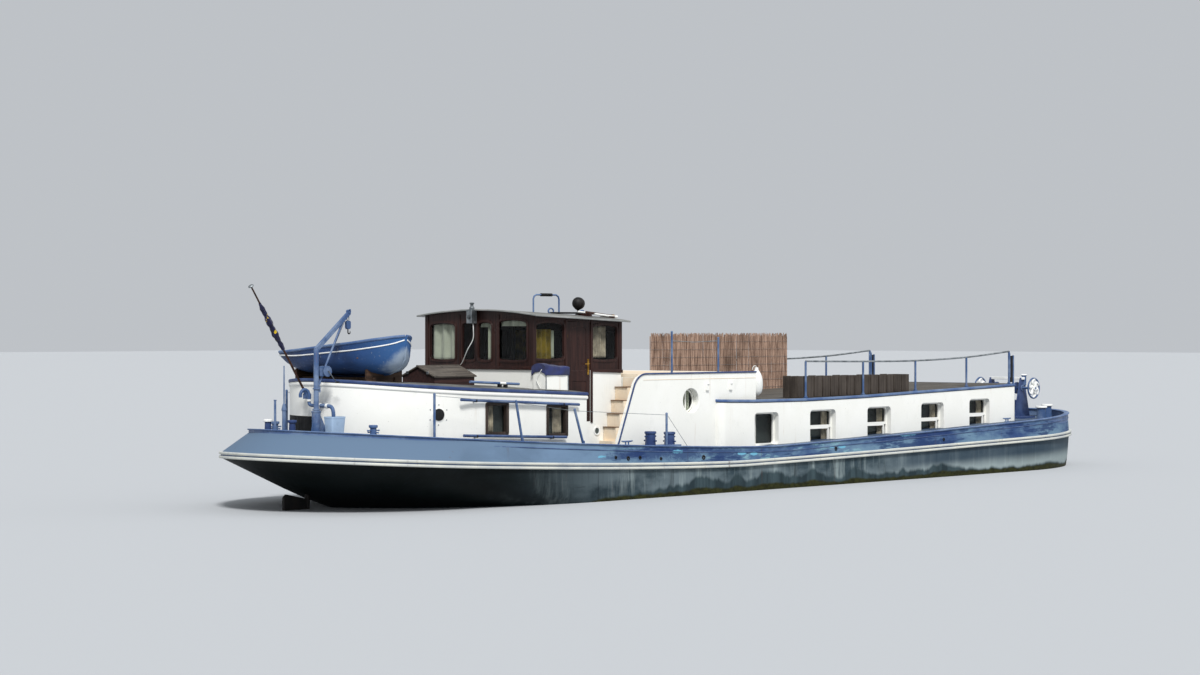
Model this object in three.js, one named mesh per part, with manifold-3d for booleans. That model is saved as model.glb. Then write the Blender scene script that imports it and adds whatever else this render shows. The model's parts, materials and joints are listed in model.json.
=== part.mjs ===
// River barge with an aft trunk, wheelhouse, raised mid trunk and long fore trunk
// Units are millimetres: +X is forward, -Y is starboard, +Z is up, and z = 0 is the flat bottom
import * as THREE from 'three';
import { mergeVertices } from 'three/addons/utils/BufferGeometryUtils.js';
import Module from 'manifold-3d';

const wasm = await Module();
wasm.setup();

// Main sizes
const DRAUGHT = 950;
const HALF_BEAM = 2500;
const STERN_X = -12200;
const BOW_X = 12200;
const SEAT_GAP = 0.3;
const CLEAR = 5;

// Sheer of the deck edge and of the rubbing band
const SHEER = { low_x: -900, low_z: 865, aft_rise: 600, aft_power: 1.35, fore_rise: 415, fore_power: 1.2 };
const BAND = { low_x: -1900, low_z: 490, aft_rise: 420, aft_power: 1.5, fore_rise: 243, fore_power: 1.25, height: 122, depth: 55 };
const DECK_CAMBER = 30;
const RAIL_HEIGHT = { mid: 30, stern: 70, bow: 190, stern_from: -8800, stern_full: -10200, bow_from: 8700, bow_full: 10300 };
const BULWARK_THICK = 55;

// Trunks: the fore and aft lines of their tops are heights above the water
const AFT_TRUNK = { half: 1850, aft_end: -10850, round_from: -8400, fore_end: -5660, top_fore: 1940, slope: 0.0445, wall: 70 };
const MID_TRUNK = { half: 1870, foot: -4800, shoulder: -4410, top_start: -4150, end: -700, top: 2325, wall: 90 };
const FORE_TRUNK = { half: 2020, start: -1950, end: 8450, wall: 130, roof: 55 };
const HOUSE = { aft: -6680, fore: -4270, half: 1450, sill_aft: 2460, sill_fore: 2380, eave_aft: 3440, eave_fore: 3340, wall: 45 };
const DOOR = { aft: -5770, fore: -5140, low: 1440, high: 3330, thick: 38 };
const HOUSE_FLOOR = 1400;

// Colours and finishes
const paint = (color, roughness = 0.55, metalness = 0.0) =>
  new THREE.MeshStandardMaterial({ color, roughness, metalness });
const NAVY_HULL = paint(0x27343f, 0.6);
const BLUE = paint(0x44598f, 0.5);
const STEEL_BLUE = paint(0x3f5f8f, 0.5);
const CREAM = paint(0xd9d4c4, 0.6);
const WHITE = paint(0xece7da, 0.5);
const BEIGE = paint(0xcdb694, 0.6);
const MAHOGANY = paint(0x3c1a18, 0.4);
const BROWN_WOOD = paint(0x5a4236, 0.7);
const GREY_WOOD = paint(0x6d665c, 0.8);
const GREY_ROOF = paint(0x7d817f, 0.6);
const GLASS = paint(0x28302f, 0.1);
const CANVAS = paint(0x27306a, 0.9);
const BRONZE = paint(0x8a6a35, 0.35, 0.9);
const IRON = paint(0x2c2c2e, 0.6, 0.6);
const PALE_BLUE = paint(0x8fa9bf, 0.6);
const BRUSHWOOD = paint(0x6b4a38, 0.95);
const FENDER_WHITE = paint(0xe8e8e4, 0.6);

const boat = new THREE.Group();

// Solids from three.js geometry, and back

function solid(geometry) {
  const bare = geometry.clone();
  bare.deleteAttribute('normal');
  bare.deleteAttribute('uv');
  const merged = mergeVertices(bare, 1e-3);
  return new wasm.Manifold(new wasm.Mesh({
    numProp: 3,
    vertProperties: new Float32Array(merged.attributes.position.array),
    triVerts: new Uint32Array(merged.index.array),
  }));
}

// A cut can leave crumbs under a cubic centimetre, and only the main body is kept
const CRUMB = 1000;

function mainBody(name, body) {
  const bodies = body.decompose().sort((a, b) => b.volume() - a.volume());
  if (bodies.length > 1 && bodies[1].volume() > CRUMB) {
    throw new Error(`${name} falls into ${bodies.length} bodies`);
  }
  return bodies[0];
}

function addNode(name, body, material) {
  const mesh = mainBody(name, body).getMesh();
  const geometry = new THREE.BufferGeometry();
  geometry.setAttribute('position', new THREE.BufferAttribute(new Float32Array(mesh.vertProperties), 3));
  geometry.setIndex(new THREE.BufferAttribute(new Uint32Array(mesh.triVerts), 1));
  geometry.computeVertexNormals();
  const node = new THREE.Mesh(geometry, material);
  node.name = name;
  boat.add(node);
}

const join = (...bodies) => bodies.reduce((whole, next) => whole.add(next));

function box(x0, x1, y0, y1, z0, z1) {
  const geometry = new THREE.BoxGeometry(x1 - x0, y1 - y0, z1 - z0);
  geometry.translate((x0 + x1) / 2, (y0 + y1) / 2, (z0 + z1) / 2);
  return solid(geometry);
}

// A flat outline pushed along one axis: (x, y) along z, (x, z) along y, or (y, z) along x
function push(outline, axis, from, to) {
  const shape = new THREE.Shape(outline.map(([a, b]) => new THREE.Vector2(a, b)));
  const geometry = new THREE.ExtrudeGeometry(shape, { depth: to - from, bevelEnabled: false });
  geometry.translate(0, 0, from);
  if (axis === 'y') {
    geometry.rotateX(Math.PI / 2);
    geometry.translate(0, from + to, 0);
  }
  if (axis === 'x') {
    geometry.rotateX(Math.PI / 2);
    geometry.rotateZ(Math.PI / 2);
  }
  return solid(geometry);
}

function rod(start, end, radius, sides = 10) {
  const a = new THREE.Vector3(...start);
  const b = new THREE.Vector3(...end);
  const geometry = new THREE.CylinderGeometry(radius, radius, a.distanceTo(b), sides);
  geometry.applyQuaternion(new THREE.Quaternion().setFromUnitVectors(
    new THREE.Vector3(0, 1, 0), b.clone().sub(a).normalize()));
  geometry.translate((a.x + b.x) / 2, (a.y + b.y) / 2, (a.z + b.z) / 2);
  return solid(geometry);
}

function ball(centre, radius, sides = 10) {
  const geometry = new THREE.SphereGeometry(radius, sides, Math.max(4, sides / 2));
  geometry.translate(...centre);
  return solid(geometry);
}

// A run of straight rods with round joints
function rodPath(points, radius, sides = 8) {
  const rods = points.slice(1).map((point, i) => rod(points[i], point, radius, sides));
  const knees = points.slice(1, -1).map((point) => ball(point, radius * 1.02, sides));
  return join(...rods, ...knees);
}

// A profile of [radius, height] turned round a vertical axis through (x, y)
function turned(profile, x, y, sides = 16) {
  const geometry = new THREE.LatheGeometry(profile.map(([r, z]) => new THREE.Vector2(r, z)), sides);
  geometry.rotateX(Math.PI / 2);
  geometry.translate(x, y, 0);
  return solid(geometry);
}

function rectangle(x0, x1, z0, z1, corner = 0, steps = 3) {
  if (corner === 0) {
    return [[x0, z0], [x1, z0], [x1, z1], [x0, z1]];
  }
  const centres = [[x1 - corner, z0 + corner, -90], [x1 - corner, z1 - corner, 0],
    [x0 + corner, z1 - corner, 90], [x0 + corner, z0 + corner, 180]];
  return centres.flatMap(([cx, cz, first]) => Array.from({ length: steps + 1 }, (_, i) => {
    const angle = THREE.MathUtils.degToRad(first + (90 * i) / steps);
    return [cx + corner * Math.cos(angle), cz + corner * Math.sin(angle)];
  }));
}

// A slab from x = 0 forward, arched across y and falling forward by a slope; a null low side is flat and deep
const DEEP = 2600;

function camberedSlab(roof, lowLift, highLift, length, slope) {
  const arc = (lift) => Array.from({ length: 11 }, (_, i) => {
    const share = -1 + i / 5;
    return [share * roof.half, lift - roof.camber * share * share];
  });
  const low = lowLift === null ? [[-roof.half, -DEEP], [roof.half, -DEEP]] : arc(lowLift);
  return push([...low, ...arc(highLift).reverse()], 'x', 0, length)
    .rotate(0, THREE.MathUtils.radToDeg(Math.atan(slope)), 0);
}

// Lines of the hull, as heights above the water

const rise = (distance, run, height, power) => height * (Math.max(0, distance) / run) ** power;

function lineHeight(line, x) {
  const aft = rise(line.low_x - x, line.low_x - STERN_X, line.aft_rise, line.aft_power);
  const fore = rise(x - line.low_x, BOW_X - line.low_x, line.fore_rise, line.fore_power);
  return line.low_z + aft + fore;
}

const smooth = (value, from, to) => THREE.MathUtils.smoothstep(value, Math.min(from, to), Math.max(from, to));

function railHeight(x) {
  const stern = (1 - smooth(x, RAIL_HEIGHT.stern_full, RAIL_HEIGHT.stern_from)) * (RAIL_HEIGHT.stern - RAIL_HEIGHT.mid);
  const bow = smooth(x, RAIL_HEIGHT.bow_from, RAIL_HEIGHT.bow_full) * (RAIL_HEIGHT.bow - RAIL_HEIGHT.mid);
  return RAIL_HEIGHT.mid + stern + bow;
}

const capTop = (x) => DRAUGHT + lineHeight(SHEER, x);
const deckEdge = (x) => capTop(x) - railHeight(x);
const bandLow = (x) => DRAUGHT + lineHeight(BAND, x);
const above = (z) => () => DRAUGHT + z;

// Plan of one level of the hull: its ends, its half breadth and how each end is rounded
const LEVELS = [
  { height: above(-DRAUGHT), stern: -8000, bow: 11400, half: 2150, aft: [6000, 1.7, 1.0], fore: [4900, 2.0, 1.45] },
  { height: above(-870), stern: -8500, bow: 11700, half: 2340, aft: [5600, 1.8, 1.0], fore: [4600, 2.0, 1.6] },
  { height: above(-650), stern: -9000, bow: 11950, half: 2450, aft: [5200, 1.9, 1.1], fore: [4300, 2.0, 1.75] },
  { height: above(-100), stern: -10050, bow: 12100, half: 2490, aft: [4600, 2.0, 1.3], fore: [4000, 2.0, 1.85] },
  { height: above(150), stern: -10700, bow: 12140, half: 2500, aft: [4000, 2.0, 1.5], fore: [3950, 2.0, 1.88] },
  { height: bandLow, stern: STERN_X, bow: BOW_X, half: 2500, aft: [3000, 2.0, 2.0], fore: [3900, 2.0, 1.9] },
  { height: (x) => bandLow(x) + BAND.height, stern: STERN_X, bow: BOW_X, half: 2500, aft: [3000, 2.0, 2.0], fore: [3900, 2.0, 1.9] },
  { height: deckEdge, stern: STERN_X + 400, bow: BOW_X - 20, half: 2490, aft: [4000, 2.0, 1.85], fore: [3900, 2.0, 1.9] },
];
const BAND_LEVEL = 5;
const DECK_LEVEL = 7;
const STATIONS = 30;
const LEAST_HALF = 45;

function halfBreadth(level, x, outward) {
  const [aftRun, aftPower, aftRoot] = level.aft;
  const [foreRun, forePower, foreRoot] = level.fore;
  const aftPart = Math.min(1, Math.max(0, (x - level.stern + outward) / aftRun));
  const forePart = Math.min(1, Math.max(0, (level.bow + outward - x) / foreRun));
  const aftShape = (1 - (1 - aftPart) ** aftPower) ** (1 / aftRoot);
  const foreShape = (1 - (1 - forePart) ** forePower) ** (1 / foreRoot);
  return Math.max(LEAST_HALF + 0.4 * outward, (level.half + outward) * aftShape * foreShape);
}

// Points of a level from the stern along starboard to the bow and back along port
function levelRing(level, outward = 0, height = level.height) {
  const starboard = Array.from({ length: STATIONS + 1 }, (_, i) => {
    const share = (1 - Math.cos((Math.PI * i) / STATIONS)) / 2;
    const x = THREE.MathUtils.lerp(level.stern - outward, level.bow + outward, share);
    return [x, -halfBreadth(level, x, outward), height(x)];
  });
  const port = starboard.map(([x, y, z]) => [x, -y, z]).reverse();
  return [...starboard, ...port];
}

function meshOf(points, triangles) {
  const geometry = new THREE.BufferGeometry();
  geometry.setAttribute('position', new THREE.BufferAttribute(new Float32Array(points.flat()), 3));
  geometry.setIndex(triangles.flat());
  return solid(geometry);
}

// Side faces between rings of equal count, with each ring closed on itself
function ringFaces(ringCount, pointCount, closed) {
  const faces = [];
  const pairs = closed ? ringCount : ringCount - 1;
  for (let ring = 0; ring < pairs; ring += 1) {
    const low = ring * pointCount;
    const high = ((ring + 1) % ringCount) * pointCount;
    for (let i = 0; i < pointCount; i += 1) {
      const next = (i + 1) % pointCount;
      faces.push([low + i, low + next, high + next], [low + i, high + next, high + i]);
    }
  }
  return faces;
}

const sweepRing = (rings) => meshOf(rings.flat(), ringFaces(rings.length, rings[0].length, true));

function makeHull() {
  const rings = LEVELS.map((level) => levelRing(level));
  const count = rings[0].length;
  const top = rings[rings.length - 1];
  const points = rings.flat();
  const faces = ringFaces(rings.length, count, false);
  const mirror = (i) => count - 1 - i;
  for (let i = 0; i < STATIONS; i += 1) {
    faces.push([i, mirror(i + 1), i + 1], [i, mirror(i), mirror(i + 1)]);
  }
  const topStart = (rings.length - 1) * count;
  const ridge = points.length;
  top.slice(0, STATIONS + 1).forEach(([x, y, z]) => {
    points.push([x, 0, z + DECK_CAMBER * ((Math.abs(y) - LEAST_HALF) / HALF_BEAM)]);
  });
  for (let i = 0; i < STATIONS; i += 1) {
    const near = topStart + i;
    const far = topStart + mirror(i);
    const farNext = topStart + mirror(i + 1);
    faces.push([near, near + 1, ridge + i + 1], [near, ridge + i + 1, ridge + i]);
    faces.push([ridge + i, ridge + i + 1, farNext], [ridge + i, farNext, far]);
  }
  faces.push([topStart, ridge, topStart + mirror(0)]);
  faces.push([topStart + STATIONS, topStart + mirror(STATIONS), ridge + STATIONS]);
  return meshOf(points, faces);
}

// Sternpost, heel and shaft boss
const SHAFT_Z = DRAUGHT - 430;
const PROPELLER_X = -10330;
const STOCK_X = -10900;
const BOSS_END = -10100;
const HEEL_TOP = 70;

function makeSternGear() {
  const heel = box(STOCK_X - 90, -7800, -60, 60, 0, HEEL_TOP);
  const deadwood = push([[-9950, SHAFT_Z - 90], [-9950, 900], [-8200, 900], [-8000, 20], [-9700, 20]], 'y', -60, 60);
  const boss = rod([BOSS_END, 0, SHAFT_Z], [-8700, 0, SHAFT_Z], 95, 14);
  return join(heel, deadwood, boss);
}

// Spaces inside the hull: aft cabin, engine room and hold
const CABINS = [
  { aft: -9300, fore: -6900, half: 1300, low: 1250 },
  { aft: -6500, fore: -4500, half: 1400, low: 420 },
  { aft: -3900, fore: 7700, half: 1750, low: 300 },
];

const STOCK_TOP = 1600;
const STOCK_RADIUS = 45;

const hullBody = CABINS.reduce(
  (whole, cabin) => whole.subtract(box(cabin.aft, cabin.fore, -cabin.half, cabin.half, cabin.low, 4000)),
  join(makeHull(), makeSternGear()),
).subtract(rod([STOCK_X, 0, 500], [STOCK_X, 0, STOCK_TOP], STOCK_RADIUS + 7, 14));
const hullRaised = hullBody.translate(0, 0, SEAT_GAP);

// The hull is made in four blocks that butt together between the cabins
const HULL_BLOCKS = [['hull_stern', -12500, -9500], ['hull_aft', -9500, -4200], ['hull_hold', -4200, 7900],
  ['hull_bow', 7900, 12500]];
for (const [name, aft, fore] of HULL_BLOCKS) {
  addNode(name, hullBody.intersect(box(aft + SEAT_GAP / 2, fore - SEAT_GAP / 2, -3000, 3000, -100, 4000)), NAVY_HULL);
}

// Low bulwark and cap rail round the deck edge
function makeBulwark() {
  const deck = LEVELS[DECK_LEVEL];
  const base = (x) => deckEdge(x) + SEAT_GAP;
  const innerBase = (x) => base(x) + 15;
  const under = (x) => capTop(x) - 22;
  const rings = [
    levelRing(deck, 0, base),
    levelRing(deck, 0, under),
    levelRing(deck, 22, under),
    levelRing(deck, 22, capTop),
    levelRing(deck, -85, capTop),
    levelRing(deck, -85, under),
    levelRing(deck, -BULWARK_THICK, under),
    levelRing(deck, -BULWARK_THICK, innerBase),
  ];
  return sweepRing(rings);
}

const bulwarkBody = makeBulwark();
addNode('bulwark', bulwarkBody, BLUE);

// Two rubbing strips with a groove between, in one band round the hull
function makeBand() {
  const level = LEVELS[BAND_LEVEL];
  const at = (share) => (x) => bandLow(x) + share * BAND.height;
  const profile = [[SEAT_GAP, 0.0], [BAND.depth, 0.04], [BAND.depth, 0.36], [22, 0.42], [22, 0.58],
    [BAND.depth, 0.64], [BAND.depth, 0.96], [SEAT_GAP, 1.0]];
  return sweepRing(profile.map(([out, share]) => levelRing(level, out, at(share))));
}

addNode('rubbing_band', makeBand(), CREAM);

// Aft trunk: walls with a rounded aft end, windows, roof with a rounded edge

const aftTop = (x) => DRAUGHT + AFT_TRUNK.top_fore + AFT_TRUNK.slope * (AFT_TRUNK.fore_end - x);

function aftPlan(inward) {
  const half = AFT_TRUNK.half - inward;
  const run = AFT_TRUNK.round_from - AFT_TRUNK.aft_end - inward;
  const arc = Array.from({ length: 17 }, (_, i) => {
    const angle = Math.PI / 2 + (Math.PI * i) / 16;
    return [AFT_TRUNK.round_from + run * Math.cos(angle), half * Math.sin(angle)];
  });
  const fore = AFT_TRUNK.fore_end - inward;
  return [[fore, half], ...arc, [fore, -half]];
}

const AFT_ROOF = { half: 1900, camber: 80, thick: 60, aft: -12000, length: 7000 };

const aftSlope = (low, high) => camberedSlab(AFT_ROOF, low, high, AFT_ROOF.length, AFT_TRUNK.slope)
  .translate(AFT_ROOF.aft, 0, aftTop(AFT_ROOF.aft) + AFT_ROOF.camber);

const aftRoofTop = (x, y) => aftTop(x) + AFT_ROOF.thick + AFT_ROOF.camber * (1 - (y / AFT_ROOF.half) ** 2);

const AFT_WINDOWS = [[-8290, -7740, 1280, 1850], [-6725, -6190, 1210, 1780]];
const PORTHOLE = { x: -9330, z: 1665, radius: 98 };

function windowCuts(windows, half, corner) {
  return windows.flatMap(([x0, x1, z0, z1]) => [-1, 1].map((side) => push(
    rectangle(x0, x1, DRAUGHT + z0, DRAUGHT + z1, corner), 'y',
    side < 0 ? -half - 200 : half - 300, side < 0 ? -half + 300 : half + 200)));
}

function cutAll(body, cuts) {
  return cuts.reduce((left, cut) => left.subtract(cut), body);
}

// The wheelhouse stands in a gap at the trunk's fore end
const houseSpace = (margin, low, high) => box(HOUSE.aft - margin, HOUSE.fore + margin,
  -HOUSE.half - margin, HOUSE.half + margin, low, high);

function makeAftTrunk() {
  const shell = push(aftPlan(0), 'z', 1900, 3600).subtract(push(aftPlan(AFT_TRUNK.wall), 'z', 1800, 3700));
  const topped = shell.intersect(aftSlope(null, -SEAT_GAP));
  const portholes = [-1, 1].map((side) => rod([PORTHOLE.x, side * 1400, DRAUGHT + PORTHOLE.z],
    [PORTHOLE.x, side * 2100, DRAUGHT + PORTHOLE.z], PORTHOLE.radius, 16));
  return cutAll(topped, [...windowCuts(AFT_WINDOWS, AFT_TRUNK.half, 0), ...portholes,
    houseSpace(SEAT_GAP, 1000, 5000)]).subtract(hullRaised);
}

addNode('aft_trunk', makeAftTrunk(), WHITE);

const HATCH = { x0: -8550, x1: -7540, y0: -780, y1: 80, eave: 3262, ridge: 3440, lid: 34, wall: 40, over: 30 };
const hatchway = box(HATCH.x0 + HATCH.wall, HATCH.x1 - HATCH.wall, HATCH.y0 + HATCH.wall, HATCH.y1 - HATCH.wall, 2800, 3700);

function makeAftRoof() {
  const plate = push(aftPlan(-25), 'z', 2000, 4000).intersect(aftSlope(0, AFT_ROOF.thick));
  return plate.subtract(houseSpace(SEAT_GAP, 1000, 5000)).subtract(hatchway);
}

const aftRoofBody = makeAftRoof();
addNode('aft_trunk_roof', aftRoofBody, BLUE);

// Wooden window frames of the aft trunk, a strip behind the wall on each side
for (const [side, name] of [[-1, 'starboard'], [1, 'port']]) {
  const outer = AFT_TRUNK.half - AFT_TRUNK.wall - SEAT_GAP;
  const inner = outer - 30;
  const strip = push(rectangle(-8400, -6750, DRAUGHT + 1180, DRAUGHT + 1900), 'y',
    side < 0 ? -outer : inner, side < 0 ? -inner : outer);
  addNode(`aft_window_${name}`, strip.subtract(hullRaised), GLASS);
}

// Wheelhouse base, walls, roof, glass and doors

const sillAt = (x) => DRAUGHT + THREE.MathUtils.mapLinear(x, HOUSE.aft, HOUSE.fore, HOUSE.sill_aft, HOUSE.sill_fore);
const eaveAt = (x) => DRAUGHT + THREE.MathUtils.mapLinear(x, HOUSE.aft, HOUSE.fore, HOUSE.eave_aft, HOUSE.eave_fore);
const FAR = 500;

const houseBelow = (height) => push([[HOUSE.aft - FAR, 0], [HOUSE.fore + FAR, 0],
  [HOUSE.fore + FAR, height(HOUSE.fore + FAR)], [HOUSE.aft - FAR, height(HOUSE.aft - FAR)]], 'y', -3000, 3000);

const doorCut = (side) => box(DOOR.aft - CLEAR, DOOR.fore + CLEAR,
  side < 0 ? -1700 : 1200, side < 0 ? -1200 : 1700, DRAUGHT + DOOR.low - CLEAR, DRAUGHT + DOOR.high + CLEAR);

function makeHouseBase() {
  const outer = box(HOUSE.aft, HOUSE.fore, -HOUSE.half, HOUSE.half, 1500, 4000);
  const inner = box(HOUSE.aft + 60, HOUSE.fore - 60, -HOUSE.half + 60, HOUSE.half - 60, 1400, 4100);
  const floor = box(HOUSE.aft + 30, HOUSE.fore - 30, -HOUSE.half + 30, HOUSE.half - 30,
    DRAUGHT + HOUSE_FLOOR - 40, DRAUGHT + HOUSE_FLOOR);
  const walls = outer.subtract(inner).intersect(houseBelow((x) => sillAt(x) - SEAT_GAP));
  return cutAll(join(walls, floor), [doorCut(-1), doorCut(1)]).subtract(hullRaised);
}

addNode('wheelhouse_base', makeHouseBase(), WHITE);

// Cambered roof with an overhang all round
const HOUSE_ROOF = { over_aft: 90, over_fore: 90, half: 1610, camber: 110, thick: 32 };
const HOUSE_PITCH = (HOUSE.eave_aft - HOUSE.eave_fore) / (HOUSE.fore - HOUSE.aft);

function placeRoof(lowLift, highLift, over, lift) {
  const crown = HOUSE_ROOF.camber * (HOUSE.half / HOUSE_ROOF.half) ** 2;
  const aft = HOUSE.aft - HOUSE_ROOF.over_aft - over;
  const length = HOUSE.fore - HOUSE.aft + HOUSE_ROOF.over_aft + HOUSE_ROOF.over_fore + 2 * over;
  return camberedSlab(HOUSE_ROOF, lowLift, highLift, length, HOUSE_PITCH)
    .translate(aft, 0, eaveAt(aft) + crown + lift);
}

const houseRoofBody = placeRoof(0, HOUSE_ROOF.thick, 0, SEAT_GAP);
const houseUnderRoof = placeRoof(null, 0, 400, 0);

const HOUSE_WINDOWS_AFT = [[630, 1330], [90, 450], [-360, 20], [-1290, -520]];
const HOUSE_WINDOWS_FORE = [[560, 1310], [-375, 375], [-1310, -560]];
const HOUSE_WINDOWS_SIDE = [[-6620, -5850, 2630, 3320], [-5080, -4385, 2605, 3275]];
const HOUSE_WINDOW_HEIGHTS = { aft: [2605, 3330], fore: [2570, 3190] };

function makeHouseWalls() {
  const outer = box(HOUSE.aft, HOUSE.fore, -HOUSE.half, HOUSE.half, 2500, 5000);
  const inner = box(HOUSE.aft + HOUSE.wall, HOUSE.fore - HOUSE.wall,
    -HOUSE.half + HOUSE.wall, HOUSE.half - HOUSE.wall, 2400, 5100);
  const walls = outer.subtract(inner).intersect(houseUnderRoof).subtract(houseBelow(sillAt));
  const across = (list, heights, x) => list.map(([y0, y1]) => push(
    rectangle(y0, y1, DRAUGHT + heights[0], DRAUGHT + heights[1], 70, 2), 'x', x - 200, x + 200));
  return cutAll(walls, [
    ...across(HOUSE_WINDOWS_AFT, HOUSE_WINDOW_HEIGHTS.aft, HOUSE.aft),
    ...across(HOUSE_WINDOWS_FORE, HOUSE_WINDOW_HEIGHTS.fore, HOUSE.fore),
    ...windowCuts(HOUSE_WINDOWS_SIDE, HOUSE.half, 70),
    doorCut(-1),
    doorCut(1),
  ]);
}

addNode('wheelhouse_walls', makeHouseWalls(), MAHOGANY);

addNode('wheelhouse_roof', houseRoofBody, GREY_ROOF);

// Panes inside the walls, one body round the aft end and one round the fore end
function makeHouseGlass(end) {
  const inside = HOUSE.half - HOUSE.wall - SEAT_GAP;
  const aftward = end === 'aft';
  const x0 = aftward ? HOUSE.aft + HOUSE.wall + SEAT_GAP : DOOR.fore + 60;
  const x1 = aftward ? DOOR.aft - 60 : HOUSE.fore - HOUSE.wall - SEAT_GAP;
  const pane = 12;
  const outer = box(x0, x1, -inside, inside, DRAUGHT + 2530, DRAUGHT + 3300);
  const inner = box(aftward ? x0 + pane : x0 - 10, aftward ? x1 + 10 : x1 - pane,
    -inside + pane, inside - pane, DRAUGHT + 2400, DRAUGHT + 3400);
  return outer.subtract(inner);
}

addNode('wheelhouse_glass_aft', makeHouseGlass('aft'), GLASS);
addNode('wheelhouse_glass_fore', makeHouseGlass('fore'), GLASS);

// A door leaf with its lock plate, lever handle and two hinge knuckles, made for port and mirrored to starboard
const HINGE = { x: DOOR.aft, y: HOUSE.half - HOUSE.wall - 10.3, radius: 11, heights: [2560, 3160], tall: 90 };
const LOCK = { x: DOOR.fore - 70, low: 2420, high: 2640, lever: 2580, reach: 45, grip: 120, radius: 9 };

function makeDoor(side) {
  const outer = HOUSE.half - 3;
  const inner = outer - DOOR.thick;
  const leaf = box(DOOR.aft, DOOR.fore, inner, outer, DRAUGHT + DOOR.low, DRAUGHT + DOOR.high);
  const plate = box(LOCK.x - 25, LOCK.x + 25, outer, outer + 4, DRAUGHT + LOCK.low, DRAUGHT + LOCK.high);
  const end = outer + LOCK.reach - 3;
  const lever = rod([LOCK.x, outer - 2, DRAUGHT + LOCK.lever], [LOCK.x, end + 3, DRAUGHT + LOCK.lever], LOCK.radius, 8);
  const grip = rod([LOCK.x, end, DRAUGHT + LOCK.lever], [LOCK.x - LOCK.grip, end, DRAUGHT + LOCK.lever], LOCK.radius, 8);
  const knuckles = HINGE.heights.flatMap((z) => [
    rod([HINGE.x, HINGE.y, DRAUGHT + z], [HINGE.x, HINGE.y, DRAUGHT + z + HINGE.tall], HINGE.radius, 12),
    box(HINGE.x + 1, HINGE.x + 40, HINGE.y - 5, inner + 1, DRAUGHT + z, DRAUGHT + z + HINGE.tall),
  ]);
  const door = join(leaf, plate, lever, grip, ...knuckles);
  return side < 0 ? door.mirror([0, 1, 0]) : door;
}

addNode('wheelhouse_door_starboard', makeDoor(-1), MAHOGANY);
addNode('wheelhouse_door_port', makeDoor(1), MAHOGANY);

// Helm: console and steering wheel
const HELM = { x: -4560, z: DRAUGHT + 2330, radius: 360 };
addNode('helm_console', join(
  box(HELM.x - 60, HOUSE.fore - 60 - SEAT_GAP, -500, 500, DRAUGHT + HOUSE_FLOOR + SEAT_GAP, DRAUGHT + 2350),
  rod([HELM.x - 120, 0, HELM.z - 60], [HELM.x - 50, 0, HELM.z - 60], 40, 12)), MAHOGANY);

function makeWheel() {
  const x = HELM.x - 175;
  const rim = new THREE.TorusGeometry(HELM.radius, 17, 5, 20);
  rim.rotateY(Math.PI / 2);
  rim.translate(x, 0, HELM.z - 60);
  const spokes = Array.from({ length: 8 }, (_, i) => {
    const angle = (Math.PI * i) / 4;
    const reach = HELM.radius + 95;
    return rod([x, 0, HELM.z - 60], [x, reach * Math.cos(angle), HELM.z - 60 + reach * Math.sin(angle)], 12, 5);
  });
  const hub = rod([x - 35, 0, HELM.z - 60], [HELM.x - 120 - SEAT_GAP, 0, HELM.z - 60], 55, 14);
  return join(solid(rim), hub, ...spokes);
}

addNode('steering_wheel', makeWheel(), BROWN_WOOD);

// Raised mid trunk with slanted aft edges, its roof deck and its two stairs

const midTop = DRAUGHT + MID_TRUNK.top;
const midSide = [[MID_TRUNK.foot - 20, 1500], [MID_TRUNK.foot, DRAUGHT + 1070], [MID_TRUNK.shoulder, DRAUGHT + 2190],
  [MID_TRUNK.shoulder + 80, DRAUGHT + 2270], [MID_TRUNK.top_start, midTop], [MID_TRUNK.end, midTop], [MID_TRUNK.end, 1500]];
const STAIR = { inner: 1450, steps: 5, going: 110, low: 1060, rise: 252, aft: -4890 };
const FRONT_LOW = DRAUGHT + 1680;
const BIG_PORTHOLE = { x: -2700, z: 1790, radius: 235 };

function makeMidTrunk() {
  const sides = [-1, 1].map((side) => push(midSide, 'y',
    side < 0 ? -MID_TRUNK.half : MID_TRUNK.half - MID_TRUNK.wall,
    side < 0 ? -MID_TRUNK.half + MID_TRUNK.wall : MID_TRUNK.half));
  const front = box(MID_TRUNK.end - MID_TRUNK.wall, MID_TRUNK.end, -MID_TRUNK.half + 10, MID_TRUNK.half - 10, FRONT_LOW, midTop);
  const back = box(HOUSE.fore + 40, HOUSE.fore + 100, -MID_TRUNK.half + 10, MID_TRUNK.half - 10, 1500, midTop - 60);
  const portholes = [-1, 1].map((side) => rod([BIG_PORTHOLE.x, side * 1500, DRAUGHT + BIG_PORTHOLE.z],
    [BIG_PORTHOLE.x, side * 2200, DRAUGHT + BIG_PORTHOLE.z], BIG_PORTHOLE.radius, 24));
  return cutAll(join(...sides, front, back), portholes).subtract(hullRaised);
}

const midBody = makeMidTrunk();

function makeStair(side) {
  const treads = Array.from({ length: STAIR.steps }, (_, i) => box(
    STAIR.aft + i * STAIR.going, HOUSE.fore + 40 - SEAT_GAP,
    STAIR.inner + 10, MID_TRUNK.half - MID_TRUNK.wall - SEAT_GAP,
    1500, DRAUGHT + STAIR.low + i * STAIR.rise));
  const body = join(...treads);
  return (side < 0 ? body.mirror([0, 1, 0]) : body).subtract(hullRaised).subtract(houseSpace(SEAT_GAP, 1000, 5000));
}

addNode('mid_trunk', midBody, WHITE);
addNode('stair_starboard', makeStair(-1), BEIGE);
addNode('stair_port', makeStair(1), BEIGE);

addNode('mid_roof', box(HOUSE.fore + 110, MID_TRUNK.end - MID_TRUNK.wall - SEAT_GAP,
  -MID_TRUNK.half + MID_TRUNK.wall + SEAT_GAP, MID_TRUNK.half - MID_TRUNK.wall - SEAT_GAP, midTop - 60, midTop - 5), BEIGE);

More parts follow.
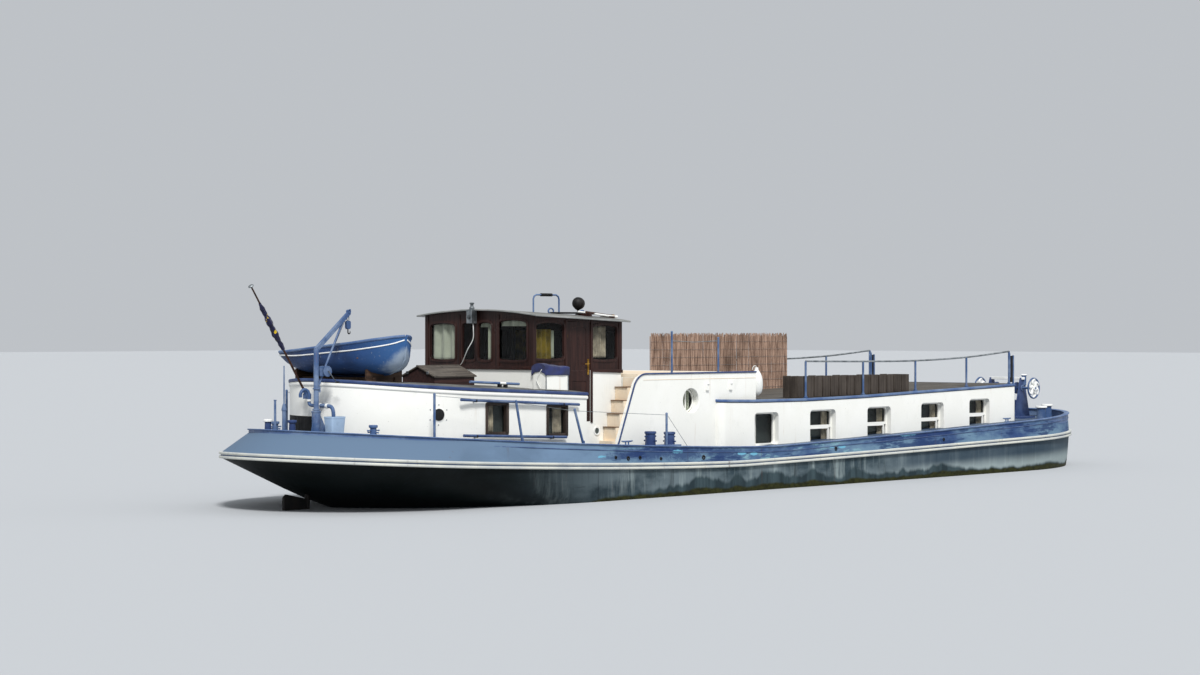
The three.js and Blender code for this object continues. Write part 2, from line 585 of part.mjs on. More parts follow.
// Long fore trunk with deep windows and a planked deck on top

const FORE_TOP = [[-1950, 1745], [-900, 1720], [700, 1715], [2700, 1745], [4600, 1800], [6500, 1850], [8450, 1905]];
const FORE_WINDOWS = [[-930, -170, 850, 1510], [860, 1720, 830, 1526], [2810, 3640, 830, 1545], [4740, 5580, 877, 1590],
  [6560, 7350, 945, 1640]];
const foreTopLine = (lift) => FORE_TOP.map(([x, z]) => [x, DRAUGHT + z + lift]);

function foreProfile(low, high) {
  const top = foreTopLine(high);
  const bottom = low === null ? [[FORE_TRUNK.end, 1500], [FORE_TRUNK.start, 1500]] : foreTopLine(low).reverse();
  return push([...top.slice().reverse(), ...bottom.slice().reverse()], 'y', -3000, 3000);
}

function forePlan(inward) {
  return rectangle(FORE_TRUNK.start + inward, FORE_TRUNK.end - inward,
    -FORE_TRUNK.half + inward, FORE_TRUNK.half - inward, Math.max(150 - inward, 20), 4);
}

function makeForeTrunk() {
  const shell = push(forePlan(0), 'z', 1500, 3200).subtract(push(forePlan(FORE_TRUNK.wall), 'z', 1400, 3300));
  const aftFace = box(FORE_TRUNK.start - 50, FORE_TRUNK.start + 400, -1600, 1600, 1400, 3300);
  const topped = shell.intersect(foreProfile(null, -SEAT_GAP)).subtract(aftFace);
  const passage = box(FORE_TRUNK.start - 100, MID_TRUNK.end + SEAT_GAP, -MID_TRUNK.half - SEAT_GAP, MID_TRUNK.half + SEAT_GAP, 1400, 3400);
  return cutAll(topped, windowCuts(FORE_WINDOWS, FORE_TRUNK.half, 90)).subtract(passage).subtract(hullRaised);
}

addNode('fore_trunk', makeForeTrunk(), WHITE);

function makeForeDeck() {
  const plate = push(forePlan(-18), 'z', 2000, 3600).intersect(foreProfile(0, FORE_TRUNK.roof));
  return plate.subtract(box(FORE_TRUNK.start - 100, MID_TRUNK.end + SEAT_GAP, -MID_TRUNK.half - SEAT_GAP,
    MID_TRUNK.half + SEAT_GAP, 1400, 3600));
}

addNode('fore_deck', makeForeDeck(), GREY_WOOD);

for (const [side, name] of [[-1, 'starboard'], [1, 'port']]) {
  const outer = FORE_TRUNK.half - FORE_TRUNK.wall - SEAT_GAP;
  const inner = outer - 30;
  const strip = push(rectangle(MID_TRUNK.end + 1, 7600, DRAUGHT + 790, DRAUGHT + 1680), 'y',
    side < 0 ? -outer : inner, side < 0 ? -inner : outer);
  addNode(`fore_window_${name}`, strip.subtract(hullRaised), GLASS);
}

// Rudder, propeller and engine

const RUDDER = { aft: -11450, thick: 60, low: 130, top_fore: 1120, top_aft: 1230 };

addNode('rudder', join(
  rod([STOCK_X, 0, HEEL_TOP + SEAT_GAP], [STOCK_X, 0, STOCK_TOP - SEAT_GAP], STOCK_RADIUS, 14),
  push([[STOCK_X + 30, RUDDER.low], [RUDDER.aft + 60, RUDDER.low], [RUDDER.aft, 300], [RUDDER.aft, RUDDER.top_aft - 60],
    [RUDDER.aft + 60, RUDDER.top_aft], [STOCK_X + 30, RUDDER.top_fore]], 'y', -RUDDER.thick / 2, RUDDER.thick / 2),
), IRON);

const PROPELLER = { radius: 370, hub: 75, blades: 4, blade_thick: 26, pitch: 38 };

function makePropeller() {
  const hub = rod([PROPELLER_X - 150, 0, 0], [BOSS_END - SEAT_GAP, 0, 0], PROPELLER.hub, 16);
  const outline = new THREE.Shape();
  outline.moveTo(-55, 30);
  outline.bezierCurveTo(-190, 150, -170, 330, 0, PROPELLER.radius);
  outline.bezierCurveTo(170, 330, 190, 150, 55, 30);
  const blade = new THREE.ExtrudeGeometry(outline, { depth: PROPELLER.blade_thick, bevelEnabled: false, curveSegments: 6 });
  blade.translate(0, 0, -PROPELLER.blade_thick / 2);
  blade.rotateY(THREE.MathUtils.degToRad(PROPELLER.pitch));
  blade.rotateX(Math.PI / 2);
  blade.rotateZ(Math.PI / 2);
  const blades = Array.from({ length: PROPELLER.blades }, (_, i) =>
    solid(blade).rotate((360 * i) / PROPELLER.blades, 0, 0).translate(PROPELLER_X, 0, 0));
  return join(hub, ...blades).translate(0, 0, SHAFT_Z);
}

addNode('propeller', makePropeller(), BRONZE);
addNode('engine_block', box(-5950, -4850, -380, 380, 420 + SEAT_GAP, 1420), IRON);

// What stands on the deck starts at the deck and keeps the seat gap to it
const onDeck = (body) => body.subtract(hullRaised);

// Davit crane on the starboard quarter
const DAVIT = { x: -11240, y: -640, socket: 78, post: 46, socket_high: 430, post_top: 3790, reach: 760, tip: 4440 };

function makeDavitSocket() {
  const foot = deckEdge(DAVIT.x);
  const tube = rod([DAVIT.x, DAVIT.y, foot - 60], [DAVIT.x, DAVIT.y, foot + DAVIT.socket_high], DAVIT.socket, 16);
  const gusset = push([[DAVIT.x + 40, foot - 60], [DAVIT.x + 260, foot - 60], [DAVIT.x + 260, foot + 30],
    [DAVIT.x + 60, foot + DAVIT.socket_high - 40]], 'y', DAVIT.y - 8, DAVIT.y + 8);
  const plate = box(DAVIT.x - 150, DAVIT.x + 280, DAVIT.y - 150, DAVIT.y + 150, foot - 60, foot + 26);
  const bore = rod([DAVIT.x, DAVIT.y, foot + 60], [DAVIT.x, DAVIT.y, foot + 600], DAVIT.post + 6, 16);
  return onDeck(join(tube, gusset, plate).subtract(bore));
}

const JIB_AFT = DAVIT.x - 30;
const JIB_FORE = DAVIT.x + DAVIT.reach + 20;
const jibUnder = (x) => THREE.MathUtils.mapLinear(x, JIB_AFT, JIB_FORE, DAVIT.post_top - 90, DAVIT.tip - 45);

function makeDavitCrane() {
  const foot = deckEdge(DAVIT.x);
  const post = rod([DAVIT.x, DAVIT.y, foot + 60 + SEAT_GAP], [DAVIT.x, DAVIT.y, DAVIT.post_top], DAVIT.post, 16);
  const collar = rod([DAVIT.x, DAVIT.y, foot + DAVIT.socket_high + CLEAR], [DAVIT.x, DAVIT.y, foot + DAVIT.socket_high + 35], 68, 16);
  const along = (share) => [DAVIT.x + DAVIT.reach * share, DAVIT.y, THREE.MathUtils.lerp(DAVIT.post_top, DAVIT.tip, share)];
  const jib = push([[JIB_AFT, jibUnder(JIB_AFT)], [JIB_FORE, jibUnder(JIB_FORE)],
    [JIB_FORE, DAVIT.tip + 45], [JIB_AFT, DAVIT.post_top + 10]], 'y', DAVIT.y - 30, DAVIT.y + 30);
  const strutFoot = [DAVIT.x + 20, DAVIT.y, DAVIT.post_top - 560];
  const strut = rod(strutFoot, along(0.72), 20, 10);
  const winch = box(DAVIT.x + 60, DAVIT.x + 230, DAVIT.y - 70, DAVIT.y + 70, DAVIT.post_top - 480, DAVIT.post_top - 330);
  const drum = rod([DAVIT.x + 150, DAVIT.y - 110, DAVIT.post_top - 405], [DAVIT.x + 150, DAVIT.y + 90, DAVIT.post_top - 405], 65, 14);
  return join(post, collar, jib, strut, winch, drum);
}

// Two-sheave block hanging under the jib's tip
function makeDavitTackle() {
  const x = DAVIT.x + DAVIT.reach - 30;
  const top = jibUnder(x - 14) - SEAT_GAP;
  const shackle = rod([x, DAVIT.y, top], [x, DAVIT.y, top - 90], 14, 8);
  const block = push(rectangle(x - 60, x + 60, top - 250, top - 70, 40, 3), 'y', DAVIT.y - 35, DAVIT.y + 35);
  const hook = rodPath([[x, DAVIT.y, top - 240], [x, DAVIT.y, top - 300], [x + 35, DAVIT.y, top - 325],
    [x + 45, DAVIT.y, top - 285]], 10, 8);
  return join(shackle, block, hook);
}

addNode('davit_socket', makeDavitSocket(), STEEL_BLUE);
addNode('davit_crane', makeDavitCrane(), STEEL_BLUE);
addNode('davit_tackle', makeDavitTackle(), STEEL_BLUE);

// Dinghy lying across the aft trunk, bow to starboard: stations of [y, half width, gunwale, keel]
const DINGHY = { x: -9880, skin: 24 };
const DINGHY_STATIONS = [[1400, 530, 3715, 3540], [1180, 585, 3722, 3425], [930, 630, 3738, 3345], [560, 680, 3765, 3303],
  [100, 708, 3805, 3300], [-300, 695, 3845, 3300], [-678, 640, 3880, 3305], [-1045, 480, 3935, 3340],
  [-1289, 280, 3975, 3430], [-1427, 110, 4000, 3580], [-1460, 30, 4005, 3700]];

function dinghyShell(inward, over) {
  const rings = DINGHY_STATIONS.map(([y, half, gunwale, keel], i) => {
    const width = Math.max(half - inward, 8);
    const bottom = Math.min(keel + inward * 1.3, gunwale - 20);
    const rail = gunwale + over;
    const at = (share, drop) => [width * share, THREE.MathUtils.lerp(gunwale, bottom, drop)];
    const starboardSide = [[width, rail], at(0.97, 0.35), at(0.86, 0.72), at(0.5, 0.93), [0, bottom]];
    const portSide = starboardSide.slice(0, -1).reverse().map(([x, z]) => [-x, z]);
    const yIn = y + (i === 0 ? -inward : 0) + (i === DINGHY_STATIONS.length - 1 ? inward : 0);
    return [...starboardSide, ...portSide].map(([x, z]) => [DINGHY.x - x, yIn, z]);
  });
  const count = rings[0].length;
  const faces = ringFaces(rings.length, count, false);
  const last = (rings.length - 1) * count;
  for (let i = 1; i < count - 1; i += 1) {
    faces.push([0, i + 1, i], [last, last + i, last + i + 1]);
  }
  return meshOf(rings.flat(), faces);
}

function makeDinghy() {
  const outer = dinghyShell(0, 0);
  const shell = outer.subtract(dinghyShell(DINGHY.skin, 300));
  const thwarts = [1250, 190, -720].map((y) => box(DINGHY.x - 760, DINGHY.x + 760, y - 110, y + 110, 3610, 3635));
  return join(shell, join(...thwarts).intersect(outer));
}

const dinghyBody = makeDinghy();

// Everything up to the roof's top and the seat gap over it
const aftRoofSolid = aftSlope(null, AFT_ROOF.thick + SEAT_GAP);

// Two shaped boards on a pair of runners, standing on the trunk's roof
function makeChocks() {
  const boards = [1020, -880].map((y) => box(DINGHY.x - 420, DINGHY.x + 420, y - 22, y + 22, 3050, 3420));
  const runners = [-260, 260].map((x) => box(DINGHY.x + x - 35, DINGHY.x + x + 35, -930, 1070, 3050, 3275));
  return join(...boards, ...runners).subtract(aftRoofSolid)
    .subtract(dinghyShell(0, 0).translate(0, 0, -SEAT_GAP));
}

addNode('dinghy', dinghyBody, BLUE);
addNode('dinghy_chocks', makeChocks(), BROWN_WOOD);

// Skylight hatch with a hinged pitched lid, and the locker under its canvas cover
const hatchMiddle = (HATCH.y0 + HATCH.y1) / 2;
const hatchSlope = (HATCH.ridge - HATCH.eave) / (HATCH.y1 - hatchMiddle);

addNode('hatch_box', push([[HATCH.y0, 2900], [HATCH.y1, 2900], [HATCH.y1, HATCH.eave], [hatchMiddle, HATCH.ridge],
  [HATCH.y0, HATCH.eave]], 'x', HATCH.x0, HATCH.x1).subtract(hatchway).subtract(aftRoofSolid), BROWN_WOOD);

function makeHatchLid() {
  const gap = 1.2 * SEAT_GAP;
  const edge = HATCH.eave - HATCH.over * hatchSlope + gap;
  const ridge = HATCH.ridge + gap;
  return push([[HATCH.y0 - HATCH.over, edge], [hatchMiddle, ridge], [HATCH.y1 + HATCH.over, edge],
    [HATCH.y1 + HATCH.over, edge + HATCH.lid], [hatchMiddle, ridge + HATCH.lid], [HATCH.y0 - HATCH.over, edge + HATCH.lid]],
  'x', HATCH.x0 - HATCH.over, HATCH.x1 + HATCH.over);
}

addNode('hatch_lid', makeHatchLid(), GREY_WOOD);

const LOCKER = { x0: -6720, x1: -6110, y0: -1810, y1: -1480, high: 3420 };
addNode('deck_locker', join(
  box(LOCKER.x0, LOCKER.x1, LOCKER.y0, LOCKER.y1, 2850, LOCKER.high),
  push([[LOCKER.x0 - 15, LOCKER.high - 60], [LOCKER.x1 + 15, LOCKER.high - 60], [LOCKER.x1 + 15, LOCKER.high + 60],
    [LOCKER.x0 + 250, LOCKER.high + 130], [LOCKER.x0 - 15, LOCKER.high + 40]], 'y', LOCKER.y0 - 12, LOCKER.y1 + 12),
).subtract(aftRoofSolid), WHITE);

// Flagstaff on the trunk's aft face, leaning over the stern, and the furled flag
const STAFF = { foot: [-10905, 0, 2950], tip: [-12180, 0, 4890], radius: 20 };
const staffAt = (share) => STAFF.foot.map((value, i) => THREE.MathUtils.lerp(value, STAFF.tip[i], share));

addNode('flagstaff', join(
  rod(STAFF.foot, STAFF.tip, STAFF.radius, 10),
  rod(staffAt(0.985), staffAt(1.0), 45, 12),
  box(-10960, AFT_TRUNK.aft_end - SEAT_GAP, -45, 45, 2905, 2990),
), BROWN_WOOD);
addNode('furled_flag', rod(staffAt(0.42), staffAt(0.84), 62, 10).subtract(rod(staffAt(0.3), staffAt(0.95), STAFF.radius + SEAT_GAP, 10)), CANVAS);

// Bollards: a post with a wider cap and cross pins on a plate
function bollard(x, y, radius, height, capRadius, pin) {
  const foot = deckEdge(x) - 60;
  const top = deckEdge(x) + height;
  const post = turned([[0, foot], [radius, foot], [radius * 0.9, top - 60], [capRadius, top - 22], [capRadius, top], [0, top]], x, y, 14);
  if (pin === 0) {
    return post;
  }
  return join(post, rod([x - pin, y, top - 95], [x + pin, y, top - 95], 11, 8));
}

const bollardPlate = (x0, x1, y0, y1) => box(x0, x1, y0, y1, deckEdge((x0 + x1) / 2) - 80, deckEdge((x0 + x1) / 2) + 34);

const STERN_BOLLARD = { x: -11520, y: 330 };
addNode('stern_bollards', onDeck(join(
  bollard(STERN_BOLLARD.x, STERN_BOLLARD.y, 62, 250, 78, 0),
  bollard(STERN_BOLLARD.x, -STERN_BOLLARD.y, 62, 250, 78, 0),
  bollardPlate(STERN_BOLLARD.x - 100, STERN_BOLLARD.x + 100, -430, 430),
)), STEEL_BLUE);

// Each pair: two places fore and aft, post radius, height over the deck, cap radius, half length of the cross pin
const MID_BOLLARDS = { aft: [-4220, 2160], fore: [-3670, 2160], radius: 105, height: 290, cap: 112, pin: 185, margin: 180 };
const BOW_BOLLARDS = { aft: [10400, 1400], fore: [11060, 1130], radius: 115, height: 370, cap: 135, pin: 0, margin: 180 };
const QUARTER_BOLLARD = { x: -10530, y: 1330, radius: 62, height: 230, cap: 78, pin: 150 };

function makeBollardPair(pair, side) {
  const [[x0, y0], [x1, y1]] = [pair.aft, pair.fore];
  const posts = [pair.aft, pair.fore].map(([x, y]) => bollard(x, side * y, pair.radius, pair.height, pair.cap, pair.pin));
  const plate = push([[x0 - pair.margin, side * y0 - 150], [x1 + pair.margin, side * y1 - 150],
    [x1 + pair.margin, side * y1 + 150], [x0 - pair.margin, side * y0 + 150]], 'z', 1700, deckEdge((x0 + x1) / 2) + 36);
  return onDeck(join(...posts, plate));
}

function makeQuarterBollard(side) {
  const { x, y, radius, height, cap, pin } = QUARTER_BOLLARD;
  const plate = bollardPlate(x - 140, x + 140, side * y - 110, side * y + 110);
  return onDeck(join(bollard(x, side * y, radius, height, cap, pin), plate));
}

for (const [side, name] of [[-1, 'starboard'], [1, 'port']]) {
  addNode(`quarter_bollard_${name}`, makeQuarterBollard(side), STEEL_BLUE);
  addNode(`mid_bollards_${name}`, makeBollardPair(MID_BOLLARDS, side), BLUE);
  addNode(`bow_bollards_${name}`, makeBollardPair(BOW_BOLLARDS, side), STEEL_BLUE);
}

// Anchor windlass on the foredeck
const WINDLASS = { x: 11050, bearing: 30.6, axle: DRAUGHT + 1790, frame: 430, wheel: 235, wheel_y: 760 };

function makeWindlassFrame() {
  const foot = deckEdge(WINDLASS.x) - 80;
  const cheek = [[WINDLASS.x - 330, foot], [WINDLASS.x + 330, foot], [WINDLASS.x + 130, WINDLASS.axle + 90],
    [WINDLASS.x + 70, WINDLASS.axle + 250], [WINDLASS.x - 70, WINDLASS.axle + 250], [WINDLASS.x - 130, WINDLASS.axle + 90]];
  const cheeks = [-1, 1].map((side) => push(cheek, 'y', side * WINDLASS.frame - 25, side * WINDLASS.frame + 25));
  const base = box(WINDLASS.x - 380, WINDLASS.x + 380, -560, 560, foot, deckEdge(WINDLASS.x) + 70);
  const beam = box(WINDLASS.x - 50, WINDLASS.x + 50, -WINDLASS.frame, WINDLASS.frame, WINDLASS.axle + 200, WINDLASS.axle + 260);
  const cap = rod([WINDLASS.x + 90, -WINDLASS.frame, WINDLASS.axle + 60], [WINDLASS.x + 90, -WINDLASS.frame, WINDLASS.axle + 330], 60, 12);
  const barrel = rod([WINDLASS.x, -WINDLASS.frame, deckEdge(WINDLASS.x) + 330], [WINDLASS.x, WINDLASS.frame, deckEdge(WINDLASS.x) + 330], 150, 18);
  const bore = rod([WINDLASS.x, -900, WINDLASS.axle], [WINDLASS.x, 900, WINDLASS.axle], WINDLASS.bearing, 24);
  return onDeck(join(...cheeks, base, beam, cap, barrel).subtract(bore));
}

function makeWindlassWheels() {
  const wheel = (y) => {
    const rim = new THREE.TorusGeometry(WINDLASS.wheel, 20, 5, 20);
    rim.rotateX(Math.PI / 2);
    rim.translate(WINDLASS.x, y, WINDLASS.axle);
    const spokes = Array.from({ length: 5 }, (_, i) => {
      const angle = (2 * Math.PI * i) / 5;
      return rod([WINDLASS.x, y, WINDLASS.axle],
        [WINDLASS.x + WINDLASS.wheel * Math.cos(angle), y, WINDLASS.axle + WINDLASS.wheel * Math.sin(angle)], 17, 5);
    });
    return join(solid(rim), ...spokes);
  };
  const axle = rod([WINDLASS.x, -WINDLASS.wheel_y - 60, WINDLASS.axle], [WINDLASS.x, WINDLASS.wheel_y + 60, WINDLASS.axle], 30, 14);
  const drum = rod([WINDLASS.x, -300, WINDLASS.axle], [WINDLASS.x, 300, WINDLASS.axle], 120, 16);
  const hubs = [-1, 1].map((side) => rod([WINDLASS.x, side * (WINDLASS.wheel_y - 60), WINDLASS.axle],
    [WINDLASS.x, side * (WINDLASS.wheel_y + 60), WINDLASS.axle], 55, 14));
  return join(axle, drum, ...hubs, wheel(-WINDLASS.wheel_y), wheel(WINDLASS.wheel_y));
}

addNode('windlass_frame', makeWindlassFrame(), BLUE);
addNode('windlass_wheels', makeWindlassWheels(), WHITE);

// Rails: stanchions with a top rail on the fore deck, and posts with a lifeline elsewhere
const FORE_POSTS = [[780, 2530], [2730, 2510], [4600, 2510], [6520, 2570], [8200, 2690]];
const foreDeckTop = (x) => {
  const after = Math.max(1, FORE_TOP.findIndex(([px]) => px > x));
  const [[x0, z0], [x1, z1]] = [FORE_TOP[after - 1], FORE_TOP[after]];
  return DRAUGHT + THREE.MathUtils.mapLinear(x, x0, x1, z0, z1) + FORE_TRUNK.roof;
};

function makeForeRail(side) {
  const y = side * 1965;
  const posts = FORE_POSTS.map(([x, top]) => rod([x, y, foreDeckTop(x) + 1], [x, y, DRAUGHT + top], 19, 6));
  const feet = FORE_POSTS.map(([x]) => box(x - 45, x + 45, y - 40, y + 40, foreDeckTop(x) - 20, foreDeckTop(x) + 12));
  const rail = rodPath(FORE_POSTS.map(([x, top]) => [x, y, DRAUGHT + top]), 20, 6);
  return join(...posts, ...feet, rail).subtract(foreProfile(null, FORE_TRUNK.roof + SEAT_GAP));
}

const SIDE_POSTS = [[-9700, 2000], [-7850, 2340], [-6280, 2360], [-3980, 2360]];
const SIDE_POST_HEIGHT = [800, 740, 650, 630];

function makeSideRail(side) {
  const tops = SIDE_POSTS.map(([x, y], i) => [x, side * y, deckEdge(x) + SIDE_POST_HEIGHT[i]]);
  const posts = tops.map(([x, y, z]) => rod([x, y, deckEdge(x) - 20], [x, y, z], 15, 6));
  const feet = tops.map(([x, y]) => box(x - 40, x + 40, y - 30, y + 30, deckEdge(x) - 60, deckEdge(x) + 26));
  return onDeck(join(...posts, ...feet, rodPath(tops, 6, 6)));
}

const RAISED_POSTS = [[-3080, 3130], [-1680, 3010]];

function makeRaisedRail(side) {
  const y = side * 1700;
  const roof = midTop - 5;
  const posts = RAISED_POSTS.map(([x, top]) => rod([x, y, roof + SEAT_GAP], [x, y, DRAUGHT + top], 19, 8));
  const feet = RAISED_POSTS.map(([x]) => box(x - 45, x + 45, y - 40, y + 40, roof + SEAT_GAP, roof + 14));
  const line = rod([RAISED_POSTS[0][0], y, DRAUGHT + 2960], [RAISED_POSTS[1][0], y, DRAUGHT + 2960], 6, 6);
  return join(...posts, ...feet, line);
}

for (const [side, name] of [[-1, 'starboard'], [1, 'port']]) {
  addNode(`fore_rail_${name}`, makeForeRail(side), BLUE);
  addNode(`side_rail_${name}`, makeSideRail(side), BLUE);
  addNode(`raised_rail_${name}`, makeRaisedRail(side), BLUE);
}

// Brushwood screen inside the port rail, and the boarded box along the starboard rail
const onForeDeck = (body) => body.subtract(foreProfile(null, FORE_TRUNK.roof + SEAT_GAP));
addNode('brushwood_screen', onForeDeck(box(300, 5000, 1880, 1925, 2500, DRAUGHT + 3170)), BRUSHWOOD);
addNode('boarded_box', onForeDeck(box(620, 4500, -1880, -1480, 2500, DRAUGHT + 2235)
  .subtract(box(650, 4470, -1850, -1510, DRAUGHT + 1960, DRAUGHT + 2400))), BROWN_WOOD);

// Searchlight on the wheelhouse roof, light-blue box on the quarter and the fender
const SEARCHLIGHT = { x: -4470, y: -500, radius: 120 };
addNode('searchlight', join(
  ball([SEARCHLIGHT.x, SEARCHLIGHT.y, DRAUGHT + 3690], SEARCHLIGHT.radius, 16),
  rod([SEARCHLIGHT.x, SEARCHLIGHT.y, DRAUGHT + 3300], [SEARCHLIGHT.x, SEARCHLIGHT.y, DRAUGHT + 3640], 28, 10),
  rod([SEARCHLIGHT.x, SEARCHLIGHT.y, DRAUGHT + 3300], [SEARCHLIGHT.x, SEARCHLIGHT.y, DRAUGHT + 3520], 60, 12),
).subtract(placeRoof(null, HOUSE_ROOF.thick, 400, 2 * SEAT_GAP)), IRON);
addNode('quarter_box', onDeck(box(-11220, -10900, -1040, -800, 2150, 2610)), PALE_BLUE);

const FENDER = { x: MID_TRUNK.end + 130 + SEAT_GAP, y: -1770, low: DRAUGHT + 1840, high: DRAUGHT + 2420 };
addNode('fender', turned([[0, FENDER.low], [70, FENDER.low + 20], [125, FENDER.low + 130], [130, FENDER.low + 270],
  [95, FENDER.low + 430], [45, FENDER.high - 60], [30, FENDER.high], [0, FENDER.high]], FENDER.x, FENDER.y, 16), FENDER_WHITE);

export default boat;
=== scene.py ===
"""River barge for sightseeing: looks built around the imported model, in metres, +X forward and +Z up."""
import json
import math

import bmesh
import bpy
import numpy as np
from mathutils import Matrix, Vector


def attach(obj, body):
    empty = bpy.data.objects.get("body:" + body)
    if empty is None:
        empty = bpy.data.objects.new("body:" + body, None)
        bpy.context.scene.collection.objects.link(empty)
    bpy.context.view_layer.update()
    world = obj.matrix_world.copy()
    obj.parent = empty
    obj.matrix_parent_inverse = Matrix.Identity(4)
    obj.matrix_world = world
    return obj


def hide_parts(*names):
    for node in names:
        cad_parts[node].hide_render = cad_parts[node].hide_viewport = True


bl_info = {
    "name": "River barge",
    "version": (1, 0, 0),
    "blender": (4, 5, 0),
    "location": "View3D > Sidebar > Barge",
    "description": "Builds a converted river barge piece by piece around its packed model",
    "category": "Add Mesh",
}

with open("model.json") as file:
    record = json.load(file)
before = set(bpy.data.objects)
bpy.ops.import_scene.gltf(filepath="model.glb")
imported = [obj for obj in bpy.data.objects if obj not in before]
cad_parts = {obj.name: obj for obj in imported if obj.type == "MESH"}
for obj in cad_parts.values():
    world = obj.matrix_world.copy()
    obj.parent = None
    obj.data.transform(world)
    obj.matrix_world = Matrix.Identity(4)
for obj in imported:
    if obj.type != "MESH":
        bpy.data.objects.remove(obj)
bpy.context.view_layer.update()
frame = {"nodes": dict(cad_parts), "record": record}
WATER = 0.95


def above(height):
    """A height over the water as a height in the model."""
    return WATER + height


# Ends of the hull, and its sheer and rubbing band as a low point with a rise towards each end
STERN_X, BOW_X = -12.2, 12.2
SHEER = dict(low_x=-0.9, low_z=0.865, aft_rise=0.6, aft_power=1.35, fore_rise=0.415, fore_power=1.2)
BAND = dict(low_x=-1.9, low_z=0.49, aft_rise=0.42, aft_power=1.5, fore_rise=0.243, fore_power=1.25)
BAND_HEIGHT, BAND_GROOVE = 0.122, 0.06
SIDES = ((-1, "starboard"), (1, "port"))
UP, PORTWARD, FORWARD = (0, 0, 1), (0, 1, 0), (1, 0, 0)


# Settings


def size_setting(name, description, default):
    """A length in the panel."""
    return bpy.props.FloatProperty(name=name, description=description, default=default, unit="LENGTH")


def count_setting(name, description, default, least=0):
    """A whole number in the panel."""
    return bpy.props.IntProperty(name=name, description=description, default=default, min=least)


def colour_setting(name, description, default):
    """A colour in the panel."""
    return bpy.props.FloatVectorProperty(name=name, description=description, default=default, subtype="COLOR_GAMMA")


class BargeSizes(bpy.types.PropertyGroup):
    """Sizes of the pieces that the panel can change."""

    stations: count_setting("Hull stations", "Points along each line of the hull", 130, 40)
    plank_width: size_setting("Plank width", "Width of one deck plank", 0.115)
    plank_gap: size_setting("Plank gap", "Gap between deck planks", 0.009)
    twig_count: count_setting("Twigs", "Upright twigs in the brushwood screen", 1150, 20)
    rail_radius: size_setting("Rail radius", "Radius of the deck rails", 0.023)
    seed: count_setting("Seed", "Seed of the brushwood's twigs", 7)


class BargeColours(bpy.types.PropertyGroup):
    """Colours of the main finishes, as the eye sees them."""

    hull: colour_setting("Lower hull", "Tarred hull paint aft", (0.02, 0.045, 0.045))
    blue: colour_setting("Blue", "Bulwark at the stern", (0.42, 0.51, 0.61))
    steel_blue: colour_setting("Steel blue", "Davit and bollards", (0.24, 0.34, 0.50))
    white: colour_setting("White", "Cabin trunks", (0.94, 0.935, 0.905))
    cream: colour_setting("Cream", "Rubbing band", (0.80, 0.80, 0.76))
    mahogany: colour_setting("Mahogany", "Wheelhouse and doors", (0.13, 0.075, 0.068))
    beige: colour_setting("Beige", "Raised deck", (0.88, 0.80, 0.69))


def panel_sizes():
    """The sizes in the panel."""
    return bpy.context.scene.barge_sizes


# Node materials


def linear(colour):
    """Linear colour with alpha from the colour as the eye sees it."""
    return tuple(c / 12.92 if c <= 0.04045 else ((c + 0.055) / 1.055) ** 2.4 for c in colour[:3]) + (1.0,)


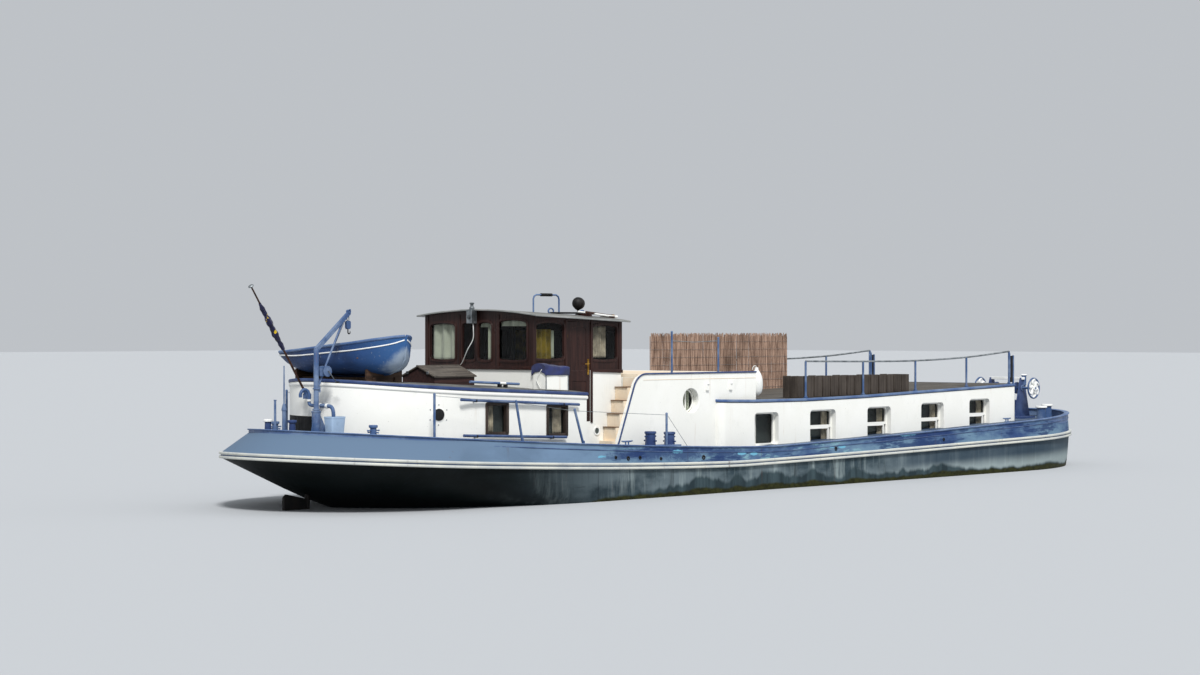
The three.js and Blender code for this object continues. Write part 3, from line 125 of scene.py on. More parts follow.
class Finish:
    """A material under construction, with short calls for the nodes that it needs."""

    def __init__(self, name):
        self.material = bpy.data.materials.new(name)
        self.material.use_nodes = True
        self.tree = self.material.node_tree
        self.shader = self.tree.nodes["Principled BSDF"]
        self.place = self.node("ShaderNodeTexCoord").outputs["Object"]

    def node(self, kind, inputs=None, **settings):
        """A node with its inputs linked or set."""
        node = self.tree.nodes.new(kind)
        for key, value in settings.items():
            setattr(node, key, value)
        for key, value in (inputs or {}).items():
            if isinstance(value, bpy.types.NodeSocket):
                self.tree.links.new(value, node.inputs[key])
            else:
                node.inputs[key].default_value = value
        return node

    def math(self, operation, a, b=0.0):
        return self.node("ShaderNodeMath", {0: a, 1: b}, operation=operation).outputs[0]

    def times(self, a, b):
        return self.math("MULTIPLY", a, b)

    def plus(self, a, b):
        return self.math("ADD", a, b)

    def less(self, a, b):
        return self.math("SUBTRACT", a, b)

    def ramp(self, value, low, high, to_low=0.0, to_high=1.0):
        """The value carried softly from one range to another."""
        inputs = {"Value": value, "From Min": low, "From Max": high, "To Min": to_low, "To Max": to_high}
        return self.node("ShaderNodeMapRange", inputs, interpolation_type="SMOOTHSTEP").outputs[0]

    def noise(self, scale, detail=4.0, rough=0.55, stretch=(1, 1, 1), shift=(0, 0, 0)):
        """Noise on the place on the object, stretched and shifted."""
        mapped = self.node("ShaderNodeMapping",
                           {"Vector": self.place, "Scale": stretch, "Location": shift}).outputs[0]
        inputs = {"Vector": mapped, "Scale": scale, "Detail": detail, "Roughness": rough}
        return self.node("ShaderNodeTexNoise", inputs).outputs["Fac"]

    def mix(self, share, a, b):
        """Two colours mixed by a share."""
        a, b = (value if isinstance(value, bpy.types.NodeSocket) else linear(value) for value in (a, b))
        return self.node("ShaderNodeMix", {0: share, 6: a, 7: b}, data_type="RGBA").outputs[2]

    def cover(self, body, field, low, high, colour, share=1.0):
        """The colour laid over the body where the field rises from low to high."""
        return self.mix(self.ramp(field, low, high, 0.0, share), body, colour)

    def axes(self):
        """The place on the object as x, y and z."""
        split = self.node("ShaderNodeSeparateXYZ", {0: self.place})
        return split.outputs[0], split.outputs[1], split.outputs[2]

    def facing_up(self):
        """One on faces that look upward, nought on the others."""
        normal = self.node("ShaderNodeNewGeometry").outputs["Normal"]
        up = self.node("ShaderNodeSeparateXYZ", {0: normal}).outputs[2]
        return self.ramp(up, 0.92, 0.97)

    def finish(self, colour, rough=0.5, bump=None, depth=0.004, metallic=0.0, strength=0.5, shine=0.5):
        """Fills the shader and gives back the material."""
        self.shader.inputs["Specular IOR Level"].default_value = shine
        for key, value in (("Base Color", colour), ("Roughness", rough), ("Metallic", metallic)):
            if isinstance(value, bpy.types.NodeSocket):
                self.tree.links.new(value, self.shader.inputs[key])
            else:
                self.shader.inputs[key].default_value = linear(value) if key == "Base Color" else value
        if bump is not None:
            inputs = {"Height": bump, "Strength": strength, "Distance": depth}
            normal = self.node("ShaderNodeBump", inputs).outputs[0]
            self.tree.links.new(normal, self.shader.inputs["Normal"])
        return self.material


def shade(colour, factor):
    """The colour made darker or lighter."""
    return tuple(min(1.0, c * factor) for c in colour[:3])


def worn_paint(name, colour, pale, streak, streaks, rough, scale, dents, shine=0.35, dirt=0.35):
    """Brushed paint with bleached blotches, rust-coloured runs, grime and shallow dents."""
    make = Finish(name)
    body = make.cover(colour, make.noise(0.9 * scale, 6.0, 0.6), 0.4, 0.68, pale)
    grime = make.noise(3.1 * scale, 7.0, 0.65, (1, 1, 0.6), (3, 7, 1))
    body = make.cover(body, grime, 0.54, 0.8, shade(colour, 0.55), dirt)
    runs = make.noise(1.0, 5.0, 0.6, (7 * scale, 7 * scale, 0.45 * scale), (1, 2, 5))
    gate = make.noise(1.3 * scale, 3.0, 0.5, (1, 1, 1), (9, 4, 2))
    run_share = make.times(make.ramp(runs, 0.57, 0.76), make.ramp(gate, 0.45, 0.66, 0.0, streaks))
    body = make.mix(run_share, body, streak)
    chips = make.noise(34 * scale, 3.0, 0.6, (1, 1, 1), (5, 5, 5))
    body = make.cover(body, chips, 0.7, 0.74, shade(streak, 0.55), 0.6)
    fine = make.noise(60.0, 4.0, 0.6)
    wave = make.noise(1.7 * scale, 2.0, 0.4, (1, 1, 0.8), (4, 1, 8))
    height = make.plus(make.times(fine, 0.04), make.times(wave, dents * 4))
    roughness = make.ramp(grime, 0.3, 0.75, rough - 0.1, rough + 0.22)
    return make.finish(body, roughness, height, 0.012, shine=shine)


def stained_wood(name, dark, light, along, gloss, grain, boards=0.0, shine=0.3):
    """Wood with grain along one axis, and a board pattern across another when boards is a width."""
    make = Finish(name)
    stretch = {"x": (0.35, 9, 9), "y": (9, 0.35, 9), "z": (9, 9, 0.35)}[along]
    fibres = make.noise(2.2 * grain, 8.0, 0.65, stretch)
    body = make.cover(dark, fibres, 0.32, 0.7, light)
    blotch = make.noise(1.6, 5.0, 0.6, (1, 1, 1), (2, 6, 3))
    body = make.cover(body, blotch, 0.45, 0.75, shade(dark, 0.6), 0.55)
    if boards:
        x, y, _ = make.axes()
        step = make.math("FLOOR", make.math("DIVIDE", y if along == "x" else x, boards))
        tone = make.node("ShaderNodeTexWhiteNoise", {"W": step}, noise_dimensions="1D").outputs["Value"]
        body = make.cover(body, tone, 0.0, 1.0, shade(light, 1.15), 0.35)
    roughness = make.ramp(blotch, 0.3, 0.8, gloss - 0.08, gloss + 0.2)
    return make.finish(body, roughness, fibres, 0.002, strength=0.35, shine=shine)


# Spots of old turquoise paint on the blue plating: x, z, half length, half height
PEELED = [(-5.93, 1.779, 0.10, 0.024), (-3.81, 1.80, 0.15, 0.030), (-1.90, 1.70, 0.13, 0.035),
          (-1.53, 1.68, 0.10, 0.035), (0.97, 1.73, 0.07, 0.02),
          (1.31, 1.72, 0.13, 0.028), (3.56, 1.90, 0.30, 0.024), (4.4, 1.95, 0.10, 0.024)]
PLATE_LENGTH = 1.45
TOUCHED_UP = [(-4.6, 1.80, 0.9, 0.10), (-3.6, 1.76, 0.55, 0.13), (-2.5, 1.74, 0.5, 0.10), (4.6, 1.92, 0.6, 0.10),
              (3.0, 1.84, 0.5, 0.09), (7.3, 2.05, 0.7, 0.09)]


def band_line(make, x):
    """Height of the groove in the rubbing band along the hull."""
    ends = []
    for end, run, reach in (("aft", make.less(BAND["low_x"], x), BAND["low_x"] - STERN_X),
                            ("fore", make.less(x, BAND["low_x"]), BOW_X - BAND["low_x"])):
        share = make.math("MAXIMUM", make.math("DIVIDE", run, reach), 0.0)
        ends.append(make.times(make.math("POWER", share, BAND[end + "_power"]), BAND[end + "_rise"]))
    return make.plus(make.plus(*ends), above(BAND["low_z"] + BAND_GROOVE))


def faded_hull(make, x, z, over, forward, tar):
    """Dark paint that is chalky and streaked forward, pale low down at the bow, with weed at the waterline."""
    chalk_field = make.noise(0.5, 7.0, 0.62, (1, 1, 2.0), (3, 0, 2))
    chalk = make.times(make.ramp(chalk_field, 0.36, 0.6), make.ramp(forward, 0.0, 1.0, 0.03, 1.0))
    body = make.mix(chalk, make.mix(forward, tar, (0.19, 0.25, 0.28)), (0.40, 0.45, 0.47))
    streaks = make.noise(1.0, 6.0, 0.65, (3.2, 3.2, 0.35), (8, 3, 1))
    body = make.mix(make.times(make.ramp(streaks, 0.5, 0.7, 0.0, 0.7), forward), body, (0.60, 0.65, 0.65))
    drips = make.noise(1.0, 6.0, 0.65, (5.0, 5.0, 0.3), (1, 6, 1))
    body = make.cover(body, drips, 0.55, 0.72, (0.07, 0.10, 0.12), 0.7)
    scrapes = make.noise(1.0, 6.0, 0.7, (1.2, 1, 14), (2, 2, 2))
    body = make.cover(body, scrapes, 0.62, 0.7, (0.055, 0.07, 0.10), 0.3)
    ahead = make.ramp(x, 2.0, 4.5)
    low_down = make.ramp(over, -0.26, -0.56)
    body = make.mix(make.times(make.times(ahead, make.less(1.0, low_down)), 0.8), body, (0.20, 0.26, 0.31))
    body = make.mix(make.times(make.times(ahead, low_down), 0.7), body, (0.63, 0.68, 0.68))

    wave = make.noise(0.75, 4.0, 0.6, (1.3, 1.3, 0.2), (6, 1, 3))
    hills = make.times(make.ramp(x, -6.5, -3.5), make.ramp(x, 6.5, 3.5, 0.45, 1.0))
    hill_line = make.times(make.ramp(wave, 0.3, 0.68, 0.12, 0.40), hills)
    damp = make.cover((0.15, 0.20, 0.22), streaks, 0.4, 0.65, (0.24, 0.30, 0.32))
    body = make.cover(body, make.less(make.plus(WATER, hill_line), z), -0.05, 0.04, damp)
    slime = make.noise(9.0, 6.0, 0.7, (1, 1, 2), (1, 8, 2))
    weed_line = make.plus(make.ramp(wave, 0.3, 0.7, 0.03, 0.12), make.ramp(x, -7.5, -4.5, -0.16, 0.02))
    weed = make.cover((0.115, 0.12, 0.055), slime, 0.35, 0.65, (0.20, 0.205, 0.09))
    body = make.cover(body, make.less(make.plus(WATER, weed_line), z), -0.035, 0.02, weed)
    bottom = make.cover((0.08, 0.075, 0.065), slime, 0.3, 0.7, (0.17, 0.15, 0.11))
    return make.cover(body, z, WATER - 0.02, WATER - 0.12, bottom)


def spotted(make, x, z, spots, soft, ragged):
    """One inside the spots, nought outside them, with a soft and ragged edge."""
    cover = 0.0
    for spot_x, spot_z, long, tall in spots:
        dx = make.math("DIVIDE", make.less(x, spot_x), long)
        dz = make.math("DIVIDE", make.less(z, spot_z), tall)
        away = make.math("SQRT", make.plus(make.times(dx, dx), make.times(dz, dz)))
        cover = make.math("MAXIMUM", cover, make.ramp(make.plus(away, ragged), 1.0 + soft, 1.0 - soft))
    return cover


def worn_blue(make, x, z, blue):
    """Blue plating that is even at the stern apart from painted shade darkening its aftmost end, and bleached,
    touched up and peeling further forward.
    """
    worn = make.ramp(x, -7.2, -4.6)
    fade = make.noise(0.7, 7.0, 0.62, (1, 1, 2.5), (5, 2, 4))
    fore_blue = make.cover((0.20, 0.29, 0.46), fade, 0.38, 0.62, (0.41, 0.52, 0.61))
    stern_blue = make.cover(shade(blue, 0.94), fade, 0.38, 0.66, shade(blue, 1.05))
    # Painted shade: the blue is darkened aft of x -8.4, where the curved stern faces the light and comes out
    # lighter.
    stern_blue = make.cover(stern_blue, x, -8.4, -9.4, shade(blue, 0.87))
    body = make.mix(worn, stern_blue, fore_blue)
    peel = make.noise(1.5, 8.0, 0.72, (0.8, 0.8, 4.5), (4, 9, 6))
    middle = make.times(make.ramp(x, -6.4, -4.6), make.ramp(x, 4.6, 1.2))
    peel_share = make.times(make.ramp(peel, 0.57, 0.62), make.ramp(middle, 0.0, 1.0, 0.0, 0.85))
    body = make.mix(peel_share, body, (0.50, 0.65, 0.69))
    ragged = make.times(make.less(make.noise(11.0, 4.0, 0.7, (1, 1, 2)), 0.5), 2.4)
    dark_touch = make.noise(1.1, 6.0, 0.66, (0.8, 0.8, 5), (7, 7, 1))
    body = make.mix(make.times(make.ramp(dark_touch, 0.5, 0.58, 0.0, 0.85), worn), body, (0.15, 0.23, 0.39))
    for spots, soft, share, colour in ((TOUCHED_UP, 0.5, 0.75, (0.13, 0.21, 0.39)),
                                       (PEELED, 0.1, 0.9, (0.44, 0.69, 0.79))):
        body = make.mix(make.times(spotted(make, x, z, spots, soft, ragged), share), body, colour)
    runs = make.noise(1.0, 5.0, 0.6, (9, 9, 0.5), (2, 2, 9))
    return make.cover(body, runs, 0.64, 0.78, (0.36, 0.27, 0.20), 0.4)


def hull_finish(colours):
    """Blue above the rubbing band, faded dark paint below it, weed at the waterline and deck paint on top."""
    make = Finish("hull_paint")
    x, _, z = make.axes()
    over = make.less(z, band_line(make, x))
    forward = make.ramp(x, -9.0, -3.2)
    lower = faded_hull(make, x, z, over, forward, tuple(colours.hull))
    body = make.cover(lower, over, -0.01, 0.01, worn_blue(make, x, z, tuple(colours.blue)))
    rust_runs = make.noise(1.0, 6.0, 0.65, (11, 11, 0.6), (4, 4, 4))
    rust_gate = make.times(make.ramp(over, -0.9, -0.05), forward)
    body = make.mix(make.times(make.ramp(rust_runs, 0.64, 0.74, 0.0, 0.6), rust_gate), body, (0.30, 0.16, 0.09))
    deck = make.cover((0.20, 0.26, 0.36), make.noise(1.8, 7.0, 0.65), 0.38, 0.66, (0.38, 0.43, 0.48))
    body = make.mix(make.times(make.facing_up(), make.ramp(z, 1.6, 1.7)), body, deck)

    dents = make.noise(1.2, 2.0, 0.4, (1.6, 1, 1.2), (4, 1, 8))
    fine = make.noise(40.0, 5.0, 0.65)
    seam = make.ramp(make.math("PINGPONG", make.plus(x, 40.3), PLATE_LENGTH), 0.0, 0.012, 1.0, 0.0)
    height = make.plus(make.plus(make.times(dents, 1.6), make.times(fine, 0.06)), make.times(seam, 0.12))
    return make.finish(body, 0.62, height, 0.014, shine=0.1)


def dinghy_finish():
    """Dark blue paint, lighter and chalky towards the bow, bare and pale at the forefoot."""
    make = Finish("dinghy_paint")
    _, y, z = make.axes()
    fade = make.noise(1.4, 6.0, 0.62, (1, 1, 2), (2, 5, 3))
    body = make.cover((0.10, 0.18, 0.33), fade, 0.35, 0.65, (0.15, 0.27, 0.46))
    body = make.cover(body, make.plus(y, make.times(fade, 1.2)), 0.2, -1.5, (0.20, 0.38, 0.59))
    chips = make.noise(22.0, 4.0, 0.7, (1, 1, 1), (3, 3, 3))
    body = make.cover(body, chips, 0.62, 0.72, (0.55, 0.58, 0.60), 0.6)
    wobble = make.times(make.less(make.noise(3.2, 5.0, 0.65, (1, 1, 1), (6, 2, 1)), 0.5), 0.3)
    edge = make.plus(make.plus(y, 1.10), make.times(make.less(z, 3.35), 0.85))
    patch = make.times(make.ramp(make.plus(edge, wobble), 0.08, -0.08), make.ramp(z, 3.86, 3.80))
    body = make.mix(make.times(patch, 0.85), body, (0.58, 0.63, 0.68))
    return make.finish(body, 0.5, fade, 0.006, shine=0.3)


def glass_finish():
    """Opaque window glass whose dark colour and lighter murk are painted shade of the dim space behind it."""
    make = Finish("window_glass")
    murk = make.noise(1.4, 3.0, 0.5, (1, 1, 1), (2, 1, 1))
    return make.finish(make.cover((0.045, 0.055, 0.055), murk, 0.4, 0.65, (0.14, 0.16, 0.155)), 0.07, shine=0.6)


def pane_finish():
    """Thin clear glass: dark tint, gloss, and most of what lies behind showing."""
    make = Finish("clear_pane")
    make.shader.inputs["Alpha"].default_value = 0.16
    return make.finish((0.05, 0.06, 0.06), 0.05, shine=0.6)


def plain_finish(name, colour, rough):
    """One dull colour."""
    return Finish(name).finish(colour, rough, shine=0.1)


def cloth_finish(name, colour, threads, sheen=0.3, fold_shade=0.25, specks=None):
    """Woven cloth: crossing threads as fine bump, with folds shaded by soft blotches."""
    make = Finish(name)
    x, y, z = make.axes()
    warp = make.math("SINE", make.times(make.plus(x, y), threads))
    weft = make.math("SINE", make.times(z, threads))
    weave = make.times(warp, weft)
    blotch = make.noise(5.0, 5.0, 0.6)
    # Painted shade: soft blotches darken and lighten the cloth where folds would shade it.
    body = make.cover(shade(colour, 1 - fold_shade), blotch, 0.35, 0.7, shade(colour, 1 + fold_shade / 2))
    if specks:
        body = make.cover(body, make.noise(9.0, 2.0, 0.5, (1, 1, 1), (4, 4, 4)), 0.66, 0.69, specks)
    make.shader.inputs["Sheen Weight"].default_value = sheen
    return make.finish(body, 0.9, weave, 0.0015, strength=0.3, shine=0.2)


def metal_finish(name, dark, light, rough=0.35, metallic=0.9):
    """Metal with patches of tarnish."""
    make = Finish(name)
    tarnish = make.noise(7.0, 6.0, 0.65)
    roughness = make.ramp(tarnish, 0.3, 0.75, rough, rough + 0.3)
    return make.finish(make.cover(dark, tarnish, 0.35, 0.7, light), roughness, make.noise(50.0, 3.0), 0.001,
                       metallic)


RUST = (0.45, 0.27, 0.15)

# Colour or the panel's name of it, bleached colour, streaks' colour and share, roughness, scale, dents, shine, dirt
PAINTS = {
    "blue_paint": ((0.27, 0.37, 0.54), (0.42, 0.50, 0.62), RUST, 0.5, 0.45, 2.0, 0.1),
    "steel_blue_paint": ("steel_blue", (0.42, 0.49, 0.60), RUST, 0.55, 0.45, 4.0, 0.1),
    "dark_blue_paint": ((0.16, 0.23, 0.40), (0.24, 0.32, 0.48), RUST, 0.4, 0.4, 3.0, 0.1),
    "navy_paint": ((0.20, 0.28, 0.44), (0.34, 0.42, 0.56), RUST, 0.3, 0.45, 3.0, 0.05),
    "cream_paint": ("cream", (0.72, 0.73, 0.72), (0.42, 0.34, 0.27), 0.9, 0.5, 1.6, 0.1),
    "white_paint": ("white", (0.955, 0.95, 0.925), (0.70, 0.58, 0.44), 0.4, 0.42, 1.3, 0.22, 0.35, 0.12),
    "white_steel": ((0.90, 0.90, 0.88), (0.95, 0.95, 0.94), RUST, 0.5, 0.4, 6.0, 0.05),
    "beige_paint": ("beige", (0.91, 0.85, 0.76), (0.50, 0.38, 0.26), 0.4, 0.6, 2.0, 0.15),
    "roof_paint": ((0.33, 0.33, 0.32), (0.50, 0.50, 0.48), (0.25, 0.22, 0.19), 0.6, 0.6, 1.6, 0.15),
    "roof_edge": ((0.52, 0.53, 0.52), (0.62, 0.62, 0.61), (0.36, 0.33, 0.30), 0.6, 0.55, 3.0, 0.05),
    "pale_blue_plastic": ((0.62, 0.71, 0.81), (0.68, 0.76, 0.84), (0.35, 0.36, 0.34), 0.2, 0.55, 3.0, 0.05),
    "fender_plastic": ((0.88, 0.88, 0.86), (0.93, 0.93, 0.92), (0.42, 0.40, 0.34), 0.5, 0.4, 5.0, 0.0),
    # The black rubber colour also stands as painted shade: the stern alcove, the outlets' mouths and the aft
    # portholes.
    "rubber": ((0.05, 0.05, 0.052), (0.12, 0.12, 0.12), (0.10, 0.09, 0.08), 0.3, 0.7, 4.0, 0.0),
    "inside": ((0.30, 0.20, 0.12), (0.42, 0.30, 0.19), (0.2, 0.12, 0.08), 0.2, 0.6, 2.0, 0.0),
}
# Dark and light colour, grain's axis, roughness, fineness of the grain, width of painted boards, shine
WOODS = {
    "mahogany": ("mahogany", (0.25, 0.155, 0.135), "z", 0.34, 1.2, 0, 0.2),
    "mahogany_rail": ("mahogany", (0.25, 0.155, 0.135), "x", 0.34, 1.2, 0, 0.2),
    "amber_wood": ((0.44, 0.22, 0.07), (0.66, 0.38, 0.14), "z", 0.4, 1.2),
    "brown_wood": ((0.17, 0.12, 0.09), (0.34, 0.25, 0.19), "x", 0.65, 1.3),
    "grey_wood": ((0.20, 0.19, 0.175), (0.37, 0.35, 0.32), "x", 0.75, 1.4, 0.124),
    "stair_wood": ((0.36, 0.26, 0.18), (0.52, 0.40, 0.29), "y", 0.5, 1.4),
    "brushwood": ((0.40, 0.31, 0.26), (0.80, 0.68, 0.60), "z", 0.85, 2.5, 0, 0.1),
    "hatch_wood": ((0.15, 0.095, 0.09), (0.27, 0.175, 0.16), "x", 0.5, 1.4),
    "hatch_lid_wood": ((0.25, 0.23, 0.215), (0.43, 0.40, 0.36), "x", 0.6, 1.4),
    "staff_wood": ((0.12, 0.07, 0.05), (0.32, 0.19, 0.12), "z", 0.45, 1.2),
    "frame_wood": ((0.16, 0.13, 0.115), (0.28, 0.23, 0.20), "z", 0.6, 1.3),
    "board_wood": ((0.24, 0.215, 0.195), (0.34, 0.31, 0.285), "z", 0.7, 1.3, 0, 0.1),
}
# Colour, threads, sheen, painted shade of folds, colour of specks
CLOTHS = {
    "canvas": ((0.13, 0.17, 0.37), 260.0),
    "curtain": ((0.80, 0.76, 0.66), 200.0),
    "blind": ((0.82, 0.85, 0.76), 180.0, 0.3, 0.04),
    "yellow_cloth": ((0.50, 0.43, 0.10), 200.0),
    "rope_line": ((0.80, 0.80, 0.78), 420.0, 0.1),
    "flag_cloth": ((0.09, 0.10, 0.26), 300.0, 0.3, 0.25, (0.78, 0.66, 0.12)),
}
# Dark and light colour, roughness, metallic share
METALS = {
    "bronze": ((0.30, 0.21, 0.10), (0.60, 0.45, 0.22)),
    "brass": ((0.48, 0.34, 0.12), (0.80, 0.62, 0.28), 0.25, 1.0),
    "iron": ((0.045, 0.045, 0.05), (0.16, 0.14, 0.13), 0.5, 0.4),
    "zinc": ((0.42, 0.44, 0.45), (0.66, 0.68, 0.69), 0.35, 0.85),
}
# The dark room colour is painted shade: dark sheets and discs put behind windows and ports stand in for the dim
# rooms inside.
PLAINS = {"dark_room": ((0.30, 0.33, 0.32), 0.9), "floor_paint": ((0.70, 0.71, 0.72), 0.8)}
MATERIALS = {}


def make_finishes():
    """Every finish of the boat by its name."""
    colours = bpy.context.scene.barge_colours
    tables = {worn_paint: PAINTS, stained_wood: WOODS, cloth_finish: CLOTHS, metal_finish: METALS,
              plain_finish: PLAINS}
    for kind, table in tables.items():
        for name, (colour, *rest) in table.items():
            own = tuple(getattr(colours, colour)) if isinstance(colour, str) else colour
            MATERIALS[name] = kind(name, own, *rest)
    MATERIALS.update(hull_paint=hull_finish(colours), dinghy_paint=dinghy_finish(), window_glass=glass_finish(),
                     clear_pane=pane_finish())


# Shapes


def placed(name, data):
    """A new object in the scene."""
    obj = bpy.data.objects.new(name, data)
    bpy.context.scene.collection.objects.link(obj)
    return obj


def evenly(low, high, parts):
    """Even steps from low to high, with both ends."""
    return [low + (high - low) * i / parts for i in range(parts + 1)]


def circle(x, z, radius, count):
    """Points round a circle."""
    return [(x + radius * math.cos(a), z + radius * math.sin(a))
            for a in np.linspace(0, 2 * math.pi, count + 1)[:-1]]


def span(side, a, b):
    """Two distances from the middle as low and high on one side of the boat."""
    return sorted((side * a, side * b))


def grid_faces(rows, columns):
    """Faces of a sheet whose points are laid row by row."""
    starts = [r * (columns + 1) + c for r in range(rows) for c in range(columns)]
    return [(a, a + 1, a + columns + 2, a + columns + 1) for a in starts]


class Shape:
    """Vertices and faces of one piece, with a finish for every face."""

    def __init__(self):
        self.points = []
        self.faces = []
        self.looks = []

    def add(self, points, faces, look):
        """Points and faces with one finish."""
        start = len(self.points)
        self.points.extend(tuple(point) for point in points)
        self.faces.extend([start + i for i in face] for face in faces)
        self.looks.extend([look] * len(faces))

    def box(self, low, high, look, turn=None, about=None):
        """A block between two corners, turned when a turn is given."""
        (x0, y0, z0), (x1, y1, z1) = low, high
        points = [Vector((x, y, z)) for z in (z0, z1) for x, y in ((x0, y0), (x1, y0), (x1, y1), (x0, y1))]
        if turn is not None:
            centre = Vector(about) if about else (Vector(low) + Vector(high)) / 2
            points = [centre + turn @ (point - centre) for point in points]
        faces = [(3, 2, 1, 0), (4, 5, 6, 7), (0, 1, 5, 4), (1, 2, 6, 5), (2, 3, 7, 6), (3, 0, 4, 7)]
        self.add(points, faces, look)

    def rings(self, rings, look, closed=False, caps=True):
        """Side faces between equal rings; each ring runs anticlockwise seen from the last ring."""
        count = len(rings[0])
        points = [point for ring in rings for point in ring]
        faces = []
        pairs = len(rings) if closed else len(rings) - 1
        for r in range(pairs):
            low, high = r * count, ((r + 1) % len(rings)) * count
            for i in range(count):
                j = (i + 1) % count
                faces.append((low + i, low + j, high + j, high + i))
        if caps and not closed:
            faces.append(tuple(reversed(range(count))))
            faces.append(tuple(range(len(points) - count, len(points))))
        self.add(points, faces, look)

    def tube(self, path, radius, look, sides=10, closed=False):
        """A round rod along a path; radius is one number or one for each point."""
        path = [Vector(point) for point in path]
        count = len(path)
        radii = [radius] * count if isinstance(radius, (int, float)) else list(radius)
        ways = []
        for i in range(count):
            before = path[i - 1] if i > 0 or closed else path[i]
            after = path[(i + 1) % count] if i < count - 1 or closed else path[i]
            ways.append((after - before).normalized())
        side = ways[0].orthogonal().normalized()
        rings = []
        for centre, way, r in zip(path, ways, radii):
            side = (side - way * side.dot(way)).normalized()
            other = way.cross(side)
            rings.append([centre + (side * math.cos(a) + other * math.sin(a)) * r
                          for a in (2 * math.pi * k / sides for k in range(sides))])
        self.rings(rings, look, closed)

    def turned(self, profile, start, axis, look, sides=20, whole=False):
        """A profile of (radius, distance along the axis) spun round the axis from a point."""
        start, axis = Vector(start), Vector(axis).normalized()
        side = axis.orthogonal().normalized()
        other = axis.cross(side)
        rings = [[start + axis * d + (side * math.cos(a) + other * math.sin(a)) * max(r, 1e-4)
                  for a in (2 * math.pi * k / sides for k in range(sides))] for r, d in profile]
        self.rings(rings, look, whole)

    def prism(self, outline, axis, low, high, look):
        """A flat outline pushed along one axis: (x, y) along z, (x, z) along y or (y, z) along x."""
        put = {"z": lambda a, b, c: (a, b, c), "y": lambda a, b, c: (a, c, b), "x": lambda a, b, c: (c, a, b)}[axis]
        area = sum(a[0] * b[1] - b[0] * a[1] for a, b in zip(outline, outline[1:] + outline[:1]))
        flip = (area < 0) != (axis == "y")
        ring = list(reversed(outline)) if flip else list(outline)
        self.rings([[put(a, b, low) for a, b in ring], [put(a, b, high) for a, b in ring]], look)

    def ball(self, centre, radius, look, sides=16, squash=1.0):
        """A round or squashed ball."""
        steps = sides // 2
        profile = [(radius * math.sin(math.pi * i / steps), -radius * squash * math.cos(math.pi * i / steps))
                   for i in range(steps + 1)]
        self.turned(profile, centre, UP, look, sides)

    def raw(self, name, weld=0.0):
        """The bare object: finishes in order of use, points merged within weld, faces outward."""
        looks = list(dict.fromkeys(self.looks))
        mesh = bpy.data.meshes.new(name)
        mesh.from_pydata(self.points, [], self.faces)
        for look in looks:
            mesh.materials.append(MATERIALS[look])
        mesh.polygons.foreach_set("material_index", [looks.index(look) for look in self.looks])
        edit = bmesh.new()
        edit.from_mesh(mesh)
        if weld:
            bmesh.ops.remove_doubles(edit, verts=edit.verts, dist=weld)
        bmesh.ops.recalc_face_normals(edit, faces=edit.faces)
        edit.to_mesh(mesh)
        edit.free()
        return placed(name, mesh)

    def make(self, name, body="boat", round_edge=0.0, smooth=35.0, replaces=(), slot=None):
        """The finished object, riding on its body."""
        obj = self.raw(name)
        if round_edge:
            soften(obj, round_edge)
        return settle(obj, body, smooth, replaces, slot or self.looks[0])


LOOKS_OF_SLOT = {
    "blue_paint": ("dark_blue_paint", "dinghy_paint", "navy_paint"),
    "brown_wood": ("amber_wood", "stair_wood", "inside", "hatch_wood", "staff_wood", "frame_wood", "board_wood"),
    "canvas": ("curtain", "blind", "yellow_cloth", "flag_cloth", "rope_line"),
    "iron": ("rubber", "dark_room"),
    "mahogany": ("mahogany_rail",),
    "grey_wood": ("hatch_lid_wood",),
    "bronze": ("brass",),
    "white_steel": ("zinc",),
    "window_glass": ("clear_pane",),
    "roof_paint": ("roof_edge",),
}
SLOT_OF_LOOK = {look: slot for slot, looks in LOOKS_OF_SLOT.items() for look in looks}


def settle(obj, body, smooth=35.0, replaces=(), slot=None):
    """Shading, body and replaced nodes of a finished object; the slot is looked up but not set."""
    mesh = obj.data
    if smooth:
        mesh.shade_smooth()
        mesh.set_sharp_from_angle(angle=math.radians(smooth))
    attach(obj, body)
    slot = SLOT_OF_LOOK.get(slot, slot)
    if replaces:
        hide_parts(*([replaces] if isinstance(replaces, str) else replaces))
    return obj


def plain_mesh(obj, name):
    """A new object whose mesh is the evaluated one, with no modifier left."""
    bpy.context.view_layer.update()
    graph = bpy.context.evaluated_depsgraph_get()
    mesh = bpy.data.meshes.new_from_object(obj.evaluated_get(graph), preserve_all_data_layers=True, depsgraph=graph)
    mesh.name = name
    old = obj.data
    bpy.data.objects.remove(obj)
    if old.users == 0 and isinstance(old, bpy.types.Mesh):
        bpy.data.meshes.remove(old)
    return placed(name, mesh)


def cut_out(obj, cutters, name):
    """The object with the cutter shapes taken away."""
    for number, cutter in enumerate(cutters):
        mesh = bpy.data.meshes.new(f"cutter_{number}")
        mesh.from_pydata(cutter.points, [], cutter.faces)
        mesh.materials.append(MATERIALS["inside"])
        tool = placed(f"cutter_{number}", mesh)
        change = obj.modifiers.new("Cut", "BOOLEAN")
        change.operation = "DIFFERENCE"
        change.solver = "EXACT"
        change.object = tool
        fresh = plain_mesh(obj, name)
        bpy.data.objects.remove(tool)
        obj = fresh
    return obj


# Lines of the hull


def line_height(line, x):
    """Height of the sheer or of the rubbing band at x."""
    aft = line["aft_rise"] * (max(0.0, line["low_x"] - x) / (line["low_x"] - STERN_X)) ** line["aft_power"]
    fore = line["fore_rise"] * (max(0.0, x - line["low_x"]) / (BOW_X - line["low_x"])) ** line["fore_power"]
    return above(line["low_z"] + aft + fore)


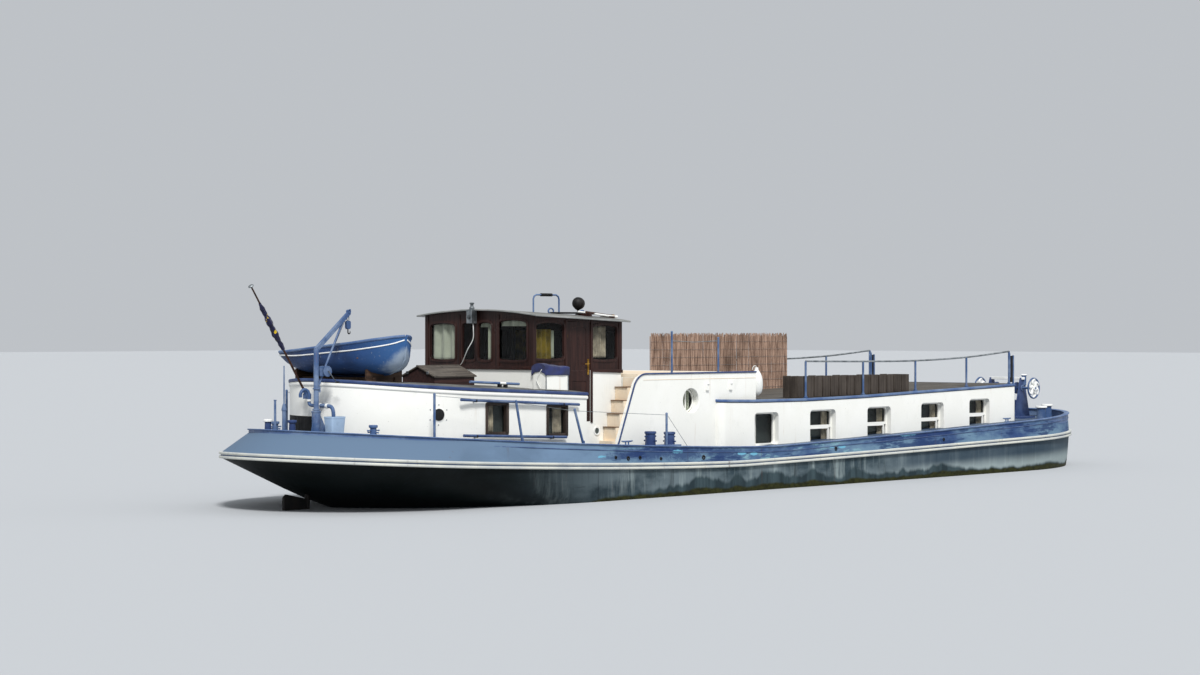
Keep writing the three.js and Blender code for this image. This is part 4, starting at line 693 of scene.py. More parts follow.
def smoothstep(value, low, high):
    """Nought below low, one above high, and a soft rise between them."""
    share = min(1.0, max(0.0, (value - low) / (high - low)))
    return share * share * (3 - 2 * share)


def cap_top(x):
    """Top of the bulwark's cap."""
    return line_height(SHEER, x)


def deck_edge(x):
    """Height of the deck at the bulwark."""
    stern = (1 - smoothstep(x, -10.2, -8.8)) * 0.04
    return cap_top(x) - (0.03 + stern + smoothstep(x, 8.7, 10.3) * 0.16)


def band_low(x):
    """Lower edge of the rubbing band."""
    return line_height(BAND, x)


def flat(height):
    """A level line at a height over the water."""
    return lambda x: above(height)


# Height, stern, bow, half breadth, and the run, power and root of each end
LEVELS = [
    (flat(-0.95), -8.0, 11.4, 2.15, (6.0, 1.7, 1.0), (4.9, 2.0, 1.45)),
    (flat(-0.87), -8.5, 11.7, 2.34, (5.6, 1.8, 1.0), (4.6, 2.0, 1.6)),
    (flat(-0.65), -9.0, 11.95, 2.45, (5.2, 1.9, 1.1), (4.3, 2.0, 1.75)),
    (flat(-0.10), -10.05, 12.1, 2.49, (4.6, 2.0, 1.3), (4.0, 2.0, 1.85)),
    (flat(0.15), -10.7, 12.14, 2.5, (4.0, 2.0, 1.5), (3.95, 2.0, 1.88)),
    (band_low, STERN_X, BOW_X, 2.5, (3.0, 2.0, 2.0), (3.9, 2.0, 1.9)),
    (lambda x: band_low(x) + BAND_HEIGHT, STERN_X, BOW_X, 2.5, (3.0, 2.0, 2.0), (3.9, 2.0, 1.9)),
    (deck_edge, STERN_X + 0.4, BOW_X - 0.02, 2.49, (4.0, 2.0, 1.85), (3.9, 2.0, 1.9)),
]
BAND_LEVEL, BAND_TOP_LEVEL, DECK_LEVEL = 5, 6, 7
HULL_HALF, DECK_CAMBER = 2.5, 0.03


def half_breadth(level, x, outward=0.0):
    """Half breadth of the hull at x on one of its levels."""
    _, stern, bow, half, (aft_run, aft_power, aft_root), (fore_run, fore_power, fore_root) = level
    aft = min(1.0, max(0.0, (x - stern + outward) / aft_run))
    fore = min(1.0, max(0.0, (bow + outward - x) / fore_run))
    aft_shape = (1 - (1 - aft) ** aft_power) ** (1 / aft_root)
    fore_shape = (1 - (1 - fore) ** fore_power) ** (1 / fore_root)
    return max(0.045 + 0.4 * outward, (half + outward) * aft_shape * fore_shape)


def level_side(level, stations, outward=0.0, height=None):
    """Starboard points of a level from the stern to the bow."""
    height = height or level[0]
    points = []
    for i in range(stations + 1):
        share = (1 - math.cos(math.pi * i / stations)) / 2
        x = level[1] - outward + share * (level[2] - level[1] + 2 * outward)
        points.append((x, -half_breadth(level, x, outward), height(x)))
    return points


def whole_ring(side):
    """Starboard points and their mirror image as one ring."""
    return side + [(x, -y, z) for x, y, z in reversed(side)]


def gentle_curve(knots, values, at):
    """Monotone cubic values through the knots, for arrays of points."""
    knots = np.asarray(knots, float)
    steps = np.diff(knots)[:, None, None]
    slopes = np.diff(values, axis=0) / steps
    tangents = np.zeros_like(values)
    same = slopes[:-1] * slopes[1:] > 0
    w1, w2 = 2 * steps[1:] + steps[:-1], steps[1:] + 2 * steps[:-1]
    safe = np.where(same, w1 / np.where(slopes[:-1] == 0, 1,
                                        slopes[:-1]) + w2 / np.where(slopes[1:] == 0, 1, slopes[1:]), 1)
    tangents[1:-1] = np.where(same, (w1 + w2) / safe, 0)
    tangents[0], tangents[-1] = slopes[0], slopes[-1]
    found = []
    for value in at:
        k = min(len(knots) - 2, max(0, int(np.searchsorted(knots, value, side="right")) - 1))
        h = knots[k + 1] - knots[k]
        t = (value - knots[k]) / h
        found.append((2 * t**3 - 3 * t**2 + 1) * values[k] + (t**3 - 2 * t**2 + t) * h * tangents[k]
                     + (3 * t**2 - 2 * t**3) * values[k + 1] + (t**3 - t**2) * h * tangents[k + 1])
    return found


CABINS = [(-9.3, -6.9, 1.3, 1.25), (-6.5, -4.5, 1.4, 0.42), (-3.9, 7.7, 1.75, 0.3)]


def box_shape(low, high):
    """A plain box to cut with."""
    shape = Shape()
    shape.box(low, high, "inside")
    return shape


def build_hull():
    """Smooth plating from the flat bottom to the deck edge, the deck, the skeg, and the cabins cut into it."""
    stations = panel_sizes().stations
    sides = np.array([level_side(level, stations) for level in LEVELS])
    knots = [0.0, 0.08, 0.30, 0.85, 1.10, 1.44]
    heights = [0.0, 0.03, 0.055, 0.08, 0.13, 0.19, 0.25, 0.30, 0.42, 0.56, 0.7, 0.85, 0.97, 1.10, 1.2, 1.32, 1.44]
    rings = [whole_ring([tuple(p) for p in side]) for side in gentle_curve(knots, sides[:6], heights)]
    for level in (BAND_TOP_LEVEL, DECK_LEVEL):
        rings.append(whole_ring([tuple(p) for p in sides[level]]))
    shape = Shape()
    shape.rings(rings, "hull_paint", caps=False)
    bottom, top = rings[0], rings[-1]
    count = len(top)
    across = 6
    for ring, up in ((bottom, False), (top, True)):
        rows = []
        for i in range(stations + 1):
            a, b = Vector(ring[i]), Vector(ring[count - 1 - i])
            row = []
            for k in range(across + 1):
                share = k / across
                point = a.lerp(b, share)
                if up:
                    point.z += DECK_CAMBER * (1 - (2 * share - 1) ** 2) * (abs(a.y) / HULL_HALF)
                row.append(point)
            rows.append(row)
        rows[0], rows[-1] = rows[0][::across], rows[-1][::across]
        starts = np.cumsum([0] + [len(row) for row in rows]).tolist()
        wide = range(across + 1)
        faces = [(starts[0], *(starts[1] + k for k in wide), starts[0] + 1)]
        for one, two in zip(starts[1:-3], starts[2:-2]):
            faces.extend((one + k, two + k, two + k + 1, one + k + 1) for k in range(across))
        faces.append((starts[-3], starts[-2], starts[-2] + 1, *(starts[-3] + k for k in range(across, 0, -1))))
        shape.add([p for row in rows for p in row], faces if up else [tuple(reversed(face)) for face in faces],
                  "hull_paint")
    mesh = bpy.data.meshes.new("hull_plating")
    mesh.from_pydata(shape.points, [], shape.faces)
    mesh.materials.append(MATERIALS["hull_paint"])
    obj = placed("hull_plating", mesh)
    weld = obj.modifiers.new("Weld", "WELD")
    weld.merge_threshold = 0.0006
    obj = plain_mesh(obj, "hull_plating")
    pockets = [box_shape((a, -h, low), (f, h, 4.0)) for a, f, h, low in CABINS]
    obj = cut_out(obj, pockets, "hull_plating")
    settle(obj, "boat", 30.0, ("hull_stern", "hull_aft", "hull_hold", "hull_bow"), "hull_paint")

    gear = Shape()
    gear.box((-10.99, -0.06, 0.0), (-7.8, 0.06, 0.07), "hull_paint")
    gear.prism([(-9.95, 0.43), (-9.95, 0.9), (-8.2, 0.9), (-8.0, 0.02), (-9.7, 0.02)], "y", -0.06, 0.06,
               "hull_paint")
    gear.turned([(0.0, 0.0), (0.07, 0.0), (0.092, 0.05), (0.095, 0.2), (0.095, 1.4)], (-10.1, 0, 0.52), FORWARD,
                "hull_paint", 28)
    gear.turned([(0.06, 0), (0.085, 0), (0.085, 0.05), (0.06, 0.05)], (-10.9, 0, 0.02), UP, "hull_paint", 24,
                whole=True)
    gear.make("stern_gear", round_edge=0.008)


def sweep(shape, look, profile, level, stations, base):
    """A closed section carried round a level: profile holds (outward, height above base)."""
    rings = []
    for outward, lift in profile:
        rings.append(whole_ring(level_side(level, stations, outward, lambda x, lift=lift: base(x) + lift)))
    shape.rings(rings, look, closed=True)


def build_edges():
    """Bulwark with its rounded cap, and the rubbing band of two strips."""
    stations = panel_sizes().stations
    deck = LEVELS[DECK_LEVEL]
    bulwark = Shape()
    rings = []
    for outward, top, lift in [(0, False, 0.0003), (0, True, -0.02), (0.022, True, -0.018), (0.025, True, -0.009),
                               (0.018, True, 0.0),
                               (-0.08, True, 0.0), (-0.088, True, -0.009), (-0.084, True, -0.02),
                               (-0.055, True, -0.022),
                               (-0.055, False, 0.0153)]:
        height = (lambda x, lift=lift: cap_top(x) + lift) if top else (lambda x, lift=lift: deck_edge(x) + lift)
        rings.append(whole_ring(level_side(deck, stations, outward, height)))
    bulwark.rings(rings, "blue_paint", closed=True)
    bulwark.make("bulwark_and_cap", smooth=50, replaces="bulwark")
    band = Shape()
    section = [(0.0003, 0.0), (0.048, 0.003), (0.055, 0.012), (0.055, 0.038), (0.046, 0.047), (0.024, 0.052),
               (0.024, 0.070), (0.046, 0.075), (0.055, 0.084), (0.055, 0.110), (0.048, 0.119), (0.0003, 0.122)]
    sweep(band, "cream_paint", section, LEVELS[BAND_LEVEL], stations, band_low)
    colour_groove(band, 2 * (stations + 1))
    band.make("rubbing_strips", smooth=60, replaces="rubbing_band", slot="cream_paint")


GROOVE_RING = 5


def colour_groove(shape, point_count):
    """The groove between the two strips keeps the blue paint."""
    start = GROOVE_RING * point_count
    shape.looks[start:start + point_count] = ["blue_paint"] * point_count


# Outlines and frames for windows and panels


def rounded(x0, x1, z0, z1, radius, steps=5):
    """Points of a rectangle with round corners."""
    points = []
    corners = ((x1 - radius, z0 + radius, -90), (x1 - radius, z1 - radius, 0),
               (x0 + radius, z1 - radius, 90), (x0 + radius, z0 + radius, 180))
    for cx, cz, first in corners:
        for i in range(steps + 1):
            angle = math.radians(first + 90 * i / steps)
            points.append((cx + radius * math.cos(angle), cz + radius * math.sin(angle)))
    return points


def arched(x0, x1, z0, z1, radius, rise, sag=0.0):
    """A round-cornered outline whose head rises and whose foot sags in the middle."""
    middle, half, centre = (z0 + z1) / 2, (x1 - x0) / 2, (x0 + x1) / 2
    outline = []
    for x, z in dense(rounded(x0, x1, z0, z1, radius), 0.09):
        bow = 1 - ((x - centre) / half) ** 2
        outline.append((x, z + (rise if z > middle else -sag) * bow))
    return outline


def dense(outline, step):
    """The outline with its long sides divided."""
    points = []
    for a, b in zip(outline, outline[1:] + outline[:1]):
        parts = max(1, math.ceil(math.dist(a, b) / step))
        points.extend(tuple(p + (q - p) * i / parts for p, q in zip(a, b)) for i in range(parts))
    return points


def grown(outline, by):
    """The outline moved outward along its own normals."""
    count = len(outline)
    area = sum(outline[i][0] * outline[(i + 1) % count][1] - outline[(i + 1) % count][0] * outline[i][1]
               for i in range(count))
    sign = 1 if area > 0 else -1
    points = []
    for i, (x, z) in enumerate(outline):
        (ax, az), (bx, bz) = outline[i - 1], outline[(i + 1) % count]
        dx, dz = bx - ax, bz - az
        length = math.hypot(dx, dz) or 1.0
        points.append((x + sign * by * dz / length, z - sign * by * dx / length))
    return points


def on_plane(axis, at):
    """Puts a flat point (a, z) on the plane across x or y."""
    if axis == "y":
        return lambda point: (point[0], at, point[1])
    return lambda point: (at, point[0], point[1])


def add_ring(shape, outer, inner, axis, front, back, look):
    """A flat ring between two outlines of the same count."""
    f, b = on_plane(axis, front), on_plane(axis, back)
    shape.rings([[f(p) for p in outer], [f(p) for p in inner], [b(p) for p in inner], [b(p) for p in outer]], look,
                closed=True)


def add_pane(shape, outline, axis, front, back, look):
    """A flat sheet with this outline."""
    f, b = on_plane(axis, front), on_plane(axis, back)
    shape.rings([[f(p) for p in outline], [b(p) for p in outline]], look)


def add_bolts(name, places, axis, radius, height, look, body="boat"):
    """Bolt heads at places, facing along an axis, by Geometry Nodes."""
    points = bpy.data.meshes.new(name)
    points.from_pydata(places, [], [])
    holder = placed(name, points)
    tree, start, end = new_tree("Bolt heads", [("Radius", 0.012), ("Height", 0.008)])
    head = tree.nodes.new("GeometryNodeMeshCylinder")
    head.inputs["Vertices"].default_value = 6
    link(tree, start, "Radius", head, "Radius")
    link(tree, start, "Height", head, "Depth")
    spread = tree.nodes.new("GeometryNodeInstanceOnPoints")
    link(tree, start, "Geometry", spread, "Points")
    link(tree, head, "Mesh", spread, "Instance")
    turn = Vector(UP).rotation_difference(Vector(axis)).to_euler()
    spread.inputs["Rotation"].default_value = turn
    close_tree(tree, spread, "Instances", end, look)
    return grow(holder, tree, {"Radius": radius, "Height": height}, name, body, look, smooth=0)


# Geometry Nodes


def new_tree(name, sizes):
    """A node tree with a geometry input and named sizes."""
    tree = bpy.data.node_groups.new(name, "GeometryNodeTree")
    tree.interface.new_socket("Geometry", in_out="INPUT", socket_type="NodeSocketGeometry")
    tree.interface.new_socket("Geometry", in_out="OUTPUT", socket_type="NodeSocketGeometry")
    for label, value in sizes:
        kind = "NodeSocketInt" if isinstance(value, int) else "NodeSocketFloat"
        socket = tree.interface.new_socket(label, in_out="INPUT", socket_type=kind)
        socket.default_value = value
    return tree, tree.nodes.new("NodeGroupInput"), tree.nodes.new("NodeGroupOutput")


def link(tree, source, output, target, entry):
    """One link between two nodes."""
    tree.links.new(source.outputs[output], target.inputs[entry])


def close_tree(tree, source, output, end, look):
    """Realize Instances and Set Material close every tree."""
    real = tree.nodes.new("GeometryNodeRealizeInstances")
    paint = tree.nodes.new("GeometryNodeSetMaterial")
    paint.inputs["Material"].default_value = MATERIALS[look]
    link(tree, source, output, real, "Geometry")
    link(tree, real, "Geometry", paint, "Geometry")
    link(tree, paint, "Geometry", end, "Geometry")


def grow(holder, tree, values, name, body, look, smooth=35.0, replaces=(), round_edge=0.0):
    """Runs the tree on the holder with these input values and settles the plain mesh that comes out."""
    change = holder.modifiers.new("Grow", "NODES")
    change.node_group = tree
    for item in tree.interface.items_tree:
        if item.in_out == "INPUT" and item.name in values:
            change[item.identifier] = values[item.name]
    fresh = plain_mesh(holder, name)
    if not fresh.data.materials:
        fresh.data.materials.append(MATERIALS[look])
    if round_edge:
        soften(fresh, round_edge)
    return settle(fresh, body, smooth, replaces, look)


def soften(obj, width, segments=2, angle=40):
    """Rounds the object's edges."""
    bevel = obj.modifiers.new("Rounded edges", "BEVEL")
    bevel.width = width
    bevel.segments = segments
    bevel.limit_method = "ANGLE"
    bevel.angle_limit = math.radians(angle)


def holder_of(points, edges=(), faces=(), name="points"):
    """A bare mesh object with these points."""
    mesh = bpy.data.meshes.new(name)
    mesh.from_pydata([tuple(p) for p in points], list(edges), list(faces))
    return placed(name, mesh)


def chain(points):
    """Points joined one after the other."""
    return holder_of(points, [(i, i + 1) for i in range(len(points) - 1)])


def walled(name, rings, cutters, look, round_edge=0.012, replaces=(), segments=3):
    """A closed wall between rings, with openings cut through it and its edges rounded."""
    wall = Shape()
    wall.rings(rings, look, closed=True)
    obj = wall.raw(name)
    obj = cut_out(obj, cutters, name)
    if round_edge:
        soften(obj, round_edge, segments, 50)
    return settle(obj, "boat", 35, replaces, look)


def cutter(outline, axis, low, high):
    """An outline pushed along an axis, to cut with."""
    shape = Shape()
    shape.prism(outline, axis, low, high, "inside")
    return shape


# Curtains and covers


def cloth_sheet(name, points, rows, columns, thickness, look, replaces=()):
    """Thin cloth through points that are laid row by row."""
    obj = holder_of(points, faces=grid_faces(rows, columns), name=name)
    obj.data.materials.append(MATERIALS[look])
    cloth = obj.modifiers.new("Cloth", "SOLIDIFY")
    cloth.thickness = thickness
    cloth.offset = 0
    return settle(obj, "boat", 60, replaces, look)


def hang_curtain(name, axis, start, end, low, high, at, folds, look, tied=0.0):
    """A pleated curtain on the plane across an axis; tied is how far its foot is drawn to its start."""
    columns, rows = folds * 8, 10
    width = end - start
    depth = 0.028
    points = []
    for r in range(rows + 1):
        share = r / rows
        pull = 1 - tied * math.sin(math.pi * min(1.0, share * 1.15)) ** 1.5
        for c in range(columns + 1):
            across = c / columns
            along = start + width * across * pull
            swing = depth * math.sin(2 * math.pi * folds * across + 0.5 * math.sin(3 * across + share))
            z = high + (low - high) * share
            points.append((along, at + swing, z) if axis == "y" else (at + swing, along, z))
    obj = cloth_sheet(name, points, rows, columns, 0.002, look)


# Aft trunk

AFT_HALF, AFT_END, AFT_ROUND, AFT_FORE = 1.85, -10.85, -8.4, -5.66
AFT_WALL, AFT_CAMBER, AFT_THICK = 0.07, 0.08, 0.06
AFT_COLUMNS = 12
HOUSE_AFT, HOUSE_FORE, HOUSE_HALF = -6.68, -4.27, 1.45


def aft_top(x):
    """Height of the aft trunk's roof edge."""
    return above(1.94) + 0.0445 * (AFT_FORE - x)


def aft_under(x, y):
    """Underside of the aft trunk's roof."""
    return aft_top(x) + AFT_CAMBER * (1 - (y / 1.9) ** 2)


def aft_deck(x, y):
    """Top of the aft trunk's roof."""
    return aft_under(x, y) + AFT_THICK


def aft_plan(inward, steps=48):
    """Outline of the aft trunk: straight sides, a round stern end and a square fore end."""
    half, run, fore = AFT_HALF - inward, AFT_ROUND - AFT_END - inward, AFT_FORE - inward
    arc = []
    for i in range(steps + 1):
        angle = math.pi / 2 + math.pi * i / steps
        arc.append((AFT_ROUND + run * math.cos(angle), half * math.sin(angle)))
    side = [(x, half) for x in evenly(fore, AFT_ROUND, 8)[:-1]]
    end = [(fore, y) for y in evenly(-half, half, AFT_COLUMNS)[1:-1]]
    return side + arc + [(x, -y) for x, y in reversed(side)] + end


AFT_WINDOWS = [(-8.29, -7.74, 1.28, 1.85), (-6.725, -6.19, 1.21, 1.78)]
AFT_PORTHOLE = (-9.33, 1.665, 0.098)


def house_space():
    """Room for the wheelhouse in the aft trunk."""
    shape = Shape()
    shape.box((HOUSE_AFT - 0.001, -HOUSE_HALF - 0.001, 1.0), (HOUSE_FORE + 0.3, HOUSE_HALF + 0.001, 5.0), "inside")
    return shape


def build_aft_trunk():
    """Walls with window openings, the cambered roof with its hatchway, and the moulding under it."""
    outer, inner = aft_plan(0), aft_plan(AFT_WALL)
    low = 1.98
    rings = [[(x, y, low) for x, y in outer], [(x, y, aft_under(x, y)) for x, y in outer],
             [(x, y, aft_under(x, y)) for x, y in inner], [(x, y, low) for x, y in inner]]
    cuts = [house_space()]
    for side in (-1, 1):
        y0, y1 = span(side, 1.6, 2.1)
        for x0, x1, z0, z1 in AFT_WINDOWS:
            cuts.append(cutter(rounded(x0, x1, above(z0), above(z1), 0.02, 3), "y", y0, y1))
        x, z, radius = AFT_PORTHOLE
        hole = circle(x, above(z), radius, 32)
        cuts.append(cutter(hole, "y", *span(side, 1.4, 2.1)))
    walled("aft_trunk_walls", rings, cuts, "white_paint", 0.008, "aft_trunk")

    roof = Shape()
    section = [(0.0, 0.0), (-0.018, 0.002), (-0.026, 0.012), (-0.026, 0.046), (-0.018, 0.057), (0.0, 0.06)]
    rings = [[(x, y, aft_under(x, y) + lift) for x, y in aft_plan(inset)] for inset, lift in section]
    roof.rings(rings, "dark_blue_paint", caps=False)
    count = len(rings[0]) - AFT_COLUMNS + 1
    half, columns = count // 2, AFT_COLUMNS
    for ring, lift, look in ((rings[0], 0.0, "white_paint"), (rings[-1], 0.06, "roof_paint")):
        points = []
        for i in range(half):
            (x0, y0, _), (x1, y1, _) = ring[i], ring[count - 1 - i]
            for c in range(columns + 1):
                share = c / columns
                x, y = x0 + (x1 - x0) * share, y0 + (y1 - y0) * share
                points.append((x, y, aft_under(x, y) + lift))
        tip, last = len(points), (half - 1) * (columns + 1)
        points.append(ring[half])
        faces = grid_faces(half - 1, columns) + [(a, a + 1, tip) for a in range(last, last + columns)]
        roof.add(points, faces, look)
    obj = roof.raw("aft_trunk_roof_deck", weld=0.0008)
    obj = cut_out(obj, [house_space(), box_shape((-8.50, -0.73, 2.8), (-7.59, 0.03, 3.8))], "aft_trunk_roof_deck")
    settle(obj, "boat", 40, "aft_trunk_roof", "blue_paint")

    trim = Shape()
    moulding = [(-0.001, -0.004), (-0.016, -0.008), (-0.020, -0.03), (-0.020, -0.058), (-0.012, -0.068),
                (-0.001, -0.070)]
    trim.rings([[(x, y, aft_under(x, y) + lift) for x, y in aft_plan(out)] for out, lift in moulding],
               "white_paint", closed=True)
    trim.make("aft_trunk_moulding", smooth=50)


def window_frame(shape, x0, x1, z0, z1, side):
    """A timber frame with a lip that stands proud of the wall; gives back the outline of its light."""
    proud = 0.012
    outer = rounded(x0, x1, z0, z1, 0.02, 3)
    inner = grown(outer, -0.042)
    add_ring(shape, outer, inner, "y", side * (AFT_HALF + proud), side * (AFT_HALF - 0.075), "frame_wood")
    lip = grown(outer, 0.022)
    add_ring(shape, lip, grown(outer, -0.006), "y", side * (AFT_HALF + proud * 1.4), side * (AFT_HALF - 0.002),
             "frame_wood")
    return inner


PORTHOLE_BOLTS = 0.178


def build_aft_windows():
    """Framed windows with curtains, and portholes with their bolts, with a dark sheet and black discs behind them
    as painted shade of the room.
    """
    for side, name in SIDES:
        frames, glass, room = Shape(), Shape(), Shape()
        for number, (x0, x1, z0, z1) in enumerate(AFT_WINDOWS):
            low, high = above(z0), above(z1)
            inner = window_frame(frames, x0 + 0.003, x1 - 0.003, low + 0.003, high - 0.003, side)
            add_pane(glass, grown(inner, 0.006), "y", side * (AFT_HALF - 0.048), side * (AFT_HALF - 0.054),
                     "clear_pane")
            start, end = (x0 + 0.04, x0 + 0.27) if number == 0 else (x1 - 0.04, x1 - 0.29)
            hang_curtain(f"aft_curtain_{name}_{number}", "y", start, end, low + 0.04, high - 0.03,
                         side * (AFT_HALF - 0.115), 5, "curtain")
        # A dark sheet behind the windows paints the shade of the room inside.
        y0, y1 = span(side, AFT_HALF - 0.16, AFT_HALF - 0.155)
        room.box((-8.42, y0, 2.13), (-6.1, y1, 2.86), "dark_room")
        frames.make(f"aft_windows_{name}", round_edge=0.005, replaces=f"aft_window_{name}")
        glass.make(f"aft_panes_{name}", smooth=0, slot="window_glass")
        room.make(f"aft_room_shade_{name}", smooth=0, slot="iron")

    x, z, _ = AFT_PORTHOLE
    ports, dark = Shape(), Shape()
    bolts = {-1: [], 1: []}
    slope = (aft_half(x + 0.05) - aft_half(x - 0.05)) / 0.1
    for side in (-1, 1):
        half = aft_half(x)
        way = Vector((-slope, side, 0)).normalized()
        ports.turned([(0.110, 0.0), (0.117, 0.0), (0.119, -0.03), (0.110, -0.03)],
                     (x, side * (half + 0.010), above(z)), way, "white_steel", 36, whole=True)
        # The black disc in each porthole paints the shade of the room behind the glass.
        dark.turned([(0, -0.03), (0.112, -0.03), (0.112, 0.007), (0, 0.007)], (x, side * half, above(z)), way,
                    "rubber", 36)
        for k in range(6):
            angle = 2 * math.pi * k / 6 + 0.5
            bolt_x = x + PORTHOLE_BOLTS * math.cos(angle)
            bolts[side].append((bolt_x, side * (aft_half(bolt_x) + 0.003),
                                above(z) + PORTHOLE_BOLTS * math.sin(angle)))
    ports.make("aft_portholes", smooth=40)
    dark.make("aft_porthole_glass", smooth=40)
    for side, name in SIDES:
        add_bolts(f"aft_porthole_bolts_{name}", bolts[side], (0, side, 0), 0.011, 0.01, "zinc")


def aft_half(x):
    """Half breadth of the aft trunk at x."""
    if x >= AFT_ROUND:
        return AFT_HALF
    return AFT_HALF * math.sqrt(max(0.0, 1 - ((AFT_ROUND - x) / (AFT_ROUND - AFT_END)) ** 2))


# Mid trunk with its raised deck and stairs

MID_HALF, MID_TOP, MID_WALL = 1.87, above(2.325), 0.09
MID_PORTHOLE = (-2.7, above(1.79), 0.235)
STAIR_AFT, STAIR_GOING, STAIR_LOW, STAIR_RISE, STAIR_STEPS = -4.89, 0.11, 1.06, 0.252, 5


def mid_outline():
    """Side of the mid trunk: a slanted aft edge that rounds into the top."""
    points = [(-0.7, 1.7), (-0.7, MID_TOP)]
    points.append((-4.02, MID_TOP))
    centre, radius = (-4.02, MID_TOP - 0.36), 0.36
    for i in range(1, 9):
        angle = math.radians(90 + 71 * i / 8)
        points.append((centre[0] + radius * math.cos(angle) * 1.02, centre[1] + radius * math.sin(angle)))
    points += [(-4.803, 2.02), (-4.82, 1.7)]
    return points


def build_mid_trunk():
    """Sides with a big porthole each, ends, edging, and nosings on the stairs."""
    x, z, radius = MID_PORTHOLE
    outline = mid_outline()
    for side, name in SIDES:
        wall = Shape()
        wall.prism(outline, "y", *span(side, MID_HALF, MID_HALF - MID_WALL), "white_paint")
        obj = wall.raw(f"mid_trunk_side_{name}")
        hole = circle(x, z, radius, 48)
        obj = cut_out(obj, [cutter(hole, "y", *span(side, 1.5, 2.1))], obj.name)
        soften(obj, 0.014, 3, 50)
        settle(obj, "boat", 35, "mid_trunk" if side < 0 else (), "white_paint")
    ends = Shape()
    ends.box((-0.79, -1.78, above(1.68)), (-0.7001, 1.78, MID_TOP), "white_paint")
    ends.box((-4.23, -1.78, 1.9), (-4.17, 1.78, MID_TOP - 0.062), "white_paint")
    ends.make("mid_trunk_ends", round_edge=0.01)

    trim, ports = Shape(), Shape()
    for side in (-1, 1):
        face = side * (MID_HALF + 0.004)
        trim.tube([(px, face, pz + 0.004) for px, pz in outline[1:-2]] + [(-4.81, face, 1.95)], 0.017,
                  "dark_blue_paint", 8)
        trim.tube([(-0.72, side * (MID_HALF + 0.001), MID_TOP - 0.115),
                   (-4.1, side * (MID_HALF + 0.001), MID_TOP - 0.115)],
                  0.005, "beige_paint", 6)
        ports.turned([(radius - 0.03, 0), (radius - 0.004, 0), (radius - 0.004, -0.03), (radius - 0.03, -0.03)],
                     (x, side * (MID_HALF - 0.14), z), (0, side, 0), "white_paint", 48, whole=True)
        ports.turned([(radius + 0.03, 0.0), (radius + 0.012, -0.004), (radius + 0.012, -0.17),
                      (radius + 0.03, -0.17)],
                     (x, side * (MID_HALF - 0.05), z), (0, side, 0), "white_paint", 48, whole=True)
        low, high = span(side, 1.72, 1.705)
        ports.box((x - 0.016, low, z - radius), (x + 0.016, high, z + radius), "white_paint")
        for fitting in (-2.23, -1.52):
            low, high = span(side, MID_HALF, MID_HALF + 0.035)
            ports.box((fitting - 0.04, low, above(1.98)), (fitting + 0.04, high, above(2.13)), "white_paint")
            ports.tube([(fitting - 0.025, side * (MID_HALF + 0.04), above(2.11)),
                        (fitting + 0.025, side * (MID_HALF + 0.04), above(2.11))],
                       0.015, "white_steel", 10)
    trim.make("mid_trunk_edging", smooth=50)
    ports.make("mid_trunk_portholes", smooth=35, round_edge=0.004)
    glass, room = Shape(), Shape()
    for side in (-1, 1):
        add_pane(glass, circle(x, z, radius, 48), "y", side * 1.71, side * 1.702, "clear_pane")
        # A dark sheet behind each porthole paints the shade of the room inside.
        low, high = span(side, 1.60, 1.595)
        room.box((x - 0.35, low, z - 0.35), (x + 0.35, high, z + 0.35), "dark_room")
    glass.make("mid_trunk_panes", smooth=0, slot="window_glass")
    room.make("mid_trunk_room", smooth=0, slot="iron")
    for side, name in SIDES:
        hang_curtain(f"mid_curtain_{name}", "y", x - 0.24, x + 0.16, z - 0.26, z + 0.27, side * 1.655, 5, "blind")

    lining = Shape()
    for side in (-1, 1):
        low, high = span(side, 1.462, 1.779)
        for i in range(1, STAIR_STEPS):
            nose = above(STAIR_LOW + STAIR_RISE * i)
            x0 = STAIR_AFT + STAIR_GOING * i
            lining.box((x0 - 0.022, low, nose - 0.001),
                       (x0 + (0.12 if i < STAIR_STEPS - 1 else 0.2), high, nose + 0.017), "stair_wood")
        lining.box((-4.236, low, above(STAIR_LOW + STAIR_RISE * (STAIR_STEPS - 1)) + 0.02),
                   (-4.2303, high, MID_TOP - 0.064), "beige_paint")
    lining.make("stair_nosings", round_edge=0.004, slot="brown_wood")


# Fore trunk with deep windows and a plank deck

FORE_HALF, FORE_START, FORE_END, FORE_WALL = 2.02, -1.95, 8.45, 0.13
FORE_TOP_X = [-1.95, -0.9, 0.7, 2.7, 4.6, 6.5, 8.45]
FORE_TOP_Z = [1.745, 1.72, 1.715, 1.745, 1.80, 1.85, 1.905]
FORE_WINDOWS = [(-0.93, -0.17, 0.85, 1.51), (0.86, 1.72, 0.83, 1.526), (2.81, 3.64, 0.83, 1.545),
                (4.74, 5.58, 0.877, 1.59),
                (6.56, 7.35, 0.945, 1.64)]


def fore_top(x):
    """Underside of the fore deck."""
    return above(float(np.interp(x, FORE_TOP_X, FORE_TOP_Z)))


def fore_plan(inward):
    """Outline of the fore trunk with round corners."""
    radius = max(0.15 - inward, 0.03)
    outline = rounded(FORE_START + inward, FORE_END - inward, -FORE_HALF + inward, FORE_HALF - inward, radius, 8)
    points = []
    for a, b in zip(outline, outline[1:] + outline[:1]):
        parts = 24 if abs(a[0] - b[0]) > 1 else (8 if abs(a[1] - b[1]) > 1 else 1)
        points.extend((a[0] + (b[0] - a[0]) * i / parts, a[1] + (b[1] - a[1]) * i / parts) for i in range(parts))
    return points


def mid_space():
    """Room for the mid trunk in the fore trunk."""
    shape = Shape()
    shape.box((FORE_START - 0.4, -MID_HALF - 0.001, 1.3), (-0.6997, MID_HALF + 0.001, 4.0), "inside")
    return shape


